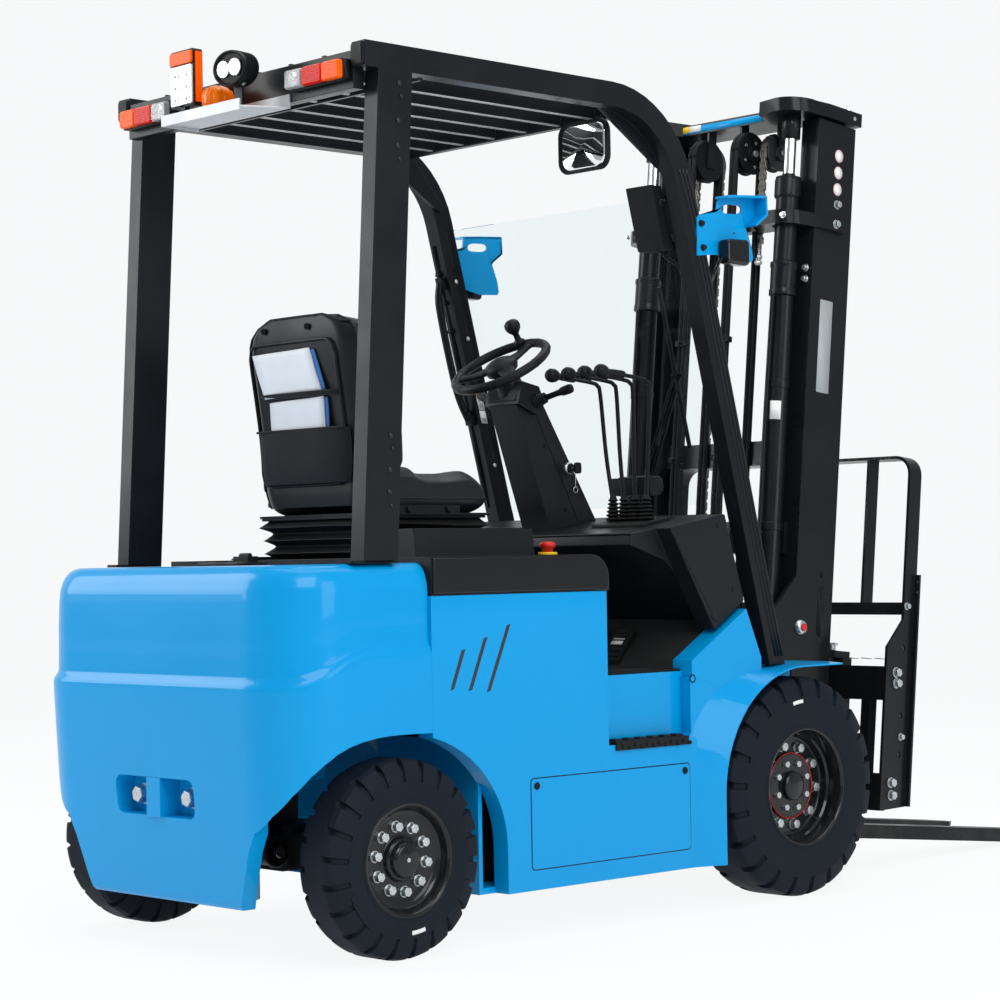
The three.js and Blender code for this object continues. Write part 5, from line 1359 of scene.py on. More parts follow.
def build_steering():
    rim = Shape()
    rim.torus((0, 0, 0), (0, 0, 1), 130, 12.2, 96, 18)
    for i in range(24):
        turn = 2 * math.pi * i / 24
        rim.torus((130 * math.cos(turn), 130 * math.sin(turn), 0), (-math.sin(turn), math.cos(turn), 0), 12.3, 0.5, 16,
            4)
    rim.turned([(-20, 34), (-16, 42), (-4, 47), (6, 45), (12, 39), (17, 28), (20, 14), (20.6, 1)], (0, 0, 0),
               (0, 0, 1), 40)
    for angle in (90, 210, 330):
        turn = math.radians(angle)
        out = Vector((math.cos(turn), math.sin(turn), 0))
        across = Vector((-out.y, out.x, 0))
        rings = []
        for reach, half, drop_z, thick in ((28, 26, 0, 8), (50, 22, -3, 7), (80, 16, -4, 6), (105, 15, -2, 6.5),
            (122, 19, 0, 7)):
            ring = []
            for u, v in superellipse(half, -thick, thick, 3, 16):
                ring.append(out * reach + across * u + Vector((0, 0, drop_z + v)))
            rings.append(ring)
        rim.rings(rings)
    knob_turn = math.radians(104)
    knob = (124 * math.cos(knob_turn), 124 * math.sin(knob_turn), 0)
    rim.turned([(6, 16), (14, 16), (17, 12), (20, 9), (34, 8), (40, 12), (48, 19), (58, 22), (68, 20.5), (75, 13),
                (77, 1)], knob, (0, 0, 1), 28)
    made = rim.piece("steering_wheel_rim", ["grip_plastic"], "steering_wheel", "wheel_grip", STEER_FRAME,
                     ("steering_wheel",))
    shade_smooth(made)

    neck = Shape()
    neck.turned([(-92, 40), (-70, 41), (-66, 36), (-40, 34), (-36, 30), (-23, 29)], (0, 0, 0), (0, 0, 1), 32)
    neck.piece("column_collar", ["cowl_plastic"], "chassis", "cowl_plastic", STEER_FRAME)
    stalks = Shape()
    for tip, foot in (((172, -480, 1357), (60, -510, 1326)), ((-168, -498, 1354), (-60, -528, 1326))):
        foot, tip = Vector(foot), Vector(tip)
        along = (tip - foot).normalized()
        for i in range(5):
            stalks.turned([(i * 7, 17 - i), (i * 7 + 3, 19 - i), (i * 7 + 6, 16 - i)], foot, along, 20)
        stalks.turned([(30, 8), (60, 7), (80, 9), (86, 12), (108, 13), (116, 11), (119, 4)], foot, along, 20)
    stalks.piece("column_stalks", ["boot_rubber"], "chassis", "cowl_plastic")
    key = Shape()
    key.finish = 0
    key.turned([(0, 17), (7, 17), (9, 14), (10, 11), (7, 10), (7, 1)], (52, -385, 1150), (1, 0, 0), 28)
    key.block((58, 88), (-386.5, -383.5), (1146, 1154))
    key.finish = 1
    key.rings([[(x, -385 + u, 1150 + v) for u, v in rounded(-12, 12, -15, 15, 7, 4)] for x in (86, 92)])
    key.finish = 0
    key.rod((80, -385, 1142), (80, -385, 1098), 1.2, 6)
    key.torus((80, -385, 1092), (1, 0, 0), 8, 1.2, 20, 6)
    soften(key.piece("ignition_key", ["zinc_steel", "grip_plastic"], "chassis", "cowl_plastic"), 0.5, 1)
    seam = Shape()
    for x in (-52.4, 52.4):
        seam.path([(x, -352, 1010), (x, -430, 1160), (x, -520, 1330)], 1.0, 6)
    for y, z in ((-395, 1040), (-470, 1210), (-520, 1300)):
        seam.turned([(0, 6), (1.6, 6), (2.2, 4), (1, 3.5), (1, 0.5)], (52, y, z), (1, 0, 0), 14)
    seam.piece("column_seams", ["grip_plastic"], "chassis", "cowl_plastic")


def build_levers():
    boots = Shape()
    rods = Shape()
    foot = 968 + (-370 + 540) / 6 + 9
    for i in range(4):
        boot_x, top_x = 205 + i * 40, 156 + i * 60
        for ring in range(6):
            z, size = ring * 10, 21 - ring * 1.5
            boots.turned([(z, size - 6), (z + 4, size), (z + 6, size), (z + 10, size - 7)], (boot_x, -370, foot),
                         (0, 0, 1), 24)
        boots.turned([(52, 9), (58, 10), (66, 8)], (boot_x, -370, foot), (0, 0, 1), 20)
        line = [(boot_x, -370, foot + 46), (boot_x + (top_x - boot_x) * 0.55, -366, 1180), (top_x, -362, 1340),
                (top_x - 0.6, -372, 1366), (top_x - 1.2, -398, 1374), (top_x - 5, -490, 1384)]
        rods.path(smooth_curve(line, 7), 5.5, 12)
        along = Vector((-2.2, -74, 6)).normalized()
        rods.turned([(0, 6.5), (4, 9.5), (10, 10.5), (40, 10), (58, 9), (64, 11), (70, 15.5), (80, 18.5), (90, 18),
                     (98, 13), (101.5, 5)], (top_x - 3, -452, 1381), along, 24)
    plate = rounded(172, 366, -425, -320, 10, 4)
    boots.rings([[(x, y, 968 + (y + 540) / 6 + rise) for x, y in plate] for rise in (0.6, 9)])
    made = boots.piece("lever_boots", ["boot_rubber"], "chassis", "lever_plastic", replaces=("control_levers",))
    shade_smooth(made)
    soften(made, 0.8, 1, 50)
    made = rods.piece("lever_rods", ["grip_plastic"], "chassis", "lever_plastic")
    shade_smooth(made)


def build_pedal_details():
    pads = Shape()
    for i in range(7):
        t = i / 6
        y, z = -366 + 70 * t, 634 + 76 * t
        pads.rings([[(x, y + v * 0.62 - 1, z + v * 0.75) for x, v in rounded(136, 199, -2.6, 2.6, 2, 2)],
                    [(x, y + v * 0.62 - 4.5, z + v * 0.75 + 4) for x, v in rounded(138, 197, -1.8, 1.8, 1.5, 2)]])
    for i in range(5):
        t = i / 4
        y, z = -383 + 34 * t, 706 + 46 * t
        pads.rings([[(x, y + v * 0.6 - 1, z + v * 0.8) for x, v in rounded(-55, 65, -2.6, 2.6, 2, 2)],
                    [(x, y + v * 0.6 - 4.5, z + v * 0.8 + 3) for x, v in rounded(-53, 63, -1.8, 1.8, 1.5, 2)]])
    pads.piece("pedal_pads", ["boot_rubber"], "chassis", "lever_plastic")
    tag = Shape()
    tag.prism([(-330, 674), (-314, 690), (-317, 693), (-333, 677)], 148, 188, "X")
    tag.piece("pedal_tag", ["white_label"], "chassis", "lever_plastic")


def build_cowl_details():
    """Dash edge, screws and the small read-out beside the levers."""
    cowl = Shape()
    for side, _ in SIDES:
        for y, z in ((-430, 958), (-270, 988), (-215, 820), (-296, 752)):
            cowl.turned([(0, 7), (2, 7), (3, 5), (1.6, 4), (1.6, 0.5)], (side * 486.8, y, z), (side, 0, 0), 16)
        cowl.path([(side * 487.2, -440, 960), (side * 487.2, -300, 760), (side * 487.2, -286, 735)], 1.0, 6)
    cowl.path([(-430, -541, 968), (0, -542.5, 968), (430, -541, 968)], 3, 8)
    cowl.rings([
        [(x, y, 968 + (y + 540) / 6 + 0.5) for x, y in rounded(-390, -110, -520, -300, 24, 5)],
        [(x, y, 968 + (y + 540) / 6 + 3.5) for x, y in rounded(-388, -112, -518, -302, 24, 5)],
    ])
    soften(cowl.piece("cowl_trim", ["cowl_plastic"], "chassis", "cowl_plastic"), 1.0, 1)


def build_wiper_details():
    cap = Shape()
    y = -14 - (1100 - 617) * math.tan(PILLAR_LEAN) - 24
    outline = rounded(56, 204, 1074, 1128, 20, 5)
    cap.rings([[(x, y - 8, z) for x, z in outline], [(x, y - 42, z) for x, z in outline],
               [(130 + (x - 130) * 0.9, y - 50, 1101 + (z - 1101) * 0.8) for x, z in outline]])
    cap.turned([(0, 9), (4, 9), (5, 6), (5, 0.5)], (104, y - 48, 1101), (0, -1, 0), 16)
    cap.turned([(0, 9), (4, 9), (5, 6), (5, 0.5)], (158, y - 48, 1101), (0, -1, 0), 16)
    soften(cap.piece("wiper_motor_cover", ["grip_plastic"], "chassis", "wiper_plastic"), 1.5)


# ---------------------------------------------------------------- guard and its lamps

GUARD_TOP = 2095
GUARD_REAR = -1440
GUARD_INNER, GUARD_OUTER = 439, 487
GUARD_MIDDLE = (GUARD_INNER + GUARD_OUTER) / 2


def pillar_front(z):
    """Front face of the leaning front pillar."""
    return -14 - (z - 617) * math.tan(PILLAR_LEAN)


def post_rear(z):
    """Rear face of the upright rear post."""
    return -1291 - (2035 - z) * 0.054 - 90


def build_guard_details():
    bolts = Shape()
    for side, _ in SIDES:
        for z in (2006, 1977, 1920, 1862, 1832, 1196, 1168, 1118, 1068, 1036):
            small = z in (1977, 1832, 1168, 1036)
            y = post_rear(z) + 44 + (6 if small else 0)
            bolts.turned([(0, 5.0 if small else 7.0), (1.5, 5.0 if small else 7.0), (3.2, 4.0), (4.0, 1)],
                         (side * GUARD_OUTER, y, z), (side, 0, 0), 18)
        bolts.finish = 1
        for z in (1000, 1180, 1360, 1540, 1700):
            bolts.turned([(0, 6.5), (1.5, 6.5), (3, 5), (3.6, 1)],
                (side * (GUARD_INNER - 0.2), pillar_front(z) - 34, z),
                         (-side, 0, 0), 16)
        bolts.finish = 0
    bolts.piece("guard_bolts", ["gloss_moulding", "zinc_steel"], "chassis", "guard_paint")

    for side, label in SIDES:
        ridge = Shape()
        for offset in (7, 20, 33):
            line = []
            for k in range(9):
                z = 640 + (1760 - 640) * k / 8
                line.append((side * (GUARD_OUTER - 0.5), pillar_front(z) - offset, z))
            line += smooth_curve([(side * (GUARD_OUTER - 0.5), pillar_front(z) - offset - back, z) for z, back in
                                  ((1790, 0), (1850, 4), (1900, 12))], 3)
            ridge.path(line, 4.6, 8, flat=3.2)
        for offset in (9, 24, 38):
            line = [(side * (GUARD_OUTER - offset), pillar_front(z) - 53.0, z) for z in (660, 1000, 1350, 1700)]
            ridge.path(line, 3.4, 8, flat=2.6)
        ridge.piece(f"pillar_ridges_{label}", ["guard_enamel"], "chassis", "guard_paint")
        caps = Shape()
        outline = rounded(side * GUARD_MIDDLE - 22, side * GUARD_MIDDLE + 22, GUARD_TOP - 57, GUARD_TOP - 3, 9, 4)
        caps.rings([
            [(x, GUARD_REAR + 2, z) for x, z in outline], [(x, GUARD_REAR - 4, z) for x, z in outline],
            [(side * GUARD_MIDDLE + (x - side * GUARD_MIDDLE) * 0.8, GUARD_REAR - 7, 2065 + (z - 2065) * 0.82)
             for x, z in outline]])
        foot = rounded(side * GUARD_MIDDLE - 30, side * GUARD_MIDDLE + 24, -1500, -1370, 9, 3)
        caps.rings([[(x, y, z) for x, y in foot] for z in (DECK_Z + 0.5, DECK_Z + 7)])
        soften(caps.piece(f"tube_caps_{label}", ["grip_plastic"], "chassis", "guard_paint"), 1.2, 1)

    # Light grey strips along the black slats' edges: painted highlight where the slats catch the light, not a colour of
    # the slats.
    edges = Shape()
    for x in (-312, -187, -62, 62, 187, 312):
        edges.block((x - 4.6, x + 4.6), (GUARD_REAR + 40, -532), (2034.2, 2036.9))
    edges.piece("painted_slat_highlights", ["painted_slat_highlight"], "chassis", "guard_paint")

    tag = Shape()
    x = -GUARD_INNER + 1.2
    for finish, low, high in ((0, 1338, 1376), (1, 1376, 1392), (0, 1300, 1336)):
        tag.finish = finish
        tag.rings([[(-GUARD_INNER + lift, pillar_front(z) - 38 + u * 12, z) for u, z in
                    ((-1, low), (1, low), (1, high), (-1, high))] for lift in (0.2, 1.2)])
    tag.finish = 2
    for z in (1312, 1350, 1364):
        tag.rings([[(x + lift, pillar_front(z) - 38 + u * 7, z + v) for u, v in ((-1, -4), (1, -4), (1, 4), (-1, 4))]
                   for lift in (0, 0.3)])
    tag.piece("pillar_labels", ["white_label", "orange_label", "grey_label"], "chassis", "guard_paint")

    clips = Shape()
    for z in (1330, 1400, 1560, 1640, 1720):
        y = pillar_front(z) - 53
        clips.rings([[(u, y - v, z + 5) for u, v in rounded(-GUARD_MIDDLE - 18, -GUARD_MIDDLE + 2, -2, 20, 5, 3)],
                     [(u, y - v, z - 5) for u, v in rounded(-GUARD_MIDDLE - 18, -GUARD_MIDDLE + 2, -2, 20, 5, 3)]])
    clips.path(smooth_curve([(-GUARD_MIDDLE - 8, pillar_front(z) - 60 - 5 * (i % 2), z) for i, z in
                             enumerate((1060, 1180, 1330, 1480, 1640, 1800))], 8), 6, 10)
    clips.piece("pillar_harness", ["hose_rubber"], "chassis", "guard_paint")


def build_tail_lamps():
    for side, label in SIDES:
        lens = Shape()
        rear = GUARD_REAR - 0.3
        for finish, x0, x1 in ((0, 236, 298), (1, 298, 372), (2, 372, 434)):
            lens.finish = finish
            outline = rounded(x0 + 0.8, x1 - 0.8, 2012, 2055, 5, 3)
            lens.rings([
                [(side * x, rear - 20, z) for x, z in outline], [(side * x, rear - 33, z) for x, z in outline],
                [(side * ((x0 + x1) / 2 + (x - (x0 + x1) / 2) * 0.93), rear - 37, 2033 + (z - 2033) * 0.88)
                    for x, z in outline]])
            for i in range(7):
                z = 2018 + i * 5.2
                lens.path([(side * (x0 + 6), rear - 37, z), (side * (x1 - 6), rear - 37, z)], 0.8, 6)
        made = lens.piece(f"tail_lens_{label}", ["clear_lens", "red_lens", "orange_lens"], "chassis", "red_lens",
                          replaces=(f"tail_lamp_{label}",))
        soften(made, 1.0, 2)
        tub = Shape()
        outline = rounded(232, 437, 2009, 2058, 6, 3)
        tub.rings([[(side * x, rear, z) for x, z in outline], [(side * x, rear - 22, z) for x, z in outline]])
        tub.finish = 1
        for x in (266, 334, 403):
            tub.turned([(0, 4), (3, 9), (7, 15), (9.5, 17)], (side * x, rear - 22.4, 2033), (0, -1, 0), 20)
        tub.piece(f"tail_tub_{label}", ["lamp_housing", "reflector"], "chassis", "red_lens")


def build_tray_lamps():
    """Beacon, work lamp and indicator on the tray behind the guard."""
    tray = 1980.3
    rear = GUARD_REAR - 0.3
    beacon = Shape()
    beacon.finish = 1
    beacon.turned([(0, 45), (10, 45), (13, 43), (20, 43), (22, 40), (24, 38)], (4, rear - 54, tray), (0, 0, 1), 44)
    beacon.finish = 0
    beacon.turned([(24, 37), (30, 38), (46, 37.5), (58, 34), (66, 27), (71, 16), (72.5, 1)], (4, rear - 54, tray),
                  (0, 0, 1), 44)
    for i in range(22):
        turn = 2 * math.pi * i / 22
        c, s = math.cos(turn), math.sin(turn)
        beacon.path([(4 + 37.6 * c, rear - 54 + 37.6 * s, tray + 28), (4 + 37.2 * c, rear - 54 + 37.2 * s, tray + 50),
                     (4 + 33.6 * c, rear - 54 + 33.6 * s, tray + 60)], 1.1, 5)
    beacon.finish = 2
    beacon.turned([(14, 8), (50, 8), (54, 5), (55, 1)], (4, rear - 54, tray + 4), (0, 0, 1), 16)
    made = beacon.piece("beacon_dome", ["amber_lens", "amber_lens", "reflector"], "chassis", "amber_lens",
                        replaces=("beacon",))
    shade_smooth(made)

    lamp = Shape()
    centre = Vector((112, rear - 88, 2074))
    aim = Vector((0.1, -1, -0.05)).normalized()
    # Oval body: turned about its aim, then widened.
    def widened(profile, segments=48):
        first = len(lamp.bm.verts)
        lamp.turned(profile, (0, 0, 0), aim, segments)
        lamp.bm.verts.ensure_lookup_table()
        for vertex in lamp.bm.verts[first:]:
            vertex.co.x *= 1.36
            vertex.co += centre
    lamp.finish = 0
    widened([(-44, 20), (-40, 30), (-34, 35), (-20, 39), (2, 41), (12, 42), (16, 41), (17, 38), (12, 36), (10, 34)])
    for i in range(7):
        widened([(-36 + i * 6, 32 + i * 1.2), (-35 + i * 6, 40 + i * 0.4), (-33.4 + i * 6, 40 + i * 0.4),
                 (-32.4 + i * 6, 32 + i * 1.2)])
    for dx in (-22, 22):
        lens_at = centre + Vector((dx, 0, 0)) + aim * 12
        lamp.finish = 1
        lamp.turned([(-6, 4), (-3, 8), (0, 14), (3, 19), (4, 20)], lens_at, aim, 28)
        lamp.finish = 2
        lamp.turned([(-3, 6), (1, 6), (3, 4), (3.6, 1)], lens_at, aim, 16)
        lamp.finish = 3
        lamp.turned([(1, 20.5), (3, 20), (4.5, 15), (5.2, 8), (5.4, 1)], lens_at, aim, 28)
    lamp.finish = 0
    lamp.block((96, 128), (rear - 76, rear - 70), (tray, 2046))
    lamp.block((90, 134), (rear - 90, rear - 60), (tray, tray + 4))
    lamp.bolt((112, rear - 75, tray + 4), (0, 0, 1), 12, 9)
    lamp.finish = 4
    for x in (96, 128):
        lamp.bolt((x, rear - 73, 2040), (1 if x > 112 else -1, 0, 0), 9, 7)
    made = lamp.piece("work_lamp_body", ["lamp_housing", "reflector", "led_lens", "clear_lens", "zinc_steel"],
        "chassis",
                      "lamp_metal", replaces=("work_lamp",))
    shade_smooth(made)
    soften(made, 0.6, 1, 45)

    unit = Shape()
    low, high, x0, x1 = 2014, 2152, -150, -54
    outline = rounded(x0, x1, low, high, 8, 4)
    unit.rings([[(x, rear - 54, z) for x, z in outline], [(x, rear - 76, z) for x, z in outline],
                [(x * 1.0, rear - 80, z) for x, z in outline]])
    unit.rings([[(x, y, z) for x, z in rounded(-112, -92, tray, 2020, 4, 2)] for y in (rear - 80, rear - 66)])
    unit.finish = 1
    silver = rounded(x0 + 5, x1 - 5, low + 5, high - 38, 5, 3)
    unit.rings([[(x, rear - 79, z) for x, z in silver], [(x, rear - 84.5, z) for x, z in silver]])
    unit.finish = 2
    orange = rounded(x0 + 5, x1 - 5, high - 35, high - 5, 5, 3)
    unit.rings([[(x, rear - 79, z) for x, z in orange], [(x, rear - 86.5, z) for x, z in orange]])
    unit.block((x1 - 1, x1 + 3), (rear - 77, rear - 57), (low + 8, high - 8))
    unit.finish = 3
    for x in (-124, -80):
        for z in (2032, 2061, 2090):
            unit.turned([(0, 13), (1.5, 12), (1.5, 8), (0.5, 4), (0.5, 0.5)], (x, rear - 84.4, z), (0, -1, 0), 20)
    unit.finish = 4
    for x in (-124, -80):
        for z in (2032, 2061, 2090):
            unit.turned([(0, 4), (2, 4), (3, 2.5), (3.3, 0.5)], (x, rear - 84.6, z), (0, -1, 0), 14)
    made = unit.piece("indicator_unit", ["lamp_housing", "silver_plastic", "orange_lens", "reflector", "led_lens"],
                      "chassis", "lamp_grey", replaces=("indicator_lamp",))
    soften(made, 1.0, 2)

    lead = Shape()
    lead.path(smooth_curve([(4, rear - 20, tray + 6), (40, rear - 10, tray + 4), (80, rear - 30, tray + 4),
                            (112, rear - 66, tray + 10), (112, rear - 66, 2040)], 8), 3, 8)
    lead.path(smooth_curve([(-102, rear - 60, tray + 26), (-100, rear - 40, tray + 6), (-60, rear - 16, tray + 4),
                            (4, rear - 12, tray + 4)], 8), 3, 8)
    lead.piece("lamp_leads", ["hose_rubber"], "chassis", "lamp_metal")


def build_mirror():
    face_y = -528.3 - 44
    middle = Vector((320, 1961))
    rings = []
    for depth, size in ((28, 0.55), (18, 0.86), (6, 0.98), (-2, 1.0), (-6, 0.985), (-6, 0.93), (-3, 0.92)):
        ring = [(middle.x + u * size, face_y + depth, middle.y + v * size) for u, v in rounded(-90, 90, -66, 66, 34, 8)]
        rings.append(ring)
    housing = Shape()
    housing.rings(rings, caps=True)
    housing.rod((337, face_y + 20, 1990), (337, -536, 2034), 8, 16, 1)
    housing.ball((337, face_y + 24, 1992), 13, 20)
    housing.rings([[(x, y, z) for x, z in rounded(320, 354, 2012, 2044, 5, 3)] for y in (-528.5, -535)])
    housing.bolt((328, -535, 2036), (0, -1, 0), 8, 6)
    housing.bolt((346, -535, 2036), (0, -1, 0), 8, 6)
    made = housing.piece("mirror_housing_shell", ["grip_plastic"], "chassis", "mirror_housing", replaces=("mirror",))
    shade_smooth(made)
    soften(made, 1.0, 2, 40)
    glass = Shape()
    rings = []
    for k in range(9):
        share = 1 - k / 8
        bulge = 9 * (1 - share ** 2)
        rings.append([(middle.x + u * share * 0.92, face_y - 3.2 - bulge, middle.y + v * share * 0.92)
                      for u, v in rounded(-90, 90, -66, 66, 34, 8)] if share else
                     [(middle.x + 0.1 * u / 90, face_y - 3.2 - bulge, middle.y + 0.1 * v / 90)
                      for u, v in rounded(-90, 90, -66, 66, 34, 8)])
    glass.rings(rings)
    shade_smooth(glass.piece("mirror_glass", ["mirror_silver"], "chassis", "mirror_housing"))


def build_display_details():
    """Screen, side knobs and cable of the read-out on the right pillar."""
    def behind(x, z, out):
        return (x, pillar_front(z) - 53 - 24 - out, z)
    screen = Shape()
    x0, x1 = GUARD_INNER - 108, GUARD_INNER - 24
    screen.finish = 0
    outline = rounded(x0 + 6, x1 - 6, 1722, 1848, 6, 4)
    screen.rings([[behind(x, z, -2) for x, z in outline], [behind(x, z, 1.2) for x, z in outline]])
    screen.finish = 1
    for z in (1735, 1760, 1786, 1812, 1836):
        screen.turned([(0, 5), (2.4, 5), (3.2, 3.5), (3.4, 0.5)], behind(x0 + 12, z, 0.8), (0, -1, -0.26), 12)
    screen.turned([(0, 11), (10, 10), (12, 7), (12.4, 1)], behind(x1 - 2, 1820, -14), (1, 0, 0), 20)
    screen.path(smooth_curve([behind(x1 - 40, 1712, -18), behind(x1 - 34, 1690, -34), behind(x1 - 8, 1660, -50),
                              behind(x1 + 20, 1600, -40)], 8), 4, 10)
    screen.finish = 2
    for i, width in enumerate((52, 34, 44)):
        z = 1748 + i * 30
        screen.rings([[behind(x, zz, out) for x, zz in ((x0 + 22, z), (x0 + 22 + width, z), (x0 + 22 + width, z + 5),
                                                        (x0 + 22, z + 5))] for out in (1.0, 1.6)])
    screen.piece("display_screen", ["display_glass", "grip_plastic", "paper_blue"], "chassis", "mirror_housing")


def build_headlamps():
    """Pressed blue bracket with a flanged hand hole, and the black lamp carried inside it."""
    for side, label in SIDES:
        x = GUARD_OUTER + 0.3
        bracket = Shape()
        corners = [(-338, 1682), (-338, 1786), (-262, 1800), (-256, 1838), (-112, 1848), (-104, 1800), (-150, 1768),
                   (-128, 1724), (-120, 1680), (-196, 1676), (-262, 1690)]
        outline = resampled(corners, 48)
        hole = []
        for y, z in outline:
            turn = math.atan2(z - 1760, y + 218)
            c, s = math.cos(turn), math.sin(turn)
            hole.append((-204 + 38 * math.copysign(abs(c) ** 0.7, c),
                1812 + 12 * math.copysign(abs(s) ** 0.7, s) + 3 * c))
        rows = [[[bracket.bm.verts.new((side * xx, y, z)) for y, z in ring] for ring in (outline, hole)]
                for xx in (x, x + 5)]
        for i in range(48):
            j = (i + 1) % 48
            for near, far in ((rows[0][0], rows[0][1]), (rows[1][0], rows[1][1]), (rows[0][0], rows[1][0]),
                              (rows[0][1], rows[1][1])):
                bracket.face((near[i], near[j], far[j], far[i]))
        bracket.prism([(-262, 1834), (-260, 1840), (-200, 1845), (-108, 1851), (-106, 1845), (-200, 1839)],
                      *sorted((side * x, side * (x + 44))), "X")
        bracket.prism([(-150, 1768), (-104, 1800), (-106, 1848), (-112, 1848), (-112, 1802), (-154, 1772)],
                      *sorted((side * x, side * (x + 44))), "X")
        made = bracket.piece(f"headlamp_bracket_{label}", ["blue_enamel"], "chassis", "bracket_paint",
                             replaces=(f"headlamp_{label}",))
        soften(made, 1.6, 2, 40)

        lamp = Shape()
        for y, z in ((-324, 1766), (-318, 1704)):
            lamp.bolt((side * (x + 5), y, z), (side, 0, 0), 13, 9)
        lamp.turned([(0, 3), (0.6, 3), (0.8, 0.5)], (side * (x + 5), -196, 1750), (side, 0, 0), 12)
        lamp.turned([(0, 3), (0.6, 3), (0.8, 0.5)], (side * (x + 5), -186, 1704), (side, 0, 0), 12)
        lamp.rings([[(side * (514 + u), y, z) for u, z in rounded(-grow, grow, 1684 - grow, 1708 + grow, 10, 4)]
                    for y, grow in ((-262, 17), (-254, 20), (-192, 22), (-184, 20))])
        lamp.finish = 1
        lamp.rings([[(side * (514 + u), y, z) for u, z in rounded(-17, 17, 1670, 1722, 7, 4)] for y in (-184.5, -180)])
        lamp.finish = 0
        lamp.path(smooth_curve([(side * 512, -258, 1684), (side * 500, -266, 1668), (side * 480, -256, 1650),
                                (side * 470, -275, 1600)], 8), 4, 10)
        made = lamp.piece(f"headlamp_body_{label}", ["gloss_moulding", "clear_lens"], "chassis", "bracket_paint")
        soften(made, 0.8, 1, 40)


# ---------------------------------------------------------------- mast, chains and hoses

MAST_TOP = 1871
CHAIN_X = 127
SHEAVE_Y, SHEAVE_Z, SHEAVE_R = 218, MAST_TOP - 66, 44
HOSE_X = 82
HOSE_SHEAVE_Y, HOSE_SHEAVE_Z, HOSE_SHEAVE_R = 150, MAST_TOP - 78, 50
CHAIN_PITCH = 15.9
CHAIN_OUT = SHEAVE_R + 7


def leaf_chain(name, points, body):
    """Leaf chain along points spaced one pitch apart: pins with alternate plates."""
    shape = Shape()
    for i, here in enumerate(points[:-1]):
        ahead = points[i + 1]
        along = (ahead - here).normalized()
        middle = (here + ahead) / 2
        across = Vector((1, 0, 0))
        out = along.cross(across).normalized()
        for x in ((-10.5, -4.2, 2.1, 8.4) if i % 2 else (-7.4, -1.0, 5.2)):
            rings = []
            for lift in (0, 2.6):
                ring = []
                for u, v in ((-12, -3), (-9, -6), (-4, -5), (4, -5), (9, -6), (12, -3), (12, 3), (9, 6), (4, 5),
                    (-4, 5),
                             (-9, 6), (-12, 3)):
                    ring.append(middle + along * u + out * v + across * (x + lift))
                rings.append(ring)
            shape.rings(rings)
        shape.rod(here - across * 12.6, here + across * 12.6, 3.2, 8)
    return shape.piece(name, ["chain_steel"], body, "chain_steel", MAST_FRAME)


def build_chains():
    """Each lift chain in three runs: outer mast anchor, over the sheave, and down to the carriage."""
    for side, label in SIDES:
        x = side * CHAIN_X
        rear_foot, front_foot = 1548, 228
        rear = [Vector((x, SHEAVE_Y - CHAIN_OUT, rear_foot + i * CHAIN_PITCH))
                for i in range(int((SHEAVE_Z - rear_foot) / CHAIN_PITCH) + 1)]
        turn_step = CHAIN_PITCH / CHAIN_OUT
        over = [Vector((x, SHEAVE_Y - CHAIN_OUT * math.cos(i * turn_step),
            SHEAVE_Z + CHAIN_OUT * math.sin(i * turn_step)))
                for i in range(int(math.pi / turn_step) + 2)]
        front = [Vector((x, SHEAVE_Y + CHAIN_OUT, SHEAVE_Z - i * CHAIN_PITCH))
                 for i in range(int((SHEAVE_Z - front_foot) / CHAIN_PITCH) + 1)]
        made = leaf_chain(f"chain_rear_{label}", rear, None)
        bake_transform(made)
        made = leaf_chain(f"chain_over_{label}", over, "inner_mast")
        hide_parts(f"lift_chain_{label}")
        made = leaf_chain(f"chain_front_{label}", front, None)
        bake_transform(made)

        anchors = Shape()
        anchors.rod((x, SHEAVE_Y - CHAIN_OUT, 1470), (x, SHEAVE_Y - CHAIN_OUT, 1536), 8, 16, 1)
        anchors.block((x - 10, x + 10), (SHEAVE_Y - CHAIN_OUT - 9, SHEAVE_Y - CHAIN_OUT + 9), (1532, 1552))
        for z in (1474, 1490, 1556):
            anchors.bolt((x, SHEAVE_Y - CHAIN_OUT, z - (0 if z < 1500 else 1)), (0, 0, 1 if z < 1500 else -1), 20, 0,
                10)
        soften(anchors.piece(f"chain_anchor_{label}", ["zinc_steel"], "mast", "chain_steel", MAST_FRAME), 0.8, 1)

        wheels = Shape()
        wheels.turned([(-19, 12), (-19, 30), (-18, 40), (-17.5, 52), (-14.6, 53), (-14.2, 44), (14.2, 44), (14.6, 53),
                       (17.5, 52), (18, 40), (19, 30), (19, 12)], (x, SHEAVE_Y, SHEAVE_Z), (1, 0, 0), 40)
        wheels.turned([(19, 24), (26, 22), (28, 12), (28, 1)], (x, SHEAVE_Y, SHEAVE_Z), (1 if side > 0 else -1, 0, 0),
            24)
        wheels.finish = 1
        wheels.bolt((x + side * 20, SHEAVE_Y, SHEAVE_Z), (side, 0, 0), 18, 14)
        made = wheels.piece(f"chain_sheave_{label}", ["cast_iron", "zinc_steel"], "inner_mast", "mast_paint",
            MAST_FRAME)
        soften(made, 0.8, 1)


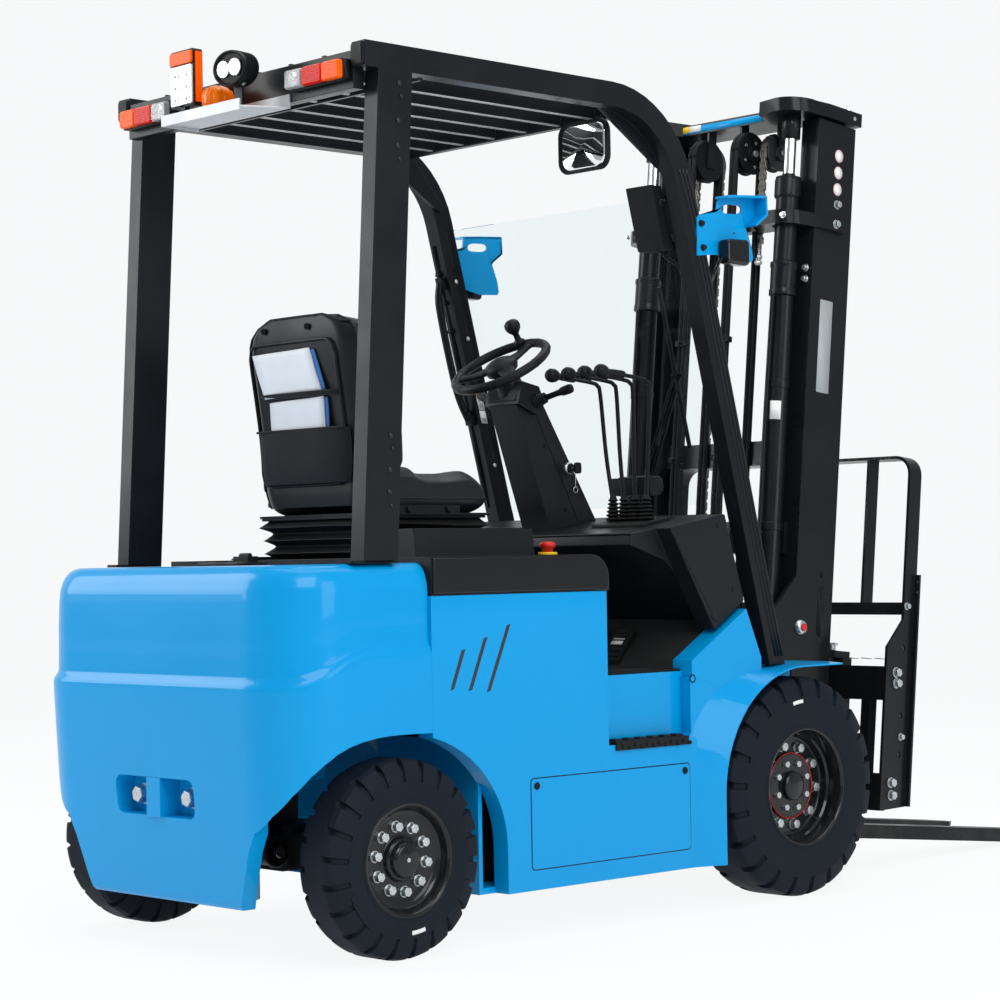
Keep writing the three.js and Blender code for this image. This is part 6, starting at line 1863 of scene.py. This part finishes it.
def build_hoses():
    """Two pairs of hoses: up the outer mast, over their sheaves, and down to the carriage."""
    for side, label in SIDES:
        for pair, x in ((0, side * (HOSE_X - 8)), (1, side * (HOSE_X + 8))):
            out = HOSE_SHEAVE_R + 8
            up = [(x, 92 + (HOSE_SHEAVE_Y - out - 92) * smoothstep(z, 1560, 1700), z) for z in range(60, 1641, 79)]
            up += [(x, HOSE_SHEAVE_Y - out, z) for z in (1700, 1750, HOSE_SHEAVE_Z)]
            over = [(x, HOSE_SHEAVE_Y - out * math.cos(t), HOSE_SHEAVE_Z + out * math.sin(t))
                    for t in (math.pi * i / 16 for i in range(17))]
            down = [(x, HOSE_SHEAVE_Y + out, HOSE_SHEAVE_Z - i * 75) for i in range(19)]
            down += [(x, HOSE_SHEAVE_Y + out + 6 * i * i, HOSE_SHEAVE_Z - 1350 - i * 26) for i in range(1, 6)]
            runs = Shape()
            runs.path([Vector(p) for p in up], 7.5, 12)
            made = runs.piece(f"hose_up_{label}_{pair}", ["hose_rubber"], None, "mast_paint", MAST_FRAME)
            shade_smooth(made)
            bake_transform(made)
            bend = Shape()
            bend.path([Vector(p) for p in over], 7.5, 12)
            shade_smooth(bend.piece(f"hose_over_{label}_{pair}", ["hose_rubber"], "inner_mast", "mast_paint",
                MAST_FRAME))
            runs = Shape()
            runs.path([Vector(p) for p in down], 7.5, 12)
            made = runs.piece(f"hose_down_{label}_{pair}", ["hose_rubber"], None, "mast_paint", MAST_FRAME)
            shade_smooth(made)
            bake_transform(made)
        sheave = Shape()
        x = side * HOSE_X
        sheave.turned([(-17, 16), (-17, 50), (-16, 58), (-14, 58), (-12, 50), (-3, 50), (-1.5, 56), (1.5, 56), (3, 50),
            (12, 50),
                       (14, 58), (16, 58), (17, 50), (17, 16)], (x, HOSE_SHEAVE_Y, HOSE_SHEAVE_Z), (1, 0, 0), 44)
        sheave.turned([(17, 24), (24, 22), (26, 12), (26, 1)], (x, HOSE_SHEAVE_Y, HOSE_SHEAVE_Z), (side, 0, 0), 24)
        sheave.finish = 1
        sheave.bolt((x + side * 20, HOSE_SHEAVE_Y, HOSE_SHEAVE_Z), (side, 0, 0), 18, 15)
        for k in range(5):
            turn = 2 * math.pi * k / 5
            sheave.turned([(0, 5), (2, 5), (2.4, 3)], (x + side * 17, HOSE_SHEAVE_Y + 36 * math.cos(turn),
                                                       HOSE_SHEAVE_Z + 36 * math.sin(turn)), (side, 0, 0), 10)
        made = sheave.piece(f"hose_sheave_{label}", ["grip_plastic", "zinc_steel"], "inner_mast", "mast_paint",
            MAST_FRAME)
        soften(made, 0.8, 1)

    fitting = Shape()
    for x in (-90, -74, 74, 90):
        y, z = 208 + 6 * 25, HOSE_SHEAVE_Z - 1350 - 130
        fitting.turned([(0, 8), (10, 9.5), (12, 11), (24, 11), (26, 8), (34, 8)], (x, y - 2, z + 6), (0, 0.75, -0.6),
            12)
    fitting.piece("hose_fittings", ["zinc_steel"], "carriage", "mast_paint", MAST_FRAME)


def build_mast_details():
    """Bolts, stop screw, labels, hose clamps, bare roller tracks and the top plate's fixings."""
    bolts = Shape()
    for side, _ in SIDES:
        for z in (1446, 1414):
            bolts.bolt((side * 307, 164.8, z), (0, -1, 0), 15, 11)
        bolts.bolt((side * 330.3, 258, 1640), (side, 0, 0), 18, 13)
        bolts.bolt((side * 346.2, 240, 1579), (side, 0, 0), 17, 13)
        bolts.bolt((side * 300, 66, 1579), (0, -1, 0), 13, 10)
        bolts.turned([(0, 22), (4, 22), (7, 20), (12, 18), (14, 14), (14.6, 1)], (side * 330.2, 190, 436),
            (side, 0, 0), 24)
    bolts.finish = 1
    for side, _ in SIDES:
        bolts.turned([(14.6, 11), (18, 11), (19.4, 8), (19.8, 0.5)], (side * 330.2, 190, 436), (side, 0, 0), 20)
    bolts.finish = 0
    soften(bolts.piece("mast_bolts", ["zinc_steel", "red_plastic"], "mast", "mast_paint", MAST_FRAME), 0.6, 1, 45)

    slots = Shape()
    for side, _ in SIDES:
        outline = [(y, z) for y, z in rounded(262, 292, 415, 556, 15, 6)]
        slots.rings([[(side * 330.15, y, z) for y, z in outline], [(side * 330.6, y, z) for y, z in outline]])
        slots.turned([(0, 8), (2, 8), (3, 6), (3.4, 1)], (side * 330.2, 277, 590), (side, 0, 0), 16)
    slots.piece("mast_slots", ["hose_rubber"], "mast", "mast_paint", MAST_FRAME)

    tags = Shape()
    for side, _ in SIDES:
        for z in (1780, 1732, 1684):
            tags.finish = 0
            tags.turned([(0, 18), (0.7, 18)], (side * 330.1, 258, z), (side, 0, 0), 32)
            tags.finish = 1
            tags.turned([(0.7, 14), (0.9, 14), (0.95, 0.5)], (side * 330.1, 258, z), (side, 0, 0), 32)
        tags.finish = 2
        panel = rounded(208, 262, 1100, 1362, 3, 2)
        tags.rings([[(side * 330.1, y, z) for y, z in panel], [(side * 330.6, y, z) for y, z in panel]])
    tags.piece("mast_labels", ["pink_label", "white_label", "grey_label"], "mast", "mast_paint", MAST_FRAME)

    tracks = Shape()
    for side, _ in SIDES:
        for y in (165 + 18.2, 326 - 18.2):
            tracks.block(sorted((side * 272, side * 300)), sorted((y - 0.2, y + 0.2)), (-120, 1860))
    tracks.piece("outer_roller_tracks", ["bare_steel"], "mast", "mast_paint", MAST_FRAME)

    clamps = Shape()
    for side, _ in SIDES:
        x = side * HOSE_X
        for z in (250, 560, 900, 1240):
            clamps.rings([[(x + u, 92 + v, zz) for u, v in rounded(-20, 20, -12, 12, 5, 3)] for zz in (z, z + 16)])
            clamps.bolt((x, 80, z + 8), (0, -1, 0), 10, 8)
    soften(clamps.piece("hose_clamps", ["grip_plastic"], "mast", "mast_paint", MAST_FRAME), 1.0, 1)

    gland = Shape()
    for side, _ in SIDES:
        x, y = side * 262, 124
        gland.turned([(1640, 33.5), (1644, 38), (1690, 38), (1694, 36), (1698, 36), (1700.4, 34), (1700.6, 19),
                      (1706, 19), (1710, 17.6)], (x, y, 0), (0, 0, 1), 40)
        gland.turned([(1360, 33), (1363, 39), (1378, 39), (1381, 36.5), (1440, 36.5), (1444, 39), (1456, 39),
            (1460, 33)],
                     (x, y, 0), (0, 0, 1), 40)
        for z in (300, 700, 1100):
            gland.turned([(z, 32.8), (z + 2, 34), (z + 22, 34), (z + 24, 32.8)], (x, y, 0), (0, 0, 1), 32)
        gland.path(smooth_curve([(x - side * 20, 86, -60), (x - side * 10, 84, 60), (x - side * 6, 84, 500),
                                 (x - side * 6, 84, 1000), (x - side * 2, 84, 1360)], 10), 6, 10)
    made = gland.piece("cylinder_glands", ["mast_enamel"], "mast", "mast_paint", MAST_FRAME)
    shade_smooth(made)
    soften(made, 0.8, 1, 40)
    tag = Shape()
    outline = [math.radians(a) for a in range(-28, 29, 7)]
    rings = []
    for z in (1010, 1062):
        rings.append([(262 + 33 * math.cos(t + 5.3), 124 + 33 * math.sin(t + 5.3), z) for t in outline]
                     + [(262 + 33.6 * math.cos(t + 5.3), 124 + 33.6 * math.sin(t + 5.3), z) for t in outline[::-1]])
    tag.rings(rings)
    tag.piece("cylinder_tag", ["white_label"], "mast", "mast_paint", MAST_FRAME)

    top, cover = Shape(), Shape()
    plate = MAST_TOP + 43
    for side, _ in SIDES:
        cover.turned([(MAST_TOP - 62, 18), (MAST_TOP - 60, 27), (MAST_TOP + 20, 27), (MAST_TOP + 22, 18)],
                     (side * 262, 124, 0), (0, 0, 1), 32)
        top.bolt((side * 262, 124, plate), (0, 0, 1), 24, 17, 12)
        top.bolt((side * 330, 290, plate), (0, 0, 1), 14, 10)
        top.turned([(0, 6), (0.6, 6)], (side * 346.3, 300, plate - 19), (side, 0, 0), 12)
    soften(top.piece("top_plate_bolts", ["zinc_steel"], "inner_mast", "mast_paint", MAST_FRAME), 0.6, 1)
    cover.piece("rod_covers", ["mast_enamel"], "inner_mast", "mast_paint", MAST_FRAME)
    strip = Shape()
    strip.block((-188, 188), (129.2, 129.8), (plate - 34, plate - 14))
    strip.piece("top_plate_band", ["blue_enamel"], "inner_mast", "mast_paint", MAST_FRAME)
    tag = Shape()
    tag.block((-185, -135), (128.4, 129.4), (plate - 30, plate - 12))
    tag.finish = 1
    tag.block((-135, -90), (128.4, 129.4), (plate - 30, plate - 12))
    tag.piece("top_plate_labels", ["yellow_label", "white_label"], "inner_mast", "mast_paint", MAST_FRAME)


def build_carriage_details():
    """Carriage and backrest fixings, shift cylinder, fork pins and the fork bar's notches."""
    bolts = Shape()
    for side, _ in SIDES:
        for z, y in ((330, 470), (300, 474), (20, 470), (-15, 474)):
            bolts.bolt((side * 454.6, y, z), (side, 0, 0), 22, 15)
        for y, z in ((505, 520), (505, 150)):
            bolts.bolt((side * 454.6, y, z), (side, 0, 0), 15, 11)
    soften(bolts.piece("backrest_bolts", ["zinc_steel"], "side_shifter", "mast_paint", MAST_FRAME), 0.8, 1)
    holes = Shape()
    for side, _ in SIDES:
        for z in (100, 210, 400):
            holes.turned([(0, 9), (0.5, 9), (0.6, 0.5)], (side * 454.4, 500, z), (side, 0, 0), 20)
        for z in (560, 590):
            holes.turned([(0, 6), (0.5, 6), (0.6, 0.5)], (side * 462, 536, z), (0, 1, 0), 16)
    holes.piece("backrest_holes", ["gloss_moulding"], "side_shifter", "mast_paint", MAST_FRAME)

    shift = Shape()
    shift.rod((-150, 400, 200), (150, 400, 200), 26, 28, 2)
    shift.rod((-170, 400, 200), (-150, 400, 200), 30, 28, 2)
    shift.rod((150, 400, 200), (170, 400, 200), 30, 28, 2)
    shift.block((-60, 60), (372, 400), (176, 224))
    for x in (-120, 120):
        shift.block((x - 8, x + 8), (370, 400), (180, 256))
    soften(shift.piece("shift_cylinder", ["mast_enamel"], "carriage", "mast_paint", MAST_FRAME), 1.2)

    pins = Shape()
    for side, _ in SIDES:
        pins.rod((side * 220, 470, 388), (side * 220, 470, 408), 11, 18, 2)
        pins.block(sorted((side * 205, side * 235)), (462, 478), (404, 411))
    soften(pins.piece("fork_pins", ["zinc_steel"], "side_shifter", "fork_paint", MAST_FRAME), 0.8, 1)

    notches = Shape()
    for i in range(17):
        x = -400 + i * 50
        notches.block((x - 6, x + 6), (446, 486), (366.6, 368.4))
    notches.piece("bar_notches", ["gloss_moulding"], "side_shifter", "mast_paint", MAST_FRAME)


def build_underbody():
    """Drive motor fins, axle bolts, tie rods and brake hoses seen from below."""
    under = Shape()
    for i in range(9):
        y = -90 - i * 16
        under.torus((0, y, 302), (0, 1, 0), 92.5, 2.6, 40, 6)
    for i in range(10):
        turn = 2 * math.pi * i / 10
        under.bolt((105, 96 * math.cos(turn), 292 + 96 * math.sin(turn)), (1, 0, 0), 14)
        under.bolt((-105, 96 * math.cos(turn), 292 + 96 * math.sin(turn)), (-1, 0, 0), 14)
    soften(under.piece("motor_fins", ["cast_iron"], "chassis", "axle_paint"), 0.8, 1)
    steer = Shape()
    for side, _ in SIDES:
        steer.turned([(0, 36), (4, 38), (12, 38), (14, 34)], (side * 151, REAR_AXLE - 88, 230), (side, 0, 0), 28)
        steer.rod((side * 165, REAR_AXLE - 88, 230), (side * 177, REAR_AXLE - 88, 230), 13, 20)
    steer.finish = 1
    for side, _ in SIDES:
        steer.rod((side * 166, REAR_AXLE - 88, 230), (side * 176, REAR_AXLE - 88, 230), 13.4, 20)
        for z in (314.5, 145.5):
            steer.bolt((side * KINGPIN_X, REAR_AXLE, z), (0, 0, 1 if z > 230 else -1), 20, 0, 8)
    soften(steer.piece("steer_cylinder_ends", ["axle_enamel", "rod_chrome"], "chassis", "axle_paint"), 0.8, 1)
    pipes = Shape()
    for side, _ in SIDES:
        pipes.path(smooth_curve([(side * 60, -160, 390), (side * 150, -110, 372), (side * 230, -30, 366),
                                 (side * 300, -20, 368), (side * 318, -70, 380)], 8), 5, 10)
    pipes.piece("brake_pipes", ["hose_rubber"], "chassis", "axle_paint")


# ---------------------------------------------------------------- stage


def stage_finish(name, shown, lit, roughness):
    """Floor and backdrop: pale to the camera and in reflections, with the lamps' shade kept."""
    made = bpy.data.materials.new(name)
    made.use_nodes = True
    n = Nodes(made.node_tree)
    shader = made.node_tree.nodes["Principled BSDF"]
    shader.inputs["Specular IOR Level"].default_value = 0.2
    cloud = n.group("Mottle", Color=(*shown, 1), Scale=1.2, Amount=0.008)
    n.link(cloud.outputs["Color"], shader.inputs["Base Color"])
    n.link(n.ramp(cloud.outputs["Variation"], 0.2, 0.8, roughness, roughness + 0.1), shader.inputs["Roughness"])
    if lit:
        rays = n.add("ShaderNodeLightPath").outputs
        seen = n.math("ADD", n.math("ADD", rays["Is Camera Ray"], rays["Is Glossy Ray"]), rays["Is Transmission Ray"],
                      clamp=True)
        glow = n.add("ShaderNodeEmission")
        glow.inputs["Color"].default_value = (*shown, 1)
        glow.inputs["Strength"].default_value = lit
        blend = n.add("ShaderNodeMixShader")
        n.link(n.math("MULTIPLY", seen, 0.92), blend.inputs[0])
        n.link(shader.outputs[0], blend.inputs[1])
        n.link(glow.outputs[0], blend.inputs[2])
        n.link(blend.outputs[0], made.node_tree.nodes["Material Output"].inputs["Surface"])
    return made


def area_lamp(name, place, target, size, power, color=(1, 1, 1)):
    lamp = bpy.data.lights.new(name, "AREA")
    lamp.shape = "RECTANGLE"
    lamp.size, lamp.size_y = size
    lamp.energy = power
    lamp.color = color
    made = bpy.data.objects.new(name, lamp)
    made.location = place
    made.rotation_euler = (Vector(target) - Vector(place)).to_track_quat("-Z", "Y").to_euler()
    bpy.context.scene.collection.objects.link(made)
    return made


def build_stage():
    """Floor with a swept-up backdrop, soft lamps, world and camera."""
    settings = bpy.context.scene.forklift_stage
    shape = Shape()
    reach, depth, bend, height = 40.0, 30.0, 6.0, 26.0
    line = [(-depth, 0.0), (depth - bend, 0.0)] + [
        (depth - bend + bend * math.sin(t), bend - bend * math.cos(t))
        for t in (math.pi / 2 * i / 16 for i in range(1, 17))] + [(depth, height)]
    turn = Matrix.Rotation(math.radians(46.2), 4, "Z")
    shape.rings([[turn @ Vector((x, y, z)) for y, z in line] for x in (-reach, reach)], closed=False, caps=False)
    bmesh.ops.recalc_face_normals(shape.bm, faces=shape.bm.faces)
    mesh = bpy.data.meshes.new("floor")
    shape.bm.to_mesh(mesh)
    shape.bm.free()
    mesh.materials.append(stage_finish("studio_floor", tuple(settings.floor_color), settings.floor_glow, 0.6))
    floor = bpy.data.objects.new("floor", mesh)
    bpy.context.scene.collection.objects.link(floor)

    centre = Vector((0, 0, 1.0))
    power = settings.lamp_power
    area_lamp("key_lamp", (5.2, -3.2, 5.4), centre, (3.6, 3.6), power)
    area_lamp("side_lamp", (7.0, 0.6, 2.6), centre, (3.0, 3.4), power * 0.42)
    area_lamp("rear_lamp", (-4.6, -4.6, 3.6), centre, (3.4, 4.4), power * 0.95)
    area_lamp("top_lamp", (0.0, 0.4, 6.4), centre, (4.6, 5.4), power * 0.7)

    world = bpy.data.worlds.new("studio")
    world.use_nodes = True
    bpy.context.scene.world = world
    n = Nodes(world.node_tree)
    plain = world.node_tree.nodes["Background"]
    plain.inputs["Color"].default_value = (0.82, 0.86, 0.9, 1)
    plain.inputs["Strength"].default_value = settings.world_light
    white = n.add("ShaderNodeBackground")
    white.inputs["Color"].default_value = (0.93, 0.94, 0.945, 1)
    rays = n.add("ShaderNodeLightPath").outputs
    blend = n.add("ShaderNodeMixShader")
    n.link(n.math("ADD", rays["Is Camera Ray"], rays["Is Transmission Ray"], clamp=True), blend.inputs[0])
    n.link(plain.outputs[0], blend.inputs[1])
    n.link(white.outputs[0], blend.inputs[2])
    n.link(blend.outputs[0], world.node_tree.nodes["World Output"].inputs["Surface"])
    bpy.context.scene.view_settings.view_transform = "Standard"

    view = bpy.data.cameras.new("camera")
    view.sensor_width = 36
    view.lens = 89.603
    view.shift_x = -0.02939
    view.shift_y = 0.06397
    view.clip_end = 200
    camera = bpy.data.objects.new("camera", view)
    right = Vector((0.6915466, 0.72212631, -0.01723068))
    up = Vector((0.01029101, 0.01400221, 0.99984901))
    ahead = Vector((-0.72225854, 0.6916195, -0.00225177))
    camera.matrix_world = Matrix.Translation(at(4809.74, -5090.57, 910.29)) @ Matrix(
        (right, up, -ahead)).transposed().to_4x4()
    bpy.context.scene.collection.objects.link(camera)
    bpy.context.scene.camera = camera


# ---------------------------------------------------------------- add-on


class ForkliftPaint(bpy.types.PropertyGroup):
    """Paint of the body panels."""
    body_color: bpy.props.FloatVectorProperty(
        name="Body Colour", description="Enamel of the frame sides, counterweight and lamp brackets", subtype="COLOR",
        size=3, min=0.0, max=1.0, default=(0.0, 0.28, 0.62))


class ForkliftTyres(bpy.types.PropertyGroup):
    """Tread of the tyres."""
    lug_count: bpy.props.IntProperty(
        name="Lugs", description="Shoulder lugs round each side of a tyre", default=22, min=8, max=60)
    front_lug_depth: bpy.props.FloatProperty(
        name="Front Lug Depth", description="Depth of the front tyres' tread", subtype="DISTANCE", unit="LENGTH",
        default=0.015, min=0.002, max=0.03)
    rear_lug_depth: bpy.props.FloatProperty(
        name="Rear Lug Depth", description="Depth of the rear tyres' tread", subtype="DISTANCE", unit="LENGTH",
        default=0.012, min=0.002, max=0.03)


class ForkliftStage(bpy.types.PropertyGroup):
    """Light and floor of the studio."""
    lamp_power: bpy.props.FloatProperty(
        name="Lamp Power", description="Power of the main lamp; the others follow it", subtype="POWER", unit="POWER",
        default=260.0, min=0.0)
    world_light: bpy.props.FloatProperty(
        name="Surrounding Light", description="Strength of the light from all round", default=0.5, min=0.0)
    floor_color: bpy.props.FloatVectorProperty(
        name="Floor Colour", description="Colour of the floor and backdrop", subtype="COLOR", size=3, min=0.0, max=1.0,
        default=(0.96, 0.965, 0.97))
    floor_glow: bpy.props.FloatProperty(
        name="Floor Glow", description="Strength of the pale ground that the camera sees", default=1.02, min=0.0,
        max=1.5)


class FORKLIFT_OT_body(bpy.types.Operator):
    """Finishes the carried-over nodes and adds stripes, screws and lugs to the body."""
    bl_idname = "forklift.body"
    bl_label = "Body"

    def execute(self, context):
        finish_cad_nodes()
        build_body_details()
        build_hood_details()
        build_underbody()
        return {"FINISHED"}


class FORKLIFT_OT_counterweight(bpy.types.Operator):
    """Builds the rounded counterweight with its wheel arches and tow recess."""
    bl_idname = "forklift.counterweight"
    bl_label = "Counterweight"

    def execute(self, context):
        build_counterweight()
        return {"FINISHED"}


class FORKLIFT_OT_wheels(bpy.types.Operator):
    """Builds the four wheels with their tread, rims and nuts."""
    bl_idname = "forklift.wheels"
    bl_label = "Wheels"

    def execute(self, context):
        tyres = context.scene.forklift_tyres
        for side, label in SIDES:
            build_wheel(side, label, "front", 292, 175, 153, tyres.lug_count, tyres.front_lug_depth / MM)
            build_wheel(side, label, "rear", 230, 135, 127, tyres.lug_count, tyres.rear_lug_depth / MM)
        return {"FINISHED"}


class FORKLIFT_OT_seat(bpy.types.Operator):
    """Builds the vinyl cushion, the backrest with its papers, and the bellows below."""
    bl_idname = "forklift.seat"
    bl_label = "Seat"

    def execute(self, context):
        build_seat_cushion()
        build_seat_back()
        build_seat_base()
        return {"FINISHED"}


class FORKLIFT_OT_controls(bpy.types.Operator):
    """Builds the steering wheel, levers, pedals and the cowl's fittings."""
    bl_idname = "forklift.controls"
    bl_label = "Controls"

    def execute(self, context):
        build_steering()
        build_levers()
        build_pedal_details()
        build_cowl_details()
        build_display_details()
        return {"FINISHED"}


class FORKLIFT_OT_guard(bpy.types.Operator):
    """Adds the overhead guard's bolts, caps and stickers, and the wiper and mirror."""
    bl_idname = "forklift.guard"
    bl_label = "Overhead Guard"

    def execute(self, context):
        build_guard_details()
        build_wiper_details()
        build_mirror()
        return {"FINISHED"}


class FORKLIFT_OT_lamps(bpy.types.Operator):
    """Builds the tail, work, indicator and head lamps, and the beacon."""
    bl_idname = "forklift.lamps"
    bl_label = "Lamps"

    def execute(self, context):
        build_tail_lamps()
        build_tray_lamps()
        build_headlamps()
        return {"FINISHED"}


class FORKLIFT_OT_mast(bpy.types.Operator):
    """Builds the lift chains, hoses and sheaves, and the mast's and carriage's fixings."""
    bl_idname = "forklift.mast"
    bl_label = "Mast"

    def execute(self, context):
        build_chains()
        build_hoses()
        build_mast_details()
        build_carriage_details()
        return {"FINISHED"}


class FORKLIFT_OT_stage(bpy.types.Operator):
    """Sets up the pale floor, soft lamps and camera."""
    bl_idname = "forklift.stage"
    bl_label = "Stage"

    def execute(self, context):
        build_stage()
        return {"FINISHED"}


PIECES = (
    FORKLIFT_OT_body, FORKLIFT_OT_counterweight, FORKLIFT_OT_wheels, FORKLIFT_OT_seat, FORKLIFT_OT_controls,
    FORKLIFT_OT_guard, FORKLIFT_OT_lamps, FORKLIFT_OT_mast, FORKLIFT_OT_stage,
)


class FORKLIFT_PT_looks(bpy.types.Panel):
    """Lists the forklift's settings and the pieces to build."""
    bl_idname = "FORKLIFT_PT_looks"
    bl_label = "Forklift"
    bl_space_type = "VIEW_3D"
    bl_region_type = "UI"
    bl_category = "Forklift"

    def draw(self, context):
        for settings in (context.scene.forklift_paint, context.scene.forklift_tyres, context.scene.forklift_stage):
            box = self.layout.box()
            for name in settings.bl_rna.properties.keys():
                if name not in ("rna_type", "name"):
                    box.prop(settings, name)
        column = self.layout.column(align=True)
        for made in PIECES:
            column.operator(made.bl_idname)


SETTINGS = (("forklift_paint", ForkliftPaint), ("forklift_tyres", ForkliftTyres), ("forklift_stage", ForkliftStage))


def register():
    for name, group in SETTINGS:
        bpy.utils.register_class(group)
        setattr(bpy.types.Scene, name, bpy.props.PointerProperty(type=group))
    for made in (*PIECES, FORKLIFT_PT_looks):
        bpy.utils.register_class(made)


def unregister():
    for made in (FORKLIFT_PT_looks, *reversed(PIECES)):
        bpy.utils.unregister_class(made)
    for name, group in reversed(SETTINGS):
        delattr(bpy.types.Scene, name)
        bpy.utils.unregister_class(group)


def main():
    register()
    build_groups()
    bpy.ops.forklift.body()
    bpy.ops.forklift.counterweight()
    bpy.ops.forklift.wheels()
    bpy.ops.forklift.seat()
    bpy.ops.forklift.controls()
    bpy.ops.forklift.guard()
    bpy.ops.forklift.lamps()
    bpy.ops.forklift.mast()
    bpy.ops.forklift.stage()
    bpy.context.view_layer.update()


if __name__ == "__main__":
    main()
